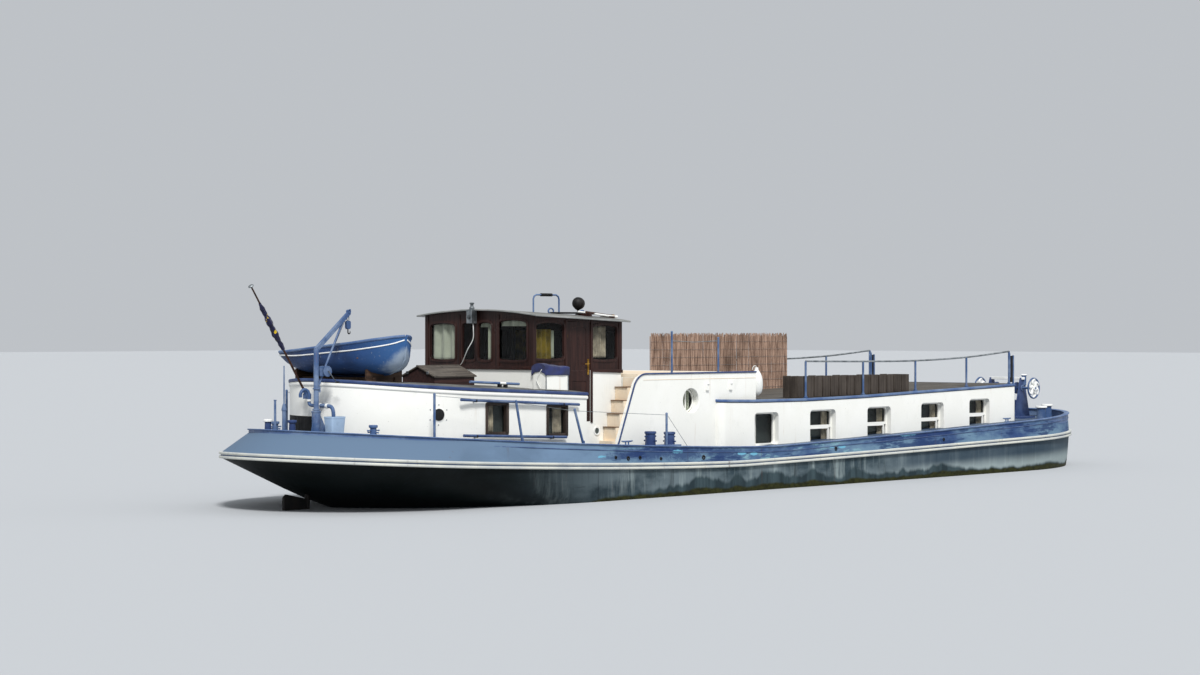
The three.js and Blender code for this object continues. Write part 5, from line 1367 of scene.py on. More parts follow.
def build_fore_trunk():
    """Walls with window openings, and the edging and bed of the plank deck."""
    outer, inner = fore_plan(0), fore_plan(FORE_WALL)
    rings = [[(x, y, 1.78) for x, y in outer], [(x, y, fore_top(x) - 0.012) for x, y in outer],
             [(x, y, fore_top(x) - 0.001) for x, y in inner], [(x, y, 1.78) for x, y in inner]]
    cuts = [mid_space()]
    for side in (-1, 1):
        for x0, x1, z0, z1 in FORE_WINDOWS:
            cuts.append(cutter(rounded(x0, x1, above(z0), above(z1), 0.09, 5), "y", *span(side, 1.7, 2.3)))
    walled("fore_trunk_walls", rings, cuts, "white_paint", 0.012, "fore_trunk")

    slab = Shape()
    section = [(0.0, -0.001), (-0.014, 0.002), (-0.020, 0.012), (-0.020, 0.040), (-0.014, 0.051), (0.0, 0.055),
               (0.055, 0.055), (0.06, 0.042),
               (0.06, -0.001)]
    rings = [[(x, y, fore_top(x) + lift) for x, y in fore_plan(inset)] for inset, lift in section]
    slab.rings(rings, "blue_paint", closed=True)
    obj = slab.raw("fore_deck_edging")
    obj = cut_out(obj, [mid_space()], obj.name)
    settle(obj, "boat", 45, "fore_deck", "blue_paint")
    bed = Shape()
    reach = FORE_HALF - 0.058
    for start, end, y0, y1 in ((-0.6985, FORE_END - 0.058, -reach, reach),
                               (FORE_START + 0.058, -0.699, MID_HALF + 0.002, reach),
                               (FORE_START + 0.058, -0.699, -reach, -MID_HALF - 0.002)):
        stations = np.linspace(start, end, 25)
        bed.rings([[(x, y0, fore_top(x)), (x, y1, fore_top(x)), (x, y1, fore_top(x) + 0.035),
                    (x, y0, fore_top(x) + 0.035)] for x in stations], "rubber")
    bed.make("fore_deck_bed", smooth=0, slot="iron")


def build_deck_planks():
    """Planks laid fore and aft inside the edging."""
    sizes = panel_sizes()
    stations = evenly(-0.66, 8.385, 36)
    half = FORE_HALF - 0.065
    pitch = sizes.plank_width + sizes.plank_gap
    count = int(2 * half / pitch)
    first = -(count - 1) * pitch / 2
    line = chain([(x, first, fore_top(x) + 0.046) for x in stations])
    tree, start, end = new_tree("Deck planks",
                                [("Width", 0.115), ("Thickness", 0.02), ("Pitch", 0.124), ("Count", 31)])
    curve = tree.nodes.new("GeometryNodeMeshToCurve")
    section = tree.nodes.new("GeometryNodeCurvePrimitiveQuadrilateral")
    board = tree.nodes.new("GeometryNodeCurveToMesh")
    board.inputs["Fill Caps"].default_value = True
    row = tree.nodes.new("GeometryNodeMeshLine")
    offset = tree.nodes.new("ShaderNodeCombineXYZ")
    copies = tree.nodes.new("GeometryNodeInstanceOnPoints")
    link(tree, start, "Geometry", curve, "Mesh")
    link(tree, start, "Width", section, "Width")
    link(tree, start, "Thickness", section, "Height")
    link(tree, curve, "Curve", board, "Curve")
    link(tree, section, "Curve", board, "Profile Curve")
    link(tree, start, "Count", row, "Count")
    link(tree, start, "Pitch", offset, "Y")
    link(tree, offset, "Vector", row, "Offset")
    link(tree, row, "Mesh", copies, "Points")
    link(tree, board, "Mesh", copies, "Instance")
    close_tree(tree, copies, "Instances", end, "grey_wood")
    values = {"Width": sizes.plank_width, "Thickness": 0.02, "Pitch": pitch, "Count": count}
    grow(line, tree, values, "fore_deck_planks", "boat", "grey_wood", round_edge=0.003)


def build_fore_windows():
    """Deep windows with a sliding sash, curtains and a dark sheet behind that paints the shade of the room."""
    for side, name in SIDES:
        frames, glass, room = Shape(), Shape(), Shape()
        back = FORE_HALF - FORE_WALL
        for number, (x0, x1, z0, z1) in enumerate(FORE_WINDOWS):
            low, high = above(z0), above(z1)
            outer = grown(rounded(x0, x1, low, high, 0.09, 5), 0.02)
            inner = grown(rounded(x0, x1, low, high, 0.09, 5), -0.035)
            add_ring(frames, outer, inner, "y", side * (back + 0.012), side * (back - 0.03), "white_paint")
            if number:
                middle = low + (high - low) * 0.5
                y0, y1 = span(side, back + 0.02, back - 0.02)
                frames.box((x0 - 0.01, y0, middle - 0.028), (x1 - 0.03, y1, middle + 0.028), "white_paint")
                sash = rounded(x0 + 0.03, x1 - 0.10, low + 0.025, middle - 0.02, 0.03, 3)
                add_ring(frames, sash, grown(sash, -0.03), "y", side * (back + 0.022), side * (back - 0.01),
                         "white_paint")
            add_pane(glass, grown(inner, 0.01), "y", side * (back - 0.012), side * (back - 0.018), "clear_pane")
            for part, (start, end) in enumerate(((x0 + 0.03, x0 + 0.27), (x1 - 0.03, x1 - 0.24))):
                if number == 0:
                    continue
                hang_curtain(f"fore_curtain_{name}_{number}_{part}", "y", start, end, low + 0.015, high - 0.02,
                             side * (back - 0.085), 4, "curtain", 0.35 if part == 0
                             else 0.0)
        # A dark sheet behind the windows paints the shade of the room inside.
        y0, y1 = span(side, back - 0.16, back - 0.165)
        room.box((-0.69, y0, 1.81), (7.6, y1, 2.62), "dark_room")
        frames.make(f"fore_windows_{name}", round_edge=0.006, replaces=f"fore_window_{name}")
        glass.make(f"fore_panes_{name}", smooth=0, slot="window_glass")
        room.make(f"fore_room_shade_{name}", smooth=0, slot="iron")


# Wheelhouse

HOUSE_WALL = 0.045
AFT_PANES = [(0.63, 1.33, 3.31), (0.09, 0.45, 3.32), (-0.36, 0.02, 3.325), (-1.29, -0.52, 3.365)]
FORE_PANES = [(0.56, 1.31), (-0.375, 0.375), (-1.31, -0.56)]
SIDE_PANES = [(-6.62, -5.85, 2.63, 3.32), (-5.08, -4.385, 2.605, 3.275)]
DOOR = dict(aft=-5.77, fore=-5.14, low=above(1.44), high=above(3.33), thick=0.038)
ROOF_HALF, ROOF_CAMBER, ROOF_THICK = 1.61, 0.11, 0.032


def sill(x):
    """Top of the wheelhouse's lower boards."""
    return above(2.46 + (x - HOUSE_AFT) / (HOUSE_FORE - HOUSE_AFT) * -0.08)


def eave(x):
    """Top of the wheelhouse's side walls."""
    return above(3.44 + (x - HOUSE_AFT) / (HOUSE_FORE - HOUSE_AFT) * -0.10)


def house_roof(x, y):
    """Underside of the wheelhouse roof."""
    return eave(x) + ROOF_CAMBER * (1 - (y / ROOF_HALF) ** 2) - ROOF_CAMBER * (1 - (HOUSE_HALF / ROOF_HALF) ** 2)


def roof_top(x, y):
    """Top of the wheelhouse roof."""
    return house_roof(x, y) + ROOF_THICK


def house_panes():
    """All wheelhouse windows: wall axis, side, face of the wall, outline."""
    panes = []
    for y0, y1, top in AFT_PANES:
        panes.append(("x", -1, HOUSE_AFT, arched(y0, y1, above(2.605), above(top) - 0.045, 0.06, 0.045, 0.022)))
    for y0, y1 in FORE_PANES:
        panes.append(("x", 1, HOUSE_FORE, arched(y0, y1, above(2.57), above(3.145), 0.06, 0.045, 0.022)))
    for x0, x1, z0, z1 in SIDE_PANES:
        for side in (-1, 1):
            panes.append(("y", side, side * HOUSE_HALF,
                          arched(x0, x1, above(z0), above(z1) - 0.042, 0.06, 0.045, 0.024)))
    return panes


def build_wheelhouse_walls():
    """Panelled walls with their openings, joinery and panes."""
    stations = evenly(HOUSE_AFT, HOUSE_FORE, 12)
    walls = Shape()
    for side in (-1, 1):
        face, back = side * HOUSE_HALF, side * (HOUSE_HALF - HOUSE_WALL)
        rings = [[(x, face, sill(x)), (x, face, house_roof(x, face)), (x, back, house_roof(x, back)),
                  (x, back, sill(x))] for x in stations]
        walls.rings(rings, "mahogany")
    for x, inward in ((HOUSE_AFT, 1), (HOUSE_FORE, -1)):
        inner = HOUSE_HALF - HOUSE_WALL - 0.0005
        across = evenly(-inner, inner, 16)
        rings = [[(x, y, sill(x)), (x, y, house_roof(x, y)), (x + inward * HOUSE_WALL, y, house_roof(x, y)),
                  (x + inward * HOUSE_WALL, y, sill(x))]
                 for y in across]
        walls.rings(rings, "mahogany")
    obj = walls.raw("wheelhouse_walls_panelled")
    cuts = []
    for axis, side, at, outline in house_panes():
        low, high = span(side, 1.3, 1.6) if axis == "y" else (at - 0.15, at + 0.15)
        cuts.append(cutter(outline, axis, low, high))
    gap = 0.006
    door = [(DOOR["aft"] - gap, DOOR["low"] - gap), (DOOR["fore"] + gap, DOOR["low"] - gap),
            (DOOR["fore"] + gap, DOOR["high"] + gap),
            (DOOR["aft"] - gap, DOOR["high"] + gap)]
    for side in (-1, 1):
        cuts.append(cutter(door, "y", *span(side, 1.3, 1.6)))
    obj = cut_out(obj, cuts, "wheelhouse_walls_panelled")
    soften(obj, 0.006, 2, 50)
    settle(obj, "boat", 35, "wheelhouse_walls", "mahogany")

    joinery = Shape()
    for axis, side, at, outline in house_panes():
        add_ring(joinery, grown(outline, 0.034), grown(outline, -0.008), axis, at + side * 0.012, at - side * 0.004,
                 "mahogany")
        add_ring(joinery, grown(outline, 0.002), grown(outline, -0.022), axis, at - side * 0.012, at - side * 0.034,
                 "mahogany")
    for sx in (HOUSE_AFT, HOUSE_FORE):
        for sy in (-1, 1):
            out = 1 if sx == HOUSE_FORE else -1
            x0, x1 = sorted((sx + out * 0.014, sx - out * 0.075))
            y0, y1 = sorted((sy * (HOUSE_HALF + 0.014), sy * (HOUSE_HALF - 0.075)))
            joinery.box((x0, y0, sill(sx) - 0.02), (x1, y1, house_roof(sx, HOUSE_HALF) - 0.004), "mahogany")
    for side in (-1, 1):
        y0, y1 = span(side, HOUSE_HALF + 0.026, HOUSE_HALF - 0.01)
        for x0, x1 in ((HOUSE_AFT - 0.026, DOOR["aft"] - 0.03), (DOOR["fore"] + 0.03, HOUSE_FORE + 0.026)):
            joinery.rings([[(x, y0, sill(x) - 0.035), (x, y1, sill(x) - 0.035), (x, y1, sill(x) + 0.03),
                            (x, y0, sill(x) + 0.03)]
                           for x in (x0, x1)], "mahogany_rail")
        y0, y1 = span(side, HOUSE_HALF + 0.009, HOUSE_HALF - 0.01)
        joinery.rings([[(x, y0, eave(x) - 0.06), (x, y1, eave(x) - 0.06), (x, y1, eave(x) - 0.004),
                        (x, y0, eave(x) - 0.004)]
                       for x in (HOUSE_AFT, HOUSE_FORE)], "mahogany_rail")
        for x in (DOOR["aft"] - 0.035, DOOR["fore"] + 0.035):
            y0, y1 = span(side, HOUSE_HALF + 0.018, HOUSE_HALF - 0.004)
            joinery.box((x - 0.028, y0, DOOR["low"] - 0.03), (x + 0.028, y1, DOOR["high"] + 0.03), "mahogany")
    for at, out in ((HOUSE_AFT, -1), (HOUSE_FORE, 1)):
        x0, x1 = sorted((at + out * 0.028, at - out * 0.01))
        joinery.box((x0, -HOUSE_HALF - 0.02, sill(at) - 0.035), (x1, HOUSE_HALF + 0.02, sill(at) + 0.03),
                    "mahogany_rail")
        x0, x1 = sorted((at + out * 0.014, at - out * 0.004))
        for y in (-0.53, 0.53):
            joinery.box((x0, y - 0.035, sill(at) + 0.03), (x1, y + 0.035, eave(at) + 0.02), "mahogany")
    joinery.make("wheelhouse_joinery", round_edge=0.005)

    # Starboard and aft panes are clear; the port and fore panes are opaque glass whose dark colour paints the shade
    # seen through the wheelhouse.
    glass = Shape()
    for axis, side, at, outline in house_panes():
        add_pane(glass, grown(outline, -0.004), axis, at - side * 0.022, at - side * 0.028, "clear_pane"
                 if side < 0 else "window_glass")
    glass.make("wheelhouse_panes", smooth=0, replaces=("wheelhouse_glass_aft", "wheelhouse_glass_fore"),
               slot="window_glass")


def build_wheelhouse_inside():
    """Lining, blinds and the yellow curtains that show through the panes."""
    lining = Shape()
    lining.box((HOUSE_AFT + 0.07, -1.38, above(1.401)), (HOUSE_FORE - 0.07, 1.38, above(1.42)), "brown_wood")
    lining.rings([[(x, y, house_roof(x, y) - 0.012) for y in (-1.38, -0.7, 0.0, 0.7, 1.38)]
                  + [(x, y, house_roof(x, y) - 0.002) for y in (1.38, 0.7, 0.0, -0.7, -1.38)]
                  for x in (HOUSE_AFT + 0.06, HOUSE_FORE - 0.06)],
                 "amber_wood")
    for side in (-1, 1):
        y0, y1 = span(side, 1.385, 1.372)
        for x0, x1 in ((HOUSE_AFT + 0.08, DOOR["aft"] - 0.06), (DOOR["fore"] + 0.06, HOUSE_FORE - 0.08)):
            lining.box((x0, y0, above(1.42)), (x1, y1, sill(x0) + 0.10), "amber_wood")
    lining.make("wheelhouse_lining", round_edge=0.003, slot="brown_wood")
    blinds = [("blind_aft_port", 0.61, 1.32, 2.58, 3.32), ("blind_aft_starboard", -1.28, -0.54, 3.24, 3.38),
              ("blind_aft_middle", -0.35, 0.01, 3.22, 3.33), ("strip_aft_middle", -0.28, -0.20, 2.60, 3.22)]
    for name, y0, y1, z0, z1 in blinds:
        hang_curtain(name, "x", y0, y1, above(z0), above(z1), HOUSE_AFT + 0.085, 3, "blind")
    hang_curtain("yellow_curtain_side", "y", -6.60, -6.11, above(2.60), above(3.18), -1.35, 4, "yellow_cloth")
    hang_curtain("white_curtain_side", "y", -6.09, -6.055, above(2.64), above(3.16), -1.35, 2, "blind")
    hang_curtain("yellow_curtain_fore", "x", 0.80, 1.30, above(2.52), above(3.16), HOUSE_FORE - 0.11, 5,
                 "yellow_cloth")
    hang_curtain("net_curtain_fore", "y", -5.06, -4.62, above(2.64), above(3.24), -1.35, 7, "curtain")


def build_wheelhouse_roof():
    """Cambered covering with a grab rail, poles and a lantern."""
    across = 16
    aft, fore = HOUSE_AFT - 0.09, HOUSE_FORE + 0.09
    section = [(0.0, 0.0), (-0.006, 0.007), (-0.006, 0.025), (0.0, 0.032)]
    stations, widths = evenly(aft, fore, 12), evenly(-ROOF_HALF, ROOF_HALF, across)
    outline = [(x, -ROOF_HALF) for x in stations] + [(fore, y) for y in widths[1:-1]]
    outline += [(x, ROOF_HALF) for x in reversed(stations)] + [(aft, y)
                                                               for y in evenly(ROOF_HALF, -ROOF_HALF, across)[1:-1]]
    roof = Shape()
    middle, reach = (aft + fore) / 2, (fore - aft) / 2
    rings = [[(middle + (x - middle) * (1 - inset / reach), y * (1 - inset / ROOF_HALF), house_roof(x, y) + lift)
              for x, y in outline] for inset, lift in section]
    roof.rings(rings, "roof_edge", caps=False)
    for lift, look in ((0.0, "mahogany"), (ROOF_THICK, "roof_paint")):
        points = [(x, y, house_roof(x, y) + lift) for x in stations for y in widths]
        roof.add(points, grid_faces(len(stations) - 1, across), look)
    obj = roof.raw("wheelhouse_roof_covering", weld=0.0008)
    settle(obj, "boat", 30, "wheelhouse_roof", "roof_paint")

    gear = Shape()
    x0, x1, y = -5.83, -5.13, -0.62
    high = roof_top(x0, y) + 0.33
    path = [(x0, y, roof_top(x0, y) - 0.01), (x0, y, high - 0.08), (x0 + 0.02, y, high - 0.03),
            (x0 + 0.08, y, high)]
    path += [(x1 - 0.08, y, high), (x1 - 0.02, y, high - 0.03), (x1, y, high - 0.08),
             (x1, y, roof_top(x1, y) - 0.01)]
    gear.tube(path, 0.017, "blue_paint", 10)
    gear.tube([(x0 + 0.20, y, high), (x1 - 0.20, y, high)], 0.031, "rubber", 12)
    for bx in (x0 + 0.22, x1 + 0.38):
        ring = [(bx + 0.07 * math.cos(a), y - 0.25, roof_top(bx, y - 0.25) + 0.045 + 0.05 * math.sin(a))
                for a in np.linspace(0, 2 * math.pi, 21)[:-1]]
        gear.tube(ring, 0.016, "blue_paint", 8, closed=True)
    gear.box((x0 + 0.2, y - 0.29, roof_top(x0 + 0.3, y - 0.25) - 0.004),
             (x1 + 0.42, y - 0.21, roof_top(x0 + 0.3, y - 0.25) + 0.03), "rubber")
    gear.make("wheelhouse_roof_gear", round_edge=0.004, slot="blue_paint")

    poles = Shape()
    for number, (y0, y1, start, end, radius, look) in enumerate(((-0.98, -1.18, -4.98, -4.06, 0.020, "white_steel"),
                                                                 (-1.08, -1.02, -4.86, -3.98, 0.024,
                                                                  "staff_wood"))):
        z0, z1 = roof_top(start, y0) + radius + 0.05, roof_top(end, y1) + radius + 0.012
        poles.tube([(start, y0, z0), (end - 0.10, y1, z1)], radius, look, 12)
        poles.tube([(end - 0.10, y1, z1), (end - 0.03, y1, z1)], radius * 1.25, "brass" if number else look, 12)
    poles.box((-4.90, -1.22, roof_top(-4.9, -1.1) - 0.004), (-4.84, -0.90, roof_top(-4.9, -0.95) + 0.035),
              "mahogany")
    poles.box((-4.30, -1.26, roof_top(-4.3, -1.2) - 0.004), (-4.24, -0.92, roof_top(-4.3, -0.95) + 0.012),
              "mahogany")
    poles.make("wheelhouse_roof_poles", round_edge=0.003, slot="white_steel")

    lantern = Shape()
    lx, ly = HOUSE_AFT - 0.10, 0.075
    lz = house_roof(HOUSE_AFT, ly) - 0.236
    lantern.box((lx - 0.075, ly - 0.075, lz), (lx + 0.06, ly + 0.075, lz + 0.26), "zinc")
    lantern.turned([(0.05, 0.26), (0.05, 0.30), (0.03, 0.32), (0.03, 0.36), (0.045, 0.37), (0.045, 0.39),
                    (0.0, 0.40)], (lx, ly, lz), UP, "zinc", 16)
    lantern.turned([(0.0, 0), (0.045, 0), (0.045, 0.012), (0.0, 0.012)], (lx - 0.075, ly, lz + 0.12), (-1, 0, 0),
                   "clear_pane", 20)
    wire = [(lx, ly - 0.03, lz), (lx - 0.01, ly - 0.05, lz - 0.12), (lx + 0.01, ly - 0.02, lz - 0.3),
            (lx - 0.02, ly + 0.10, lz - 0.5),
            (lx + 0.05, ly + 0.30, lz - 0.72), (HOUSE_AFT - 0.012, ly + 0.42, lz - 0.80)]
    lantern.tube(smoothed(wire, 5), 0.009, "white_steel", 8)
    lantern.make("stern_lantern", round_edge=0.008)


def smoothed(path, parts):
    """A curve through the points, by Catmull-Rom."""
    path = [Vector(p) for p in path]
    found = []
    for i in range(len(path) - 1):
        a, b, c, d = path[max(i - 1, 0)], path[i], path[i + 1], path[min(i + 2, len(path) - 1)]
        for k in range(parts):
            t = k / parts
            bend, twist = 2 * a - 5 * b + 4 * c - d, 3 * b - a - 3 * c + d
            found.append(0.5 * (2 * b + (c - a) * t + bend * t * t + twist * t**3))
    return found + [path[-1]]


def build_doors():
    """Panelled doors with a tall arched panel over a low one, a lever on a brass plate and strap hinges."""
    for side, name in SIDES:
        door = Shape()
        centre = side * (HOUSE_HALF - 0.02)
        y0, y1 = span(side, HOUSE_HALF - 0.001, HOUSE_HALF - 0.039)
        door.box((DOOR["aft"], y0, DOOR["low"]), (DOOR["fore"], y1, DOOR["high"]), "mahogany")
        obj = door.raw(f"wheelhouse_door_{name}_panelled")
        x0, x1 = DOOR["aft"] + 0.11, DOOR["fore"] - 0.11
        upper = arched(x0, x1, above(2.40), above(3.20), 0.06, 0.03)
        lower = rounded(x0, x1, above(1.56), above(2.20), 0.03, 3)
        cuts = []
        for panel in (upper, lower):
            for face in (1, -1):
                cuts.append(cutter(panel, "y", *sorted((centre + face * 0.010, centre + face * 0.06))))
        obj = cut_out(obj, cuts, obj.name)
        soften(obj, 0.005, 2, 50)
        body = f"door_{name}"
        settle(obj, body, 35, f"wheelhouse_door_{name}", "mahogany")
        fittings = Shape()
        outer = side * HOUSE_HALF
        px = DOOR["fore"] - 0.055
        low, high = sorted((outer - side * 0.003, outer + side * 0.006))
        fittings.box((px - 0.022, low, above(2.32)), (px + 0.022, high, above(2.62)), "brass")
        fittings.tube([(px, outer, above(2.53)), (px, outer + side * 0.038, above(2.53)),
                       (px - 0.02, outer + side * 0.044, above(2.53)),
                       (px - 0.13, outer + side * 0.044, above(2.525))], 0.009, "brass", 10)
        fittings.turned([(0, 0), (0.015, 0), (0.015, 0.012), (0, 0.012)], (px, outer, above(2.39)), (0, side, 0),
                        "brass", 16)
        for z in (above(1.70), above(3.05)):
            low, high = sorted((outer - side * 0.003, outer + side * 0.004))
            fittings.box((DOOR["aft"] + 0.003, low, z - 0.035), (DOOR["aft"] + 0.016, high, z + 0.035), "bronze")
        fittings.make(f"wheelhouse_door_{name}_fittings", body, round_edge=0.003, slot="bronze")


def build_house_base_trim():
    """Small ports and vents on the base of the wheelhouse."""
    trim = Shape()
    for side in (-1, 1):
        x, z, radius = -4.96, above(1.25), 0.075
        face = side * (HOUSE_HALF + 0.001)
        trim.turned([(radius - 0.02, 0), (radius + 0.012, 0), (radius + 0.01, 0.014), (radius - 0.016, 0.014)],
                    (x, face, z), (0, side, 0),
                    "white_steel", 28, whole=True)
        # The dark disc inside each port paints the shade of the room behind it.
        trim.turned([(0, 0.002), (radius - 0.014, 0.002), (radius - 0.014, 0.006), (0, 0.006)], (x, face, z),
                    (0, side, 0), "dark_room", 28)
        sx = -4.36
        base = side * 1.70
        z0 = above(1.816) + 0.03
        trim.turned([(0, 0), (0.045, 0), (0.052, 0.02), (0.052, 0.12), (0.03, 0.16), (0.03, 0.185), (0.04, 0.19),
                     (0.04, 0.205), (0, 0.205)],
                    (sx, base, z0), UP, "white_steel", 20)
    trim.make("house_base_fittings", smooth=40)


# Dinghy on its chocks

DINGHY_X = -9.88
DINGHY_STATIONS = [(1.40, 0.50, 3.715, 3.57), (1.18, 0.575, 3.722, 3.435), (0.93, 0.63, 3.738, 3.35),
                   (0.56, 0.68, 3.765, 3.304),
                   (0.10, 0.708, 3.805, 3.30), (-0.30, 0.695, 3.845, 3.30), (-0.678, 0.64, 3.88, 3.305),
                   (-1.045, 0.48, 3.935, 3.34),
                   (-1.289, 0.28, 3.975, 3.43), (-1.427, 0.11, 4.0, 3.58), (-1.46, 0.03, 4.005, 3.70)]
DINGHY_SECTION = [(1.0, 0.0), (0.995, 0.12), (0.985, 0.24), (0.965, 0.38), (0.93, 0.55), (0.86, 0.70), (0.74, 0.82),
                  (0.58, 0.905),
                  (0.38, 0.955), (0.18, 0.985), (0.0, 1.0)]


def dinghy_station(share):
    """The dinghy's y, half breadth, gunwale and keel at a share of its length."""
    knots = [-s[0] for s in DINGHY_STATIONS]
    at = knots[0] + (knots[-1] - knots[0]) * share
    values = np.array([[s[1:]] for s in DINGHY_STATIONS])
    half, gunwale, keel = gentle_curve(knots, values, [at])[0][0]
    return -at, half, gunwale, keel


def dinghy_rings(inward, steps=36):
    """Sections of the dinghy's shell, moved inward."""
    rings = []
    for i in range(steps + 1):
        y, half, gunwale, keel = dinghy_station(i / steps)
        half = max(half - inward, 0.004)
        keel = min(keel + inward, gunwale - 0.02)
        y += -inward if i == 0 else (inward if i == steps else 0)
        side = [(half * w, gunwale + (keel - gunwale) * d) for w, d in DINGHY_SECTION]
        ring = side + [(-x, z) for x, z in reversed(side[:-1])]
        rings.append([(DINGHY_X - x, y, z) for x, z in ring])
    return rings


def build_dinghy():
    """The open shell with its rails, stripe, keel and benches."""
    outer, inner = dinghy_rings(0), dinghy_rings(0.022)
    count = len(outer[0])
    shell = Shape()
    points = [p for ring in outer for p in ring] + [p for ring in inner for p in ring]
    shift = len(outer) * count
    faces = []
    for i in range(len(outer) - 1):
        for k in range(count - 1):
            a = i * count + k
            faces.append((a, a + 1, a + count + 1, a + count))
            faces.append((shift + a, shift + a + count, shift + a + count + 1, shift + a + 1))
        for k in (0, count - 1):
            a = i * count + k
            faces.append((a, a + count, shift + a + count, shift + a))
    last = (len(outer) - 1) * count
    for start in (0, last):
        for k in range(count // 2):
            a, b = start + k, start + count - 1 - k
            if k + 1 < count - 1 - k:
                faces.append((a, a + 1, b - 1, b) if a + 1 != b - 1 else (a, a + 1, b))
                faces.append((shift + a, shift + b, shift + b - 1, shift + a + 1) if a + 1 != b - 1
                             else (shift + a, shift + b, shift + a + 1))
        faces.append((start, start + count - 1, shift + start + count - 1, shift + start))
    shell.add(points, faces, "dinghy_paint")
    shell.make("dinghy_shell", smooth=50, replaces="dinghy", slot="blue_paint")

    trim = Shape()
    for side in (-1, 1):
        rail, stripe = [], []
        for i in range(37):
            y, half, gunwale, keel = dinghy_station(i / 36)
            rail.append((DINGHY_X + side * (half - 0.008), y, gunwale + 0.004))
            low = gunwale + (keel - gunwale) * 0.22
            stripe.append((DINGHY_X + side * (half * 0.985 + 0.002), y, min(low, gunwale - 0.06)))
        trim.tube(rail, 0.026, "blue_paint", 10)
        trim.tube(stripe, 0.013, "white_steel", 8)
    y, half, gunwale, _ = dinghy_station(0)
    trim.box((DINGHY_X - half, y - 0.03, gunwale - 0.03), (DINGHY_X + half, y + 0.002, gunwale + 0.022),
             "dinghy_paint")
    keel_line = [(1.38, 3.562), (1.17, 3.425), (0.93, 3.34), (0.55, 3.294), (0.0, 3.289), (-0.68, 3.295),
                 (-1.06, 3.338), (-1.30, 3.435), (-1.44, 3.60),
                 (-1.475, 3.84)]
    trim.tube([(DINGHY_X, y, z) for y, z in keel_line], 0.017, "dinghy_paint", 8)
    for bench, half in ((1.25, 0.48), (0.19, 0.65), (-0.72, 0.57)):
        trim.box((DINGHY_X - half, bench - 0.11, 3.612), (DINGHY_X + half, bench + 0.11, 3.634), "stair_wood")
    for side in (-1, 1):
        trim.turned([(0.0, 0), (0.016, 0), (0.016, 0.05), (0.0, 0.05)], (DINGHY_X + side * 0.68, 0.0, 3.82), UP,
                    "zinc", 12)
    trim.make("dinghy_trim", round_edge=0.004, slot="blue_paint")


# Davit crane with its winch and tackle

DAVIT_X, DAVIT_Y, DAVIT_TOP, DAVIT_REACH, DAVIT_TIP = -11.24, -0.64, 3.79, 0.76, 4.44


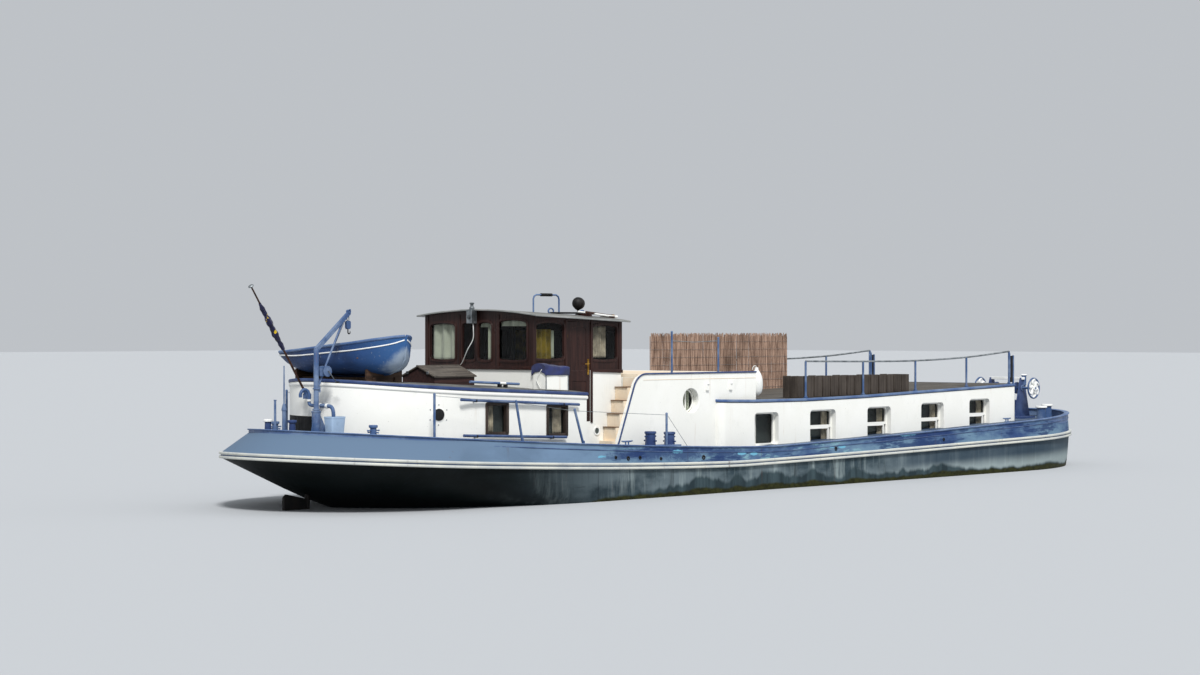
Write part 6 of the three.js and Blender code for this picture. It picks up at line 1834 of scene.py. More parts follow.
def build_davit():
    """Socket with its plates and bolts, the arm with its winch, and the tackle."""
    foot = deck_edge(DAVIT_X)
    x, y = DAVIT_X, DAVIT_Y
    socket = Shape()
    socket.turned([(0.054, 0.04), (0.078, 0.04), (0.078, 0.40), (0.086, 0.40), (0.086, 0.43), (0.054, 0.43)],
                  (x, y, foot), UP,
                  "steel_blue_paint", 28, whole=True)
    socket.prism([(x + 0.07, foot + 0.02), (x + 0.26, foot + 0.02), (x + 0.25, foot + 0.06),
                  (x + 0.075, foot + 0.39)], "y", y - 0.008, y + 0.008,
                 "steel_blue_paint")
    socket.prism([(x - 0.13, foot + 0.02), (x - 0.07, foot + 0.02), (x - 0.075, foot + 0.25)], "y", y - 0.008,
                 y + 0.008, "steel_blue_paint")
    socket.box((x - 0.15, y - 0.15, foot - 0.03), (x + 0.28, y + 0.15, foot + 0.026), "steel_blue_paint")
    socket.make("davit_socket_plates", round_edge=0.005, replaces="davit_socket")
    add_bolts("davit_plate_bolts", [(x + dx, y + dy, foot + 0.026) for dx in (-0.12, 0.24) for dy in (-0.12, 0.12)],
              UP, 0.016, 0.02, "iron")

    crane = Shape()
    crane.turned([(0.046, foot + 0.07), (0.046, DAVIT_TOP - 0.02), (0.04, DAVIT_TOP), (0.0, DAVIT_TOP + 0.004)],
                 (x, y, 0), UP, "steel_blue_paint", 24)
    crane.turned([(0.046, 0.435), (0.068, 0.437), (0.068, 0.462), (0.046, 0.466)], (x, y, foot), UP,
                 "steel_blue_paint", 24, whole=True)
    crane.turned([(0.046, 0.80), (0.062, 0.805), (0.062, 0.825), (0.046, 0.83)], (x, y, foot), UP,
                 "steel_blue_paint", 24, whole=True)
    aft, fore = x - 0.03, x + DAVIT_REACH + 0.02

    def under(px):
        return DAVIT_TOP - 0.09 + (px - aft) / (fore - aft) * (DAVIT_TIP - 0.045 - DAVIT_TOP + 0.09)


    def upper(px):
        return DAVIT_TOP + 0.01 + (px - aft) / (fore - aft) * (DAVIT_TIP + 0.045 - DAVIT_TOP - 0.01)

    crane.rings([[(px, y - w, under(px)), (px, y + w, under(px)), (px, y + w, upper(px)), (px, y - w, upper(px))]
                 for px, w in ((aft, 0.030), (x + 0.4, 0.028), (fore, 0.024))], "steel_blue_paint")
    crane.turned([(0.03, -0.031), (0.035, -0.03), (0.035, 0.03), (0.03, 0.031)], (fore - 0.035, y, DAVIT_TIP),
                 PORTWARD, "steel_blue_paint", 20, whole=True)
    strut_top = (x + 0.80 * DAVIT_REACH, y, DAVIT_TOP + 0.80 * (DAVIT_TIP - DAVIT_TOP) - 0.05)
    crane.tube([(x + 0.03, y, DAVIT_TOP - 0.70), (x + 0.2, y, DAVIT_TOP - 0.33), strut_top], 0.019,
               "steel_blue_paint", 12)
    crane.box((x + 0.02, y - 0.03, DAVIT_TOP - 0.76), (x + 0.075, y + 0.03, DAVIT_TOP - 0.66), "steel_blue_paint")
    drum = (x + 0.185, y, DAVIT_TOP - 0.395)
    crane.turned([(0.03, -0.10), (0.095, -0.095), (0.095, -0.083), (0.052, -0.078), (0.052, 0.05), (0.095, 0.055),
                  (0.095, 0.065), (0.03, 0.07)],
                 drum, PORTWARD, "steel_blue_paint", 24)
    for low, high in ((y - 0.05, y - 0.038), (y + 0.052, y + 0.064)):
        crane.box((x + 0.045, low, drum[2] - 0.085), (x + 0.26, high, drum[2] + 0.085), "steel_blue_paint")
    for k in range(7):
        crane.turned([(0.045, 0), (0.060, 0.004), (0.060, 0.009), (0.045, 0.013)],
                     (drum[0], y - 0.075 + 0.017 * k, drum[2]), PORTWARD, "zinc", 20, whole=True)
    crane.tube([(drum[0], y - 0.10, drum[2]), (drum[0], y - 0.125, drum[2]),
                (drum[0] + 0.05, y - 0.13, drum[2] - 0.07),
                (drum[0] + 0.16, y - 0.135, drum[2] - 0.19)], 0.010, "zinc", 8)
    crane.tube([(drum[0] + 0.16, y - 0.12, drum[2] - 0.19), (drum[0] + 0.16, y - 0.21, drum[2] - 0.19)], 0.014,
               "rubber", 10)
    crane.tube([(drum[0] + 0.02, y, drum[2] + 0.05), (fore - 0.10, y + 0.012, under(fore - 0.1) - 0.012)], 0.005,
               "zinc", 6)
    crane.make("davit_crane_arm", "davit", round_edge=0.004, replaces="davit_crane")

    tackle = Shape()
    tx = fore - 0.05
    top = under(tx) - 0.002
    tackle.tube([(tx - 0.02, y, top + 0.02), (tx - 0.024, y, top - 0.05), (tx, y, top - 0.075),
                 (tx + 0.024, y, top - 0.05), (tx + 0.02, y, top + 0.02)],
                0.009, "zinc", 8)
    for dy in (-0.026, 0.0, 0.026):
        plate = rounded(tx - 0.045, tx + 0.045, top - 0.22, top - 0.07, 0.035, 4)
        tackle.prism(plate, "y", y + dy - 0.004, y + dy + 0.004, "steel_blue_paint")
    for dy in (-0.013, 0.013):
        tackle.turned([(0.012, -0.007), (0.037, -0.007), (0.032, 0.0), (0.037, 0.007), (0.012, 0.007)],
                      (tx, y + dy, top - 0.135), PORTWARD, "iron", 20, whole=True)
    hook = [(tx, y, top - 0.20), (tx, y, top - 0.25)]
    hook += [(tx + 0.026 - 0.026 * math.cos(a), y, top - 0.27 - 0.032 * math.sin(a))
             for a in np.linspace(0, math.radians(215), 11)]
    tackle.tube(hook, [0.011] * 5 + [0.010] * (len(hook) - 8) + [0.008, 0.006, 0.004], "iron", 10)
    tackle.make("davit_tackle_blocks", "davit", round_edge=0.003, replaces="davit_tackle", slot="steel_blue_paint")


# Stern fittings: staff and flag, swan-neck pipe, rods, box

STAFF_FOOT, STAFF_TIP = Vector((-10.905, 0.0, 2.95)), Vector((-12.18, 0.0, 4.89))


def build_flagstaff():
    """A raked staff with the flag furled round it."""
    way = (STAFF_TIP - STAFF_FOOT).normalized()
    length = (STAFF_TIP - STAFF_FOOT).length
    staff = Shape()
    staff.turned([(0.020, 0.0), (0.021, 0.3), (0.018, length * 0.7), (0.014, length * 0.985)], STAFF_FOOT, way,
                 "staff_wood", 16)
    staff.turned([(0.014, length * 0.982), (0.048, length * 0.987), (0.052, length * 0.993),
                  (0.040, length * 0.999), (0, length * 1.001)],
                 STAFF_FOOT, way, "zinc", 20)
    staff.box((-10.96, -0.05, 2.90), (-10.851, 0.05, 2.99), "steel_blue_paint")
    staff.turned([(0.022, -0.03), (0.034, -0.03), (0.034, 0.10), (0.022, 0.10)], STAFF_FOOT, way,
                 "steel_blue_paint", 16, whole=True)
    staff.make("flagstaff_pole", round_edge=0.003, replaces="flagstaff", slot="brown_wood")

    side = Vector(PORTWARD)
    other = way.cross(side)
    rows, around = 90, 44
    points = []
    for r in range(rows + 1):
        share = r / rows
        along = length * (0.42 + 0.42 * share)
        bundle = 0.024 + 0.030 * math.sin(math.pi * min(1, share * 1.02)) ** 0.6
        bundle *= 1 + 0.16 * math.sin(share * 23) + 0.08 * math.sin(share * 57 + 1)
        for k in range(around + 1):
            t = k / around
            angle = 2 * math.pi * (2.1 * t) + share * 2.2
            spiral = bundle * (0.62 + 0.38 * t) * (1 + 0.10 * math.sin(5 * angle + 9 * share))
            centre = STAFF_FOOT + way * along
            points.append(centre + (side * math.cos(angle) + other * math.sin(angle)) * max(spiral, 0.0215))
    obj = cloth_sheet("flag_furled_cloth", points, rows, around, 0.0016, "flag_cloth", "furled_flag")


def build_stern_fittings():
    """Swan-neck pipe, a black sheet that paints the shade of an alcove, rods and tub."""
    pipe = Shape()
    path = [(-10.80, -0.33, 2.79), (-10.98, -0.35, 2.79), (-11.045, -0.41, 2.79), (-11.06, -0.55, 2.79),
            (-11.06, -0.76, 2.79), (-11.06, -0.85, 2.76),
            (-11.06, -0.885, 2.68), (-11.06, -0.89, 2.57)]
    pipe.tube(smoothed(path, 5), 0.034, "steel_blue_paint", 14)
    for y in (-0.50, -0.70):
        pipe.turned([(0.034, 0), (0.045, 0.002), (0.045, 0.045), (0.034, 0.047)], (-11.06, y, 2.79), (0, -1, 0),
                    "white_steel", 20, whole=True)
    vent = [(-11.0, -0.34, 2.79), (-11.01, -0.26, 2.79), (-11.02, -0.205, 2.81), (-11.02, -0.19, 2.87),
            (-11.02, -0.19, 2.98), (-11.05, -0.17, 3.05), (-11.12, -0.15, 3.06),
            (-11.17, -0.14, 3.00), (-11.175, -0.14, 2.93)]
    pipe.tube(smoothed(vent, 5), 0.030, "steel_blue_paint", 14)
    pipe.turned([(0.030, 0), (0.042, 0.002), (0.042, 0.035), (0.030, 0.037)], (-11.02, -0.19, 2.86), UP,
                "white_steel", 20, whole=True)
    pipe.make("stern_swan_neck", smooth=45)

    # Painted shade: a black sheet laid on the stern end of the aft trunk stands in for a shaded alcove; no recess
    # is cut.
    alcove = Shape()
    outline = [point for point in aft_plan(-0.004) if point[0] < -10.2 and -0.28 < point[1] < 0.95]
    for (x0, y0), (x1, y1) in zip(outline, outline[1:]):
        alcove.prism([(x0, y0), (x1, y1), (x1 + 0.02, y1 * 0.99), (x0 + 0.02, y0 * 0.99)], "z",
                     deck_edge(-10.7) + 0.06, deck_edge(-10.7) + 0.35, "rubber")
    alcove.make("stern_alcove", smooth=0, slot="iron")

    rods = Shape()
    foot = deck_edge(-11.58)
    rods.turned([(0.035, -0.05), (0.035, 0.40), (0.045, 0.41), (0.045, 0.44), (0.025, 0.52), (0.013, 0.53),
                 (0.011, 3.49 - foot), (0, 3.492 - foot)],
                (-11.58, -0.18, foot), UP, "steel_blue_paint", 18)
    foot = deck_edge(-11.74)
    rods.turned([(0.024, -0.05), (0.020, 2.88 - foot), (0.027, 2.885 - foot), (0.027, 2.90 - foot),
                 (0.0, 2.903 - foot)], (-11.74, -0.13, foot), UP,
                "steel_blue_paint", 18)
    rods.prism([(-0.11, foot), (-0.12, foot + 0.22), (-0.02, foot)], "x", -11.744, -11.736, "steel_blue_paint")
    rods.make("stern_rods", round_edge=0.003)

    box = Shape()
    low, high = (-11.22, -1.04), (-10.90, -0.80)
    z0, z1 = deck_edge(-11.1) + 0.02, 2.61
    inset = 0.022
    rings = []
    for grow_by, z in ((-inset, z0), (-0.004, z1 - 0.03), (0.0, z1 - 0.028), (0.0, z1), (-0.014, z1),
                       (-0.018, z0 + 0.03)):
        rings.append([(px, py, z) for px,
                      py in rounded(low[0] - grow_by, high[0] + grow_by, low[1] - grow_by, high[1] + grow_by, 0.03,
                                    4)])
    box.rings(rings, "pale_blue_plastic")
    box.make("quarter_tub", smooth=50, replaces="quarter_box")


# Hatch, locker and chocks


HATCH_LOW, HATCH_HIGH, HATCH_EAVE, HATCH_RIDGE = (-8.55, -0.78), (-7.54, 0.08), 3.262, 3.44


def build_hatch():
    """A low coaming with gable ends under a pitched lid of boards, hinged at its aft end."""
    (x0, y0), (x1, y1) = HATCH_LOW, HATCH_HIGH
    middle, over = (y0 + y1) / 2, 0.03

    def top(y):
        return HATCH_RIDGE - (HATCH_RIDGE - HATCH_EAVE) * abs(y - middle) / (y1 - middle)

    frames = Shape()
    for a, b in ((y0, y0 + 0.04), (y1 - 0.04, y1)):
        frames.prism([(a, 3.06), (b, 3.06), (b, top(b) - 0.001), (a, top(a) - 0.001)], "x", x0, x1, "hatch_wood")
    gable = [(y0 + 0.041, 3.06), (y1 - 0.041, 3.06), (y1 - 0.041, top(y1 - 0.041) - 0.002),
             (middle, HATCH_RIDGE - 0.002),
             (y0 + 0.041, top(y0 + 0.041) - 0.002)]
    for x in (x0, x1 - 0.04):
        frames.prism(gable, "x", x, x + 0.04, "hatch_wood")
    frames.make("hatch_coaming", round_edge=0.006, replaces="hatch_box", slot="brown_wood")

    lid = Shape()
    aft, fore, boards = x0 - over, x1 + over, 4
    reach = y1 + over - middle
    for side in (-1, 1):
        for k in range(boards):
            a, b = (middle + side * (reach * part / boards + shift) for part,
                    shift in ((k, 0.001), (k + 1, -0.001)))
            lid.prism([(a, top(a) + 0.0006), (b, top(b) + 0.0006), (b, top(b) + 0.028), (a, top(a) + 0.028)], "x",
                      aft, fore, "hatch_lid_wood")
        for x in (aft + 0.05, (aft + fore) / 2, fore - 0.09):
            a, b = middle + side * 0.002, middle + side * reach
            lid.prism([(a, top(a) + 0.024), (b, top(b) + 0.024), (b, top(b) + 0.034), (a, top(a) + 0.034)], "x", x,
                      x + 0.04, "hatch_lid_wood")
    lid.prism([(middle - 0.035, top(middle - 0.035) + 0.026), (middle, HATCH_RIDGE + 0.03),
               (middle + 0.035, top(middle + 0.035) + 0.026),
               (middle + 0.03, HATCH_RIDGE + 0.034), (middle - 0.03, HATCH_RIDGE + 0.034)], "x", aft, fore,
              "hatch_lid_wood")
    for y in (y0 + 0.16, y1 - 0.16):
        lid.box((aft - 0.004, y - 0.03, top(y) - 0.02), (aft + 0.006, y + 0.03, top(y) + 0.034), "zinc")
    lid.make("hatch_lid_boards", "hatch_lid", round_edge=0.004, replaces="hatch_lid", slot="grey_wood")


LOCKER_LOW, LOCKER_HIGH, LOCKER_TOP = (-6.72, -1.81), (-6.11, -1.48), 3.42


def build_locker():
    """The box with its straps, and its cover."""
    body = Shape()
    (x0, y0), (x1, y1) = LOCKER_LOW, LOCKER_HIGH

    def foot(x):
        return aft_deck(x, -1.65)

    body.rings([[(x, y0, foot(x)), (x, y1, foot(x)), (x, y1, LOCKER_TOP - 0.002), (x, y0, LOCKER_TOP - 0.002)]
                for x in (x0, x1)], "white_paint")
    obj = body.raw("deck_locker_box")
    soften(obj, 0.012, 3)
    settle(obj, "boat", 35, "deck_locker", "white_paint")
    trim = Shape()
    for x in (x0 + 0.012, x1 - 0.012):
        trim.box((x - 0.012, y0 - 0.008, foot(x) + 0.01), (x + 0.012, y0 + 0.002, LOCKER_TOP - 0.03), "zinc")
    trim.tube(smoothed([(x0 - 0.02, y0 + 0.08, LOCKER_TOP - 0.03), (x0 - 0.03, y0 + 0.16, LOCKER_TOP - 0.14),
                        (x0 - 0.025, y0 + 0.20, LOCKER_TOP - 0.24),
                        (x0 - 0.03, y0 + 0.10, foot(x0) + 0.03)], 4), 0.007, "white_steel", 8)
    trim.make("deck_locker_straps", round_edge=0.003, slot="iron")
    build_locker_cover()


def build_locker_cover():
    """Canvas laid over the locker's lid, humped where it covers gear, with its edges hanging down."""
    (x0, y0), (x1, y1) = LOCKER_LOW, LOCKER_HIGH
    margin, drop = 0.012, 0.15
    columns, rows = 70, 34
    width, length = (x1 - x0) + 2 * (margin + drop), (y1 - y0) + 2 * (margin + drop)
    points = []
    for r in range(rows + 1):
        for c in range(columns + 1):
            u = -width / 2 + width * c / columns
            v = -length / 2 + length * r / rows
            hx, hy = (x1 - x0) / 2 + margin, (y1 - y0) / 2 + margin
            over_x, over_y = max(0.0, abs(u) - hx), max(0.0, abs(v) - hy)
            px = math.copysign(min(abs(u), hx), u)
            py = math.copysign(min(abs(v), hy), v)
            fall = min(math.hypot(over_x, over_y), drop * 1.1)
            ripple = 0.010 * math.sin(u * 17 + 2 * math.sin(v * 9)) * (fall / drop)
            hump = 0.075 * math.exp(-((u + 0.30) / 0.42) ** 2) * max(0.0,
                                                                     1
                                                                     - (v / hy) ** 2) ** 0.7 if over_y == 0 else 0.0
            slack = 0.006 * math.sin(u * 11 + v * 14) + 0.004 * math.sin(u * 27 - v * 9)
            z = LOCKER_TOP + 0.010 + hump + (slack if fall == 0 else 0) - fall
            push_x = math.copysign(0.004 + ripple * 0.5, u) if over_x else 0.0
            push_y = math.copysign(0.004 + ripple * 0.5, v) if over_y else 0.0
            points.append(((x0 + x1) / 2 + px + push_x, (y0 + y1) / 2 + py + push_y, z))
    obj = cloth_sheet("deck_locker_cover", points, rows, columns, 0.003, "canvas")


# Bollards, windlass and other deck gear


def bollard_shape(shape, x, y, radius, height, cap, pin, look, top_look):
    """One post with its cap, and crossed pins when pin is their reach."""
    foot = deck_edge(x)
    shape.turned([(radius * 1.12, -0.02), (radius * 1.12, 0.012), (radius, 0.02), (radius * 0.90, height - 0.07),
                  (radius * 0.93, height - 0.05),
                  (cap, height - 0.045)], (x, y, foot), UP, look, 28)
    shape.turned([(cap * 0.9, height - 0.047), (cap, height - 0.044), (cap * 1.01, height - 0.012),
                  (cap * 0.96, height), (0, height + 0.002)], (x, y, foot),
                 UP, top_look, 28)
    if pin:
        for lift, turn in ((0.095, 0.0), (0.18 if height > 0.28 else 0.13, math.pi / 2)):
            dx, dy = pin * math.cos(turn), pin * math.sin(turn)
            z = foot + height - lift
            shape.tube([(x - dx, y - dy, z), (x + dx, y + dy, z)], 0.011, look, 10)
            for s in (-1, 1):
                shape.ball((x + s * dx, y + s * dy, z), 0.016, look, 10)


def build_bollards():
    """Mid, bow, quarter and stern bollards on their plates."""
    for side, name in SIDES:
        mid, bow, quarter = Shape(), Shape(), Shape()
        for x in (-4.22, -3.67):
            bollard_shape(mid, x, side * 2.16, 0.105, 0.29, 0.112, 0.15, "dark_blue_paint", "dark_blue_paint")
        z = deck_edge(-3.945)
        mid.box((-4.4, side * 2.16 - 0.15, z - 0.05), (-3.49, side * 2.16 + 0.15, z + 0.036), "blue_paint")
        mid.make(f"mid_bollards_pair_{name}", round_edge=0.005, replaces=f"mid_bollards_{name}", slot="blue_paint")
        for x, y in ((10.4, 1.4), (11.06, 1.13)):
            bollard_shape(bow, x, side * y, 0.115, 0.37, 0.135, 0, "steel_blue_paint", "white_steel")
        z = deck_edge(10.73)
        plate = [(10.22, side * 1.4 - 0.15), (11.24, side * 1.13 - 0.15), (11.24, side * 1.13 + 0.15),
                 (10.22, side * 1.4 + 0.15)]
        bow.prism(plate, "z", z - 0.04, z + 0.036, "steel_blue_paint")
        bow.make(f"bow_bollards_pair_{name}", round_edge=0.005, replaces=f"bow_bollards_{name}")
        bollard_shape(quarter, -10.53, side * 1.33, 0.062, 0.23, 0.078, 0.13, "blue_paint", "blue_paint")
        z = deck_edge(-10.53)
        quarter.box((-10.67, side * 1.33 - 0.11, z - 0.04), (-10.39, side * 1.33 + 0.11, z + 0.034), "blue_paint")
        quarter.make(f"quarter_bollard_post_{name}", round_edge=0.004, replaces=f"quarter_bollard_{name}")
    stern = Shape()
    for y, top_look in ((0.33, "white_steel"), (-0.33, "dark_blue_paint")):
        bollard_shape(stern, -11.52, y, 0.062, 0.25, 0.078, 0, "dark_blue_paint", top_look)
    z = deck_edge(-11.52)
    stern.box((-11.62, -0.43, z - 0.03), (-11.42, 0.43, z + 0.034), "steel_blue_paint")
    stern.make("stern_bollards_pair", round_edge=0.005, replaces="stern_bollards")


WINDLASS_X, WINDLASS_AXLE, WINDLASS_FRAME, WINDLASS_WHEEL_Y = 11.05, above(1.79), 0.43, 0.76


def build_windlass():
    """Frame with its barrel, and the handwheels on their axle."""
    x, axle = WINDLASS_X, WINDLASS_AXLE
    deck = deck_edge(x)
    frames = Shape()
    foot = deck + 0.02
    for side in (-1, 1):
        y0, y1 = span(side, WINDLASS_FRAME - 0.016, WINDLASS_FRAME + 0.016)
        cheek = [(x - 0.33, foot), (x + 0.33, foot), (x + 0.30, foot + 0.12), (x + 0.15, axle - 0.02),
                 (x + 0.13, axle + 0.09), (x + 0.07, axle + 0.25),
                 (x - 0.07, axle + 0.25), (x - 0.13, axle + 0.09), (x - 0.15, axle - 0.02), (x - 0.30, foot + 0.12)]
        frames.prism(cheek, "y", y0, y1, "dark_blue_paint")
        frames.turned([(0.036, -0.03), (0.075, -0.03), (0.075, 0.03), (0.036, 0.03)],
                      (x, side * WINDLASS_FRAME, axle), PORTWARD, "steel_blue_paint", 24, whole=True)
        for dx in (-0.3, 0.3):
            frames.prism([(side * 0.41, foot), (side * 0.25, foot), (side * 0.41, foot + 0.28)] if side > 0 else
                         [(side * 0.25, foot), (side * 0.41, foot), (side * 0.41, foot + 0.28)], "x",
                         x + dx - 0.008, x + dx + 0.008, "dark_blue_paint")
    frames.box((x - 0.38, -0.56, deck - 0.03), (x + 0.38, 0.56, deck + 0.07), "dark_blue_paint")
    frames.box((x - 0.05, -WINDLASS_FRAME - 0.05, axle + 0.20), (x + 0.05, WINDLASS_FRAME + 0.05, axle + 0.26),
               "white_steel")
    frames.turned([(0.055, 0.06), (0.055, 0.28), (0.066, 0.285), (0.066, 0.30)], (x + 0.09, -WINDLASS_FRAME, axle),
                  UP, "steel_blue_paint", 20)
    frames.turned([(0.06, 0.30), (0.072, 0.302), (0.072, 0.322), (0.05, 0.33), (0, 0.331)],
                  (x + 0.09, -WINDLASS_FRAME, axle), UP, "white_steel", 20)
    barrel = [(0.10, -0.42), (0.17, -0.415), (0.17, -0.385), (0.13, -0.37), (0.125, 0.0), (0.13, 0.37),
              (0.17, 0.385), (0.17, 0.415), (0.10, 0.42)]
    frames.turned(barrel, (x, 0, deck + 0.33), PORTWARD, "dark_blue_paint", 30)
    frames.make("windlass_frame_plates", round_edge=0.006, replaces="windlass_frame", slot="blue_paint")

    wheels = Shape()
    wheels.tube([(x, -WINDLASS_WHEEL_Y - 0.06, axle), (x, WINDLASS_WHEEL_Y + 0.06, axle)], 0.03, "steel_blue_paint",
                18)
    drum = [(0.031, -0.30), (0.14, -0.298), (0.14, -0.27), (0.095, -0.24), (0.085, 0.0), (0.095, 0.24),
            (0.14, 0.27), (0.14, 0.298), (0.031, 0.30)]
    wheels.turned(drum, (x, 0, axle), PORTWARD, "dark_blue_paint", 30)
    for side in (-1, 1):
        y = side * WINDLASS_WHEEL_Y
        wheels.turned([(0.031, -0.06), (0.058, -0.055), (0.058, 0.055), (0.031, 0.06)], (x, y, axle), PORTWARD,
                      "white_steel", 24, whole=True)
        rim = [(px, y, pz) for px, pz in circle(x, axle, 0.235, 48)]
        wheels.tube(rim, 0.020, "steel_blue_paint", 12, closed=True)
        for k in range(6):
            spoke = []
            for j in range(9):
                r = 0.045 + (0.225 - 0.045) * j / 8
                angle = 2 * math.pi * k / 6 + 0.95 * math.sin(math.pi * j / 8 * 0.9)
                spoke.append((x + r * math.cos(angle), y, axle + r * math.sin(angle)))
            wheels.tube(spoke, [0.026, 0.031, 0.034, 0.036, 0.036, 0.034, 0.031, 0.027, 0.022], "white_steel", 10)
    wheels.make("windlass_handwheels", "windlass_wheels", smooth=45, replaces="windlass_wheels", slot="white_steel")


def build_fender():
    """A pear fender on its lanyard."""
    x, y, low, high = -0.5697, -1.77, above(1.84), above(2.42)
    fender = Shape()
    profile = [(0.0, 0.0), (0.03, 0.0), (0.05, 0.01), (0.085, 0.045), (0.11, 0.09), (0.124, 0.15), (0.129, 0.22),
               (0.128, 0.29), (0.118, 0.36),
               (0.10, 0.42), (0.078, 0.465), (0.055, 0.50), (0.042, 0.52), (0.036, 0.55), (0.036, 0.575),
               (0.0, 0.58)]
    fender.turned(profile, (x, y, low), UP, "fender_plastic", 32)
    fender.tube(smoothed([(x, y, high - 0.03), (x - 0.03, y, high + 0.03), (x - 0.10, y, high + 0.01),
                          (x - 0.135, y, high - 0.05)], 4), 0.009, "rope_line", 8)
    fender.make("fender_pear", smooth=50, replaces="fender", slot="fender_plastic")


def build_searchlight():
    """A lamp on its yoke on the wheelhouse roof."""
    x, y = -4.47, -0.5
    lamp = Shape()
    top = roof_top(x, y)
    z = above(3.69)
    lamp.turned([(0.06, 0.0), (0.06, 0.012), (0.022, 0.03), (0.022, z - top - 0.11)], (x, y, top), UP, "iron", 20)
    way = Vector((-0.9, -0.42, 0.12)).normalized()
    lamp.turned([(0.02, -0.118), (0.06, -0.104), (0.098, -0.07), (0.117, -0.02), (0.120, 0.03), (0.116, 0.075),
                 (0.108, 0.08), (0.10, 0.078)],
                (x, y, z), -way, "iron", 32)
    lamp.turned([(0, 0.076), (0.098, 0.076), (0.06, 0.092), (0, 0.098)], (x, y, z), -way, "white_steel", 32)
    arc = [(x, y + 0.128 * math.cos(a), z + 0.128 * math.sin(a)) for a in np.linspace(math.pi, 2 * math.pi, 13)]
    lamp.tube(arc, 0.010, "iron", 8)
    lamp.make("searchlight_lamp", smooth=40, replaces="searchlight", slot="iron")


# Rails, poles and lines

FORE_POSTS = [(0.78, 2.53), (2.73, 2.51), (4.6, 2.51), (6.52, 2.57), (8.2, 2.69)]
SIDE_POSTS = [(-9.7, 2.0, 0.80), (-7.85, 2.34, 0.74), (-6.28, 2.36, 0.65), (-3.98, 2.36, 0.63)]
RAISED_POSTS = [(-3.08, 3.13), (-1.68, 3.01)]
RAIL_Y = 1.965


def build_rails():
    """Rails on the fore trunk, along the side deck and on the raised deck."""
    radius = panel_sizes().rail_radius
    for side, name in SIDES:
        fore, y = Shape(), side * RAIL_Y
        tops = [(x, y, above(top)) for x, top in FORE_POSTS]
        for x, top in FORE_POSTS:
            foot = fore_top(x) + 0.056
            fore.tube([(x, y, foot - 0.02), (x, y, above(top) - 0.004)], radius, "steel_blue_paint", 14)
            fore.box((x - 0.045, y - 0.035, foot - 0.004), (x + 0.045, y + 0.035, foot + 0.012), "steel_blue_paint")
            fore.turned([(radius, 0), (radius * 1.5, 0.002), (radius * 1.5, 0.03), (radius, 0.034)],
                        (x, y, foot + 0.012), UP,
                        "steel_blue_paint", 16, whole=True)
        fore.tube(smoothed(tops, 6), radius * 0.82, "zinc", 12)
        end = (8.2, y, above(2.69))
        fore.tube([end, (8.24, y * 0.995, above(2.62)), (8.245, y * 0.995, above(2.1))], radius * 0.9,
                  "steel_blue_paint", 12)
        foot = fore_top(8.37) + 0.056
        fore.tube([(8.37, y, foot - 0.02), (8.37, y, above(2.60))], radius, "steel_blue_paint", 14)
        fore.box((8.205, y - 0.008, foot + 0.03), (8.365, y + 0.008, above(2.59)), "iron")
        fore.make(f"fore_rail_rods_{name}", round_edge=0.002, replaces=f"fore_rail_{name}", slot="steel_blue_paint")

        low = Shape()
        tops = []
        for number, (x, py, height) in enumerate(SIDE_POSTS):
            foot = deck_edge(x)
            top = (x + (0.0, -0.17, -0.24, 0.0)[number], side * py, foot + height)
            low.tube([(x, side * py, foot - 0.02), top], radius, "steel_blue_paint", 12)
            low.turned([(0.03, 0.0), (0.045, 0.002), (0.045, 0.012), (0.022, 0.014), (0.022, 0.07), (0.017, 0.075)],
                       (x, side * py, foot + 0.002),
                       UP, "steel_blue_paint", 16)
            low.ball((top[0], top[1], top[2] + 0.004), radius * 1.1, "steel_blue_paint", 12)
            tops.append(top)
        stay = Vector((tops[-1][0] + 0.62, tops[-1][1] - side * 0.02, deck_edge(tops[-1][0] + 0.62) + 0.03))
        low.tube([tops[-1], stay], 0.0042, "zinc", 6)
        low.tube([Vector(top) - Vector((0, 0, 0.02)) for top in tops], 0.0042, "zinc", 6)
        low.make(f"side_rail_rods_{name}", round_edge=0.0, replaces=f"side_rail_{name}", slot="steel_blue_paint")

        high, py = Shape(), side * 1.70
        roof = 3.27
        for x, top in RAISED_POSTS:
            high.tube([(x, py, roof - 0.001), (x, py, above(top))], radius * 0.9, "steel_blue_paint", 14)
            high.box((x - 0.045, py - 0.04, roof + 0.0003), (x + 0.045, py + 0.04, roof + 0.014),
                     "steel_blue_paint")
            high.ball((x, py, above(top)), radius * 1.05, "steel_blue_paint", 12)
        high.tube([(RAISED_POSTS[0][0], py, above(2.96)), (-2.38, py, above(2.93)),
                   (RAISED_POSTS[1][0], py, above(2.96))], 0.006, "zinc", 8)
        high.make(f"raised_rail_rods_{name}", replaces=f"raised_rail_{name}", slot="steel_blue_paint")


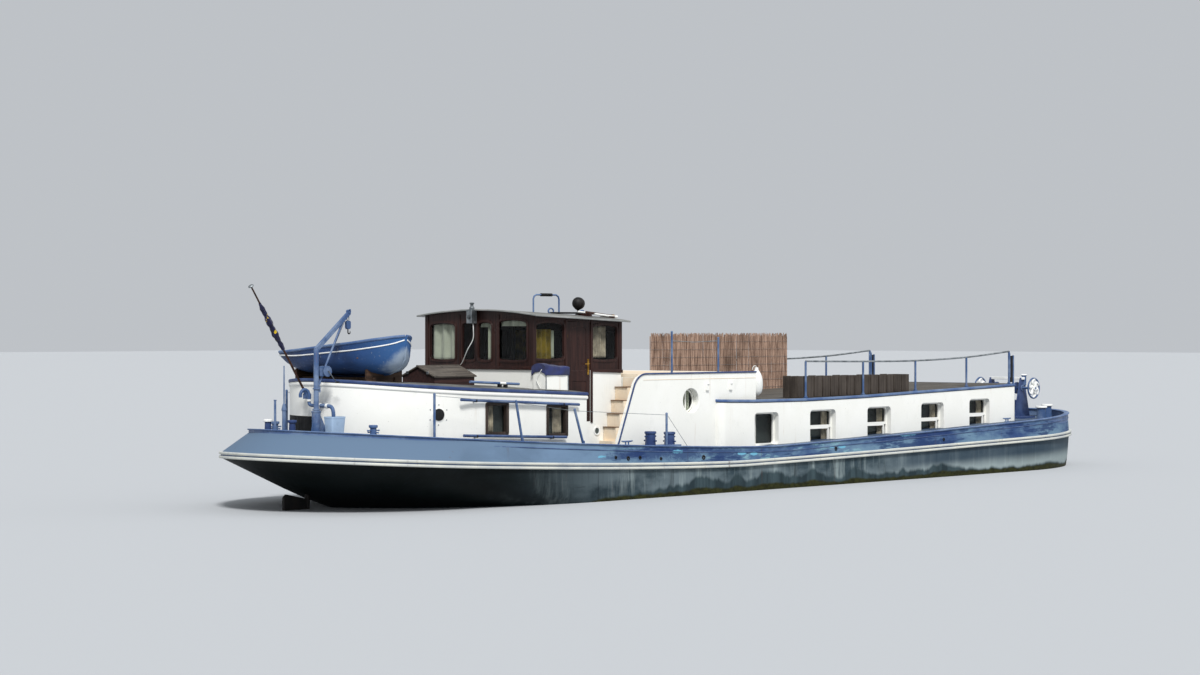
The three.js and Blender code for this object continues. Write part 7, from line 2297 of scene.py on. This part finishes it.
def build_side_poles():
    """Boathook poles: two in brackets along the aft trunk and one lying on its roof."""
    poles = Shape()
    y = -(AFT_HALF + 0.060)
    for x0, x1, z0, z1 in ((-8.97, -5.93, above(1.93), above(1.78)), (-8.9, -6.27, above(1.29), above(1.185))):
        poles.tube([(x0, y, z0), (x1, y, z1)], 0.026, "navy_paint", 14)
        for share in (0.12, 0.86):
            px = x0 + (x1 - x0) * share
            pz = z0 + (z1 - z0) * share
            poles.box((px - 0.014, y - 0.004, pz - 0.034), (px + 0.014, -AFT_HALF + 0.002, pz - 0.020), "iron")
            poles.box((px - 0.014, y - 0.028, pz - 0.034), (px + 0.014, y - 0.020, pz + 0.016), "iron")
    start, end = (-8.22, -1.36), (-7.02, -1.42)
    path = [(start[0] + (end[0] - start[0]) * t, start[1] + (end[1] - start[1]) * t, 0)
            for t in (0, 0.6, 0.62, 0.70, 0.72, 1.0)]
    path = [(x, py, aft_deck(x, py) + 0.075) for x, py, _ in path]
    for x, py, _ in (path[1], path[4]):
        poles.box((x - 0.03, py - 0.03, aft_deck(x, py) - 0.004), (x + 0.03, py + 0.03, aft_deck(x, py) + 0.054),
                  "iron")
    poles.tube(path[:2], 0.024, "blue_paint", 14)
    poles.tube(path[1:5], 0.026, "white_steel", 14)
    poles.tube(path[4:], 0.024, "blue_paint", 14)
    poles.make("boathook_poles", smooth=40, slot="blue_paint")


# Brushwood screen and boarded box


SCREEN = (0.32, 4.98, 2.74, 4.02, 1.902)
BOARDED_BOX = (0.62, 4.5, -1.88, -1.48)


def random_vectors(tree, low, high):
    """A node that draws one vector between two corners for every point."""
    draw = tree.nodes.new("FunctionNodeRandomValue")
    draw.data_type = "FLOAT_VECTOR"
    draw.inputs["Min"].default_value = low
    draw.inputs["Max"].default_value = high
    return draw


def build_screen():
    """Upright twigs spread along a line by Geometry Nodes, wired to the posts."""
    sizes = panel_sizes()
    x0, x1, z0, z1, y = SCREEN
    line = chain([(x0, y, z0), (x1, y, z0)])
    tree, start, end = new_tree("Brushwood", [("Count", 420), ("Height", 1.2), ("Twig", 0.006), ("Seed", 7)])
    curve = tree.nodes.new("GeometryNodeMeshToCurve")
    spots = tree.nodes.new("GeometryNodeResampleCurve")
    twig = tree.nodes.new("GeometryNodeMeshCone")
    twig.inputs["Vertices"].default_value = 5
    twig.inputs["Side Segments"].default_value = 1
    copies = tree.nodes.new("GeometryNodeInstanceOnPoints")
    lean = random_vectors(tree, (-0.008, -0.012, 0.0), (0.008, 0.012, 6.28))
    length = random_vectors(tree, (0.7, 0.7, 0.97), (1.25, 1.25, 1.02))
    shift = random_vectors(tree, (-0.003, -0.009, -0.015), (0.003, 0.009, 0.02))
    nudge = tree.nodes.new("GeometryNodeSetPosition")
    link(tree, start, "Geometry", curve, "Mesh")
    link(tree, curve, "Curve", spots, "Curve")
    link(tree, start, "Count", spots, "Count")
    link(tree, start, "Height", twig, "Depth")
    link(tree, start, "Twig", twig, "Radius Bottom")
    link(tree, start, "Twig", twig, "Radius Top")
    for draw in (lean, length, shift):
        link(tree, start, "Seed", draw, "Seed")
    link(tree, spots, "Curve", nudge, "Geometry")
    tree.links.new(shift.outputs["Value"], nudge.inputs["Offset"])
    link(tree, nudge, "Geometry", copies, "Points")
    link(tree, twig, "Mesh", copies, "Instance")
    tree.links.new(lean.outputs["Value"], copies.inputs["Rotation"])
    tree.links.new(length.outputs["Value"], copies.inputs["Scale"])
    close_tree(tree, copies, "Instances", end, "brushwood")
    values = {"Count": sizes.twig_count, "Height": z1 - z0, "Twig": 0.0055, "Seed": sizes.seed}
    grow(line, tree, values, "brushwood_twigs", "boat", "brushwood", replaces="brushwood_screen")
    ties = Shape()
    for z in (2.85, 3.02, 3.19, 3.36, 3.53, 3.70, 3.87):
        for dy in (-0.017, 0.017):
            ties.tube([(x0 + (x1 - x0) * i / 24, y + dy + 0.003 * math.sin(i * 1.7), z) for i in range(25)], 0.0022,
                      "zinc", 6)
    ties.make("brushwood_wires", smooth=60, slot="white_steel")


def build_boarded_box():
    """Low bulwark of upright boards beside the deck, nailed to two rails."""
    x0, x1, y0, y1 = BOARDED_BOX
    board, gap = 0.262, 0.030
    box = Shape()
    count = int((x1 - x0) / board)
    pitch = (x1 - x0) / count
    for k in range(count):
        a, b = x0 + k * pitch + gap / 2, x0 + (k + 1) * pitch - gap / 2
        middle = (a + b) / 2
        foot = fore_top(middle) + 0.062
        top = 3.175 - 0.006 * ((k * 7) % 3)
        for y in (y0, y1 - 0.022):
            box.box((a, y, foot), (b, y + 0.022, top), "board_wood")
    for x in (x0 + 0.024, x1 - 0.046):
        for k in range(2):
            low = y0 + 0.024 + k * 0.178
            box.box((x, low, fore_top(x) + 0.062), (x + 0.022, low + 0.17, 3.17), "board_wood")
    for z in (2.86, 3.10):
        for low, high in ((y0 + 0.0225, y0 + 0.05), (y1 - 0.05, y1 - 0.0225)):
            box.box((x0 + 0.05, low, z - 0.03), (x1 - 0.05, high, z + 0.03), "brown_wood")
    box.box((x0 + 0.03, y0 + 0.03, 2.80), (x1 - 0.03, y1 - 0.03, 2.84), "brown_wood")
    box.make("boarded_box_planks", round_edge=0.005, replaces="boarded_box", slot="brown_wood")


# Outlets, cleats and other small hull pieces


def plating_side(x, z):
    """Half breadth of the blue plating between the rubbing band and the deck edge."""
    low, high = band_low(x) + BAND_HEIGHT, deck_edge(x)
    share = min(1.0, max(0.0, (z - low) / (high - low)))
    return half_breadth(LEVELS[BAND_TOP_LEVEL], x) * (1 - share) + half_breadth(LEVELS[DECK_LEVEL], x) * share


def build_hull_fittings():
    """Outlets, the guard line along the bulwark, and cleats."""
    outlets = Shape()
    for x, lift, radius in ((-5.56, 0.10, 0.03), (-5.22, 0.085, 0.04), (-4.89, 0.095, 0.035), (-4.30, 0.075, 0.03),
                            (-3.06, 0.085, 0.045), (1.1, 0.09, 0.04),
                            (4.9, 0.10, 0.035)):
        z = band_low(x) + BAND_HEIGHT + lift
        y = plating_side(x, z)
        for side in (-1, 1):
            outlets.turned([(radius * 0.55, 0.0), (radius, 0.0), (radius, 0.012), (radius * 0.9, 0.02),
                            (radius * 0.55, 0.02)], (x, side * (y - 0.004), z),
                           (0, side, 0), "iron", 20, whole=True)
            # The black disc in each outlet's mouth paints the shade inside the pipe.
            outlets.turned([(0, 0), (radius * 0.6, 0), (radius * 0.6, 0.004), (0, 0.004)],
                           (x, side * (y - 0.004), z), (0, side, 0), "rubber", 16)
    outlets.make("hull_outlets", smooth=40, slot="iron")
    line = Shape()
    for side in (-1, 1):
        path = []
        for x in evenly(-9.3, 11.4, 120):
            z = cap_top(x) - 0.115
            path.append((x, side * (plating_side(x, z) + 0.002), z))
        line.tube(path, 0.009, "navy_paint", 8)
    line.make("hull_guard_line", smooth=50, slot="blue_paint")
    cleats = Shape()
    for side in (-1, 1):
        for x, y in ((-4.90, 2.18), (7.86, 2.14)):
            z = deck_edge(x) + 0.012
            cleats.box((x - 0.07, side * y - 0.03, z - 0.02), (x + 0.07, side * y + 0.03, z + 0.012), "blue_paint")
            for leg in (x - 0.04, x + 0.04):
                cleats.tube([(leg, side * y, z), (leg, side * y, z + 0.07)], 0.015, "blue_paint", 10)
            cleats.tube([(x - 0.15, side * y, z + 0.082), (x - 0.09, side * y, z + 0.075),
                         (x + 0.09, side * y, z + 0.075), (x + 0.15, side * y, z + 0.082)],
                        [0.011, 0.017, 0.017, 0.011], "blue_paint", 12)
    cleats.make("deck_cleats", smooth=40, slot="blue_paint")


def paint_solids():
    """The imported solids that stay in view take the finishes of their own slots."""
    slots = {part["node"]: part["material_slot"] for part in frame["record"]["subparts"]}
    for name, obj in frame["nodes"].items():
        for entry in obj.material_slots:
            entry.material = MATERIALS[slots[name]]


# Stage and camera


def build_stage():
    """A pale floor at the waterline, a soft sky and one broad key light from astern to starboard."""
    floor = Shape()
    floor.add([(-300, -300, WATER), (300, -300, WATER), (300, 300, WATER), (-300, 300, WATER)], [(0, 1, 2, 3)],
              "floor_paint")
    plate = floor.raw("stage_floor")
    world = bpy.data.worlds.new("Studio sky")
    bpy.context.scene.world = world
    bpy.context.scene.view_settings.view_transform = "Standard"
    world.use_nodes = True
    sky = world.node_tree.nodes["Background"]
    sky.inputs["Color"].default_value = (0.86, 0.90, 0.95, 1.0)
    sky.inputs["Strength"].default_value = 0.6
    for name, turn, energy, angle in (("Key light", (40, 0, -39), 3.3, 12), ("Fill light", (55, 0, 60), 0.35, 40)):
        light = bpy.data.lights.new(name, "SUN")
        light.energy = energy
        light.angle = math.radians(angle)
        lamp = placed(name, light)
        lamp.rotation_euler = [math.radians(part) for part in turn]
        lamp.location = (0, 0, 20)
    lens = bpy.data.cameras.new("Quay camera")
    lens.lens = 75.33
    lens.sensor_width = 36
    lens.clip_end = 1000
    camera = placed("Quay camera", lens)
    camera.location = (-39.84, -34.065, 4.08)
    camera.rotation_euler = (math.radians(89.875), 0, math.radians(-47))
    bpy.context.scene.camera = camera


# Operators and panel


def built(*builders):
    """Calls the builders in their order."""
    for build in builders:
        build()
    return {"FINISHED"}


class PaintFinishes(bpy.types.Operator):
    """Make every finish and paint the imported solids"""
    bl_idname = "barge.finishes"
    bl_label = "Finishes"

    def execute(self, context):
        return built(make_finishes, paint_solids)


class AddHull(bpy.types.Operator):
    """Hull plating, bulwark, rubbing strips and stern gear"""
    bl_idname = "barge.hull"
    bl_label = "Hull"

    def execute(self, context):
        return built(build_hull, build_edges, build_hull_fittings)


class AddAftTrunk(bpy.types.Operator):
    """Aft cabin trunk with its roof, windows and portholes"""
    bl_idname = "barge.aft_trunk"
    bl_label = "Aft trunk"

    def execute(self, context):
        return built(build_aft_trunk, build_aft_windows)


class AddWheelhouse(bpy.types.Operator):
    """Mahogany wheelhouse with its panes, lining, roof and base"""
    bl_idname = "barge.wheelhouse"
    bl_label = "Wheelhouse"

    def execute(self, context):
        return built(build_wheelhouse_walls, build_wheelhouse_inside, build_wheelhouse_roof, build_house_base_trim)


class AddDoors(bpy.types.Operator):
    """Panelled wheelhouse doors on their hinges"""
    bl_idname = "barge.doors"
    bl_label = "Doors"

    def execute(self, context):
        return built(build_doors)


class AddMidTrunk(bpy.types.Operator):
    """Raised mid trunk with its portholes and stair nosings"""
    bl_idname = "barge.mid_trunk"
    bl_label = "Mid trunk"

    def execute(self, context):
        return built(build_mid_trunk)


class AddForeTrunk(bpy.types.Operator):
    """Fore trunk with its deep windows and plank deck"""
    bl_idname = "barge.fore_trunk"
    bl_label = "Fore trunk"

    def execute(self, context):
        return built(build_fore_trunk, build_deck_planks, build_fore_windows)


class AddDinghy(bpy.types.Operator):
    """Dinghy on its chocks"""
    bl_idname = "barge.dinghy"
    bl_label = "Dinghy"

    def execute(self, context):
        return built(build_dinghy)


class AddDavit(bpy.types.Operator):
    """Davit crane with its winch and tackle"""
    bl_idname = "barge.davit"
    bl_label = "Davit"

    def execute(self, context):
        return built(build_davit)


class AddStern(bpy.types.Operator):
    """Flagstaff with its furled flag, pipe, rods and tub"""
    bl_idname = "barge.stern"
    bl_label = "Stern fittings"

    def execute(self, context):
        return built(build_flagstaff, build_stern_fittings)


class AddHatch(bpy.types.Operator):
    """Hatch with its lid, and the covered deck locker"""
    bl_idname = "barge.hatch"
    bl_label = "Hatch and locker"

    def execute(self, context):
        return built(build_hatch, build_locker)


class AddDeckGear(bpy.types.Operator):
    """Bollards, windlass, fender and searchlight"""
    bl_idname = "barge.deck_gear"
    bl_label = "Deck gear"

    def execute(self, context):
        return built(build_bollards, build_windlass, build_fender, build_searchlight)


class AddRails(bpy.types.Operator):
    """Deck rails, lifelines and boathook poles"""
    bl_idname = "barge.rails"
    bl_label = "Rails"

    def execute(self, context):
        return built(build_rails, build_side_poles)


class AddScreens(bpy.types.Operator):
    """Brushwood screen and boarded box on the fore deck"""
    bl_idname = "barge.screens"
    bl_label = "Screen and box"

    def execute(self, context):
        return built(build_screen, build_boarded_box)


class SetStage(bpy.types.Operator):
    """Floor, light and camera"""
    bl_idname = "barge.stage"
    bl_label = "Stage"

    def execute(self, context):
        return built(build_stage)


BUILDERS = (PaintFinishes, AddHull, AddAftTrunk, AddWheelhouse, AddDoors, AddMidTrunk, AddForeTrunk, AddDinghy,
            AddDavit, AddStern, AddHatch,
            AddDeckGear, AddRails, AddScreens, SetStage)


class BargePanel(bpy.types.Panel):
    """Sizes, colours and pieces of the barge"""
    bl_idname = "VIEW3D_PT_barge"
    bl_label = "River barge"
    bl_space_type = "VIEW_3D"
    bl_region_type = "UI"
    bl_category = "Barge"

    def draw(self, context):
        column = self.layout.column()
        for group in (context.scene.barge_sizes, context.scene.barge_colours):
            for name in group.bl_rna.properties.keys():
                if name not in ("rna_type", "name"):
                    column.prop(group, name)
        for builder in BUILDERS:
            column.operator(builder.bl_idname)


CLASSES = (BargeSizes, BargeColours, *BUILDERS, BargePanel)


def register():
    for entry in CLASSES:
        bpy.utils.register_class(entry)
    bpy.types.Scene.barge_sizes = bpy.props.PointerProperty(type=BargeSizes)
    bpy.types.Scene.barge_colours = bpy.props.PointerProperty(type=BargeColours)


def unregister():
    del bpy.types.Scene.barge_colours
    del bpy.types.Scene.barge_sizes
    for entry in reversed(CLASSES):
        bpy.utils.unregister_class(entry)


def main():
    register()
    for builder in BUILDERS:
        group, name = builder.bl_idname.split(".")
        getattr(getattr(bpy.ops, group), name)()


if __name__ == "__main__":
    main()
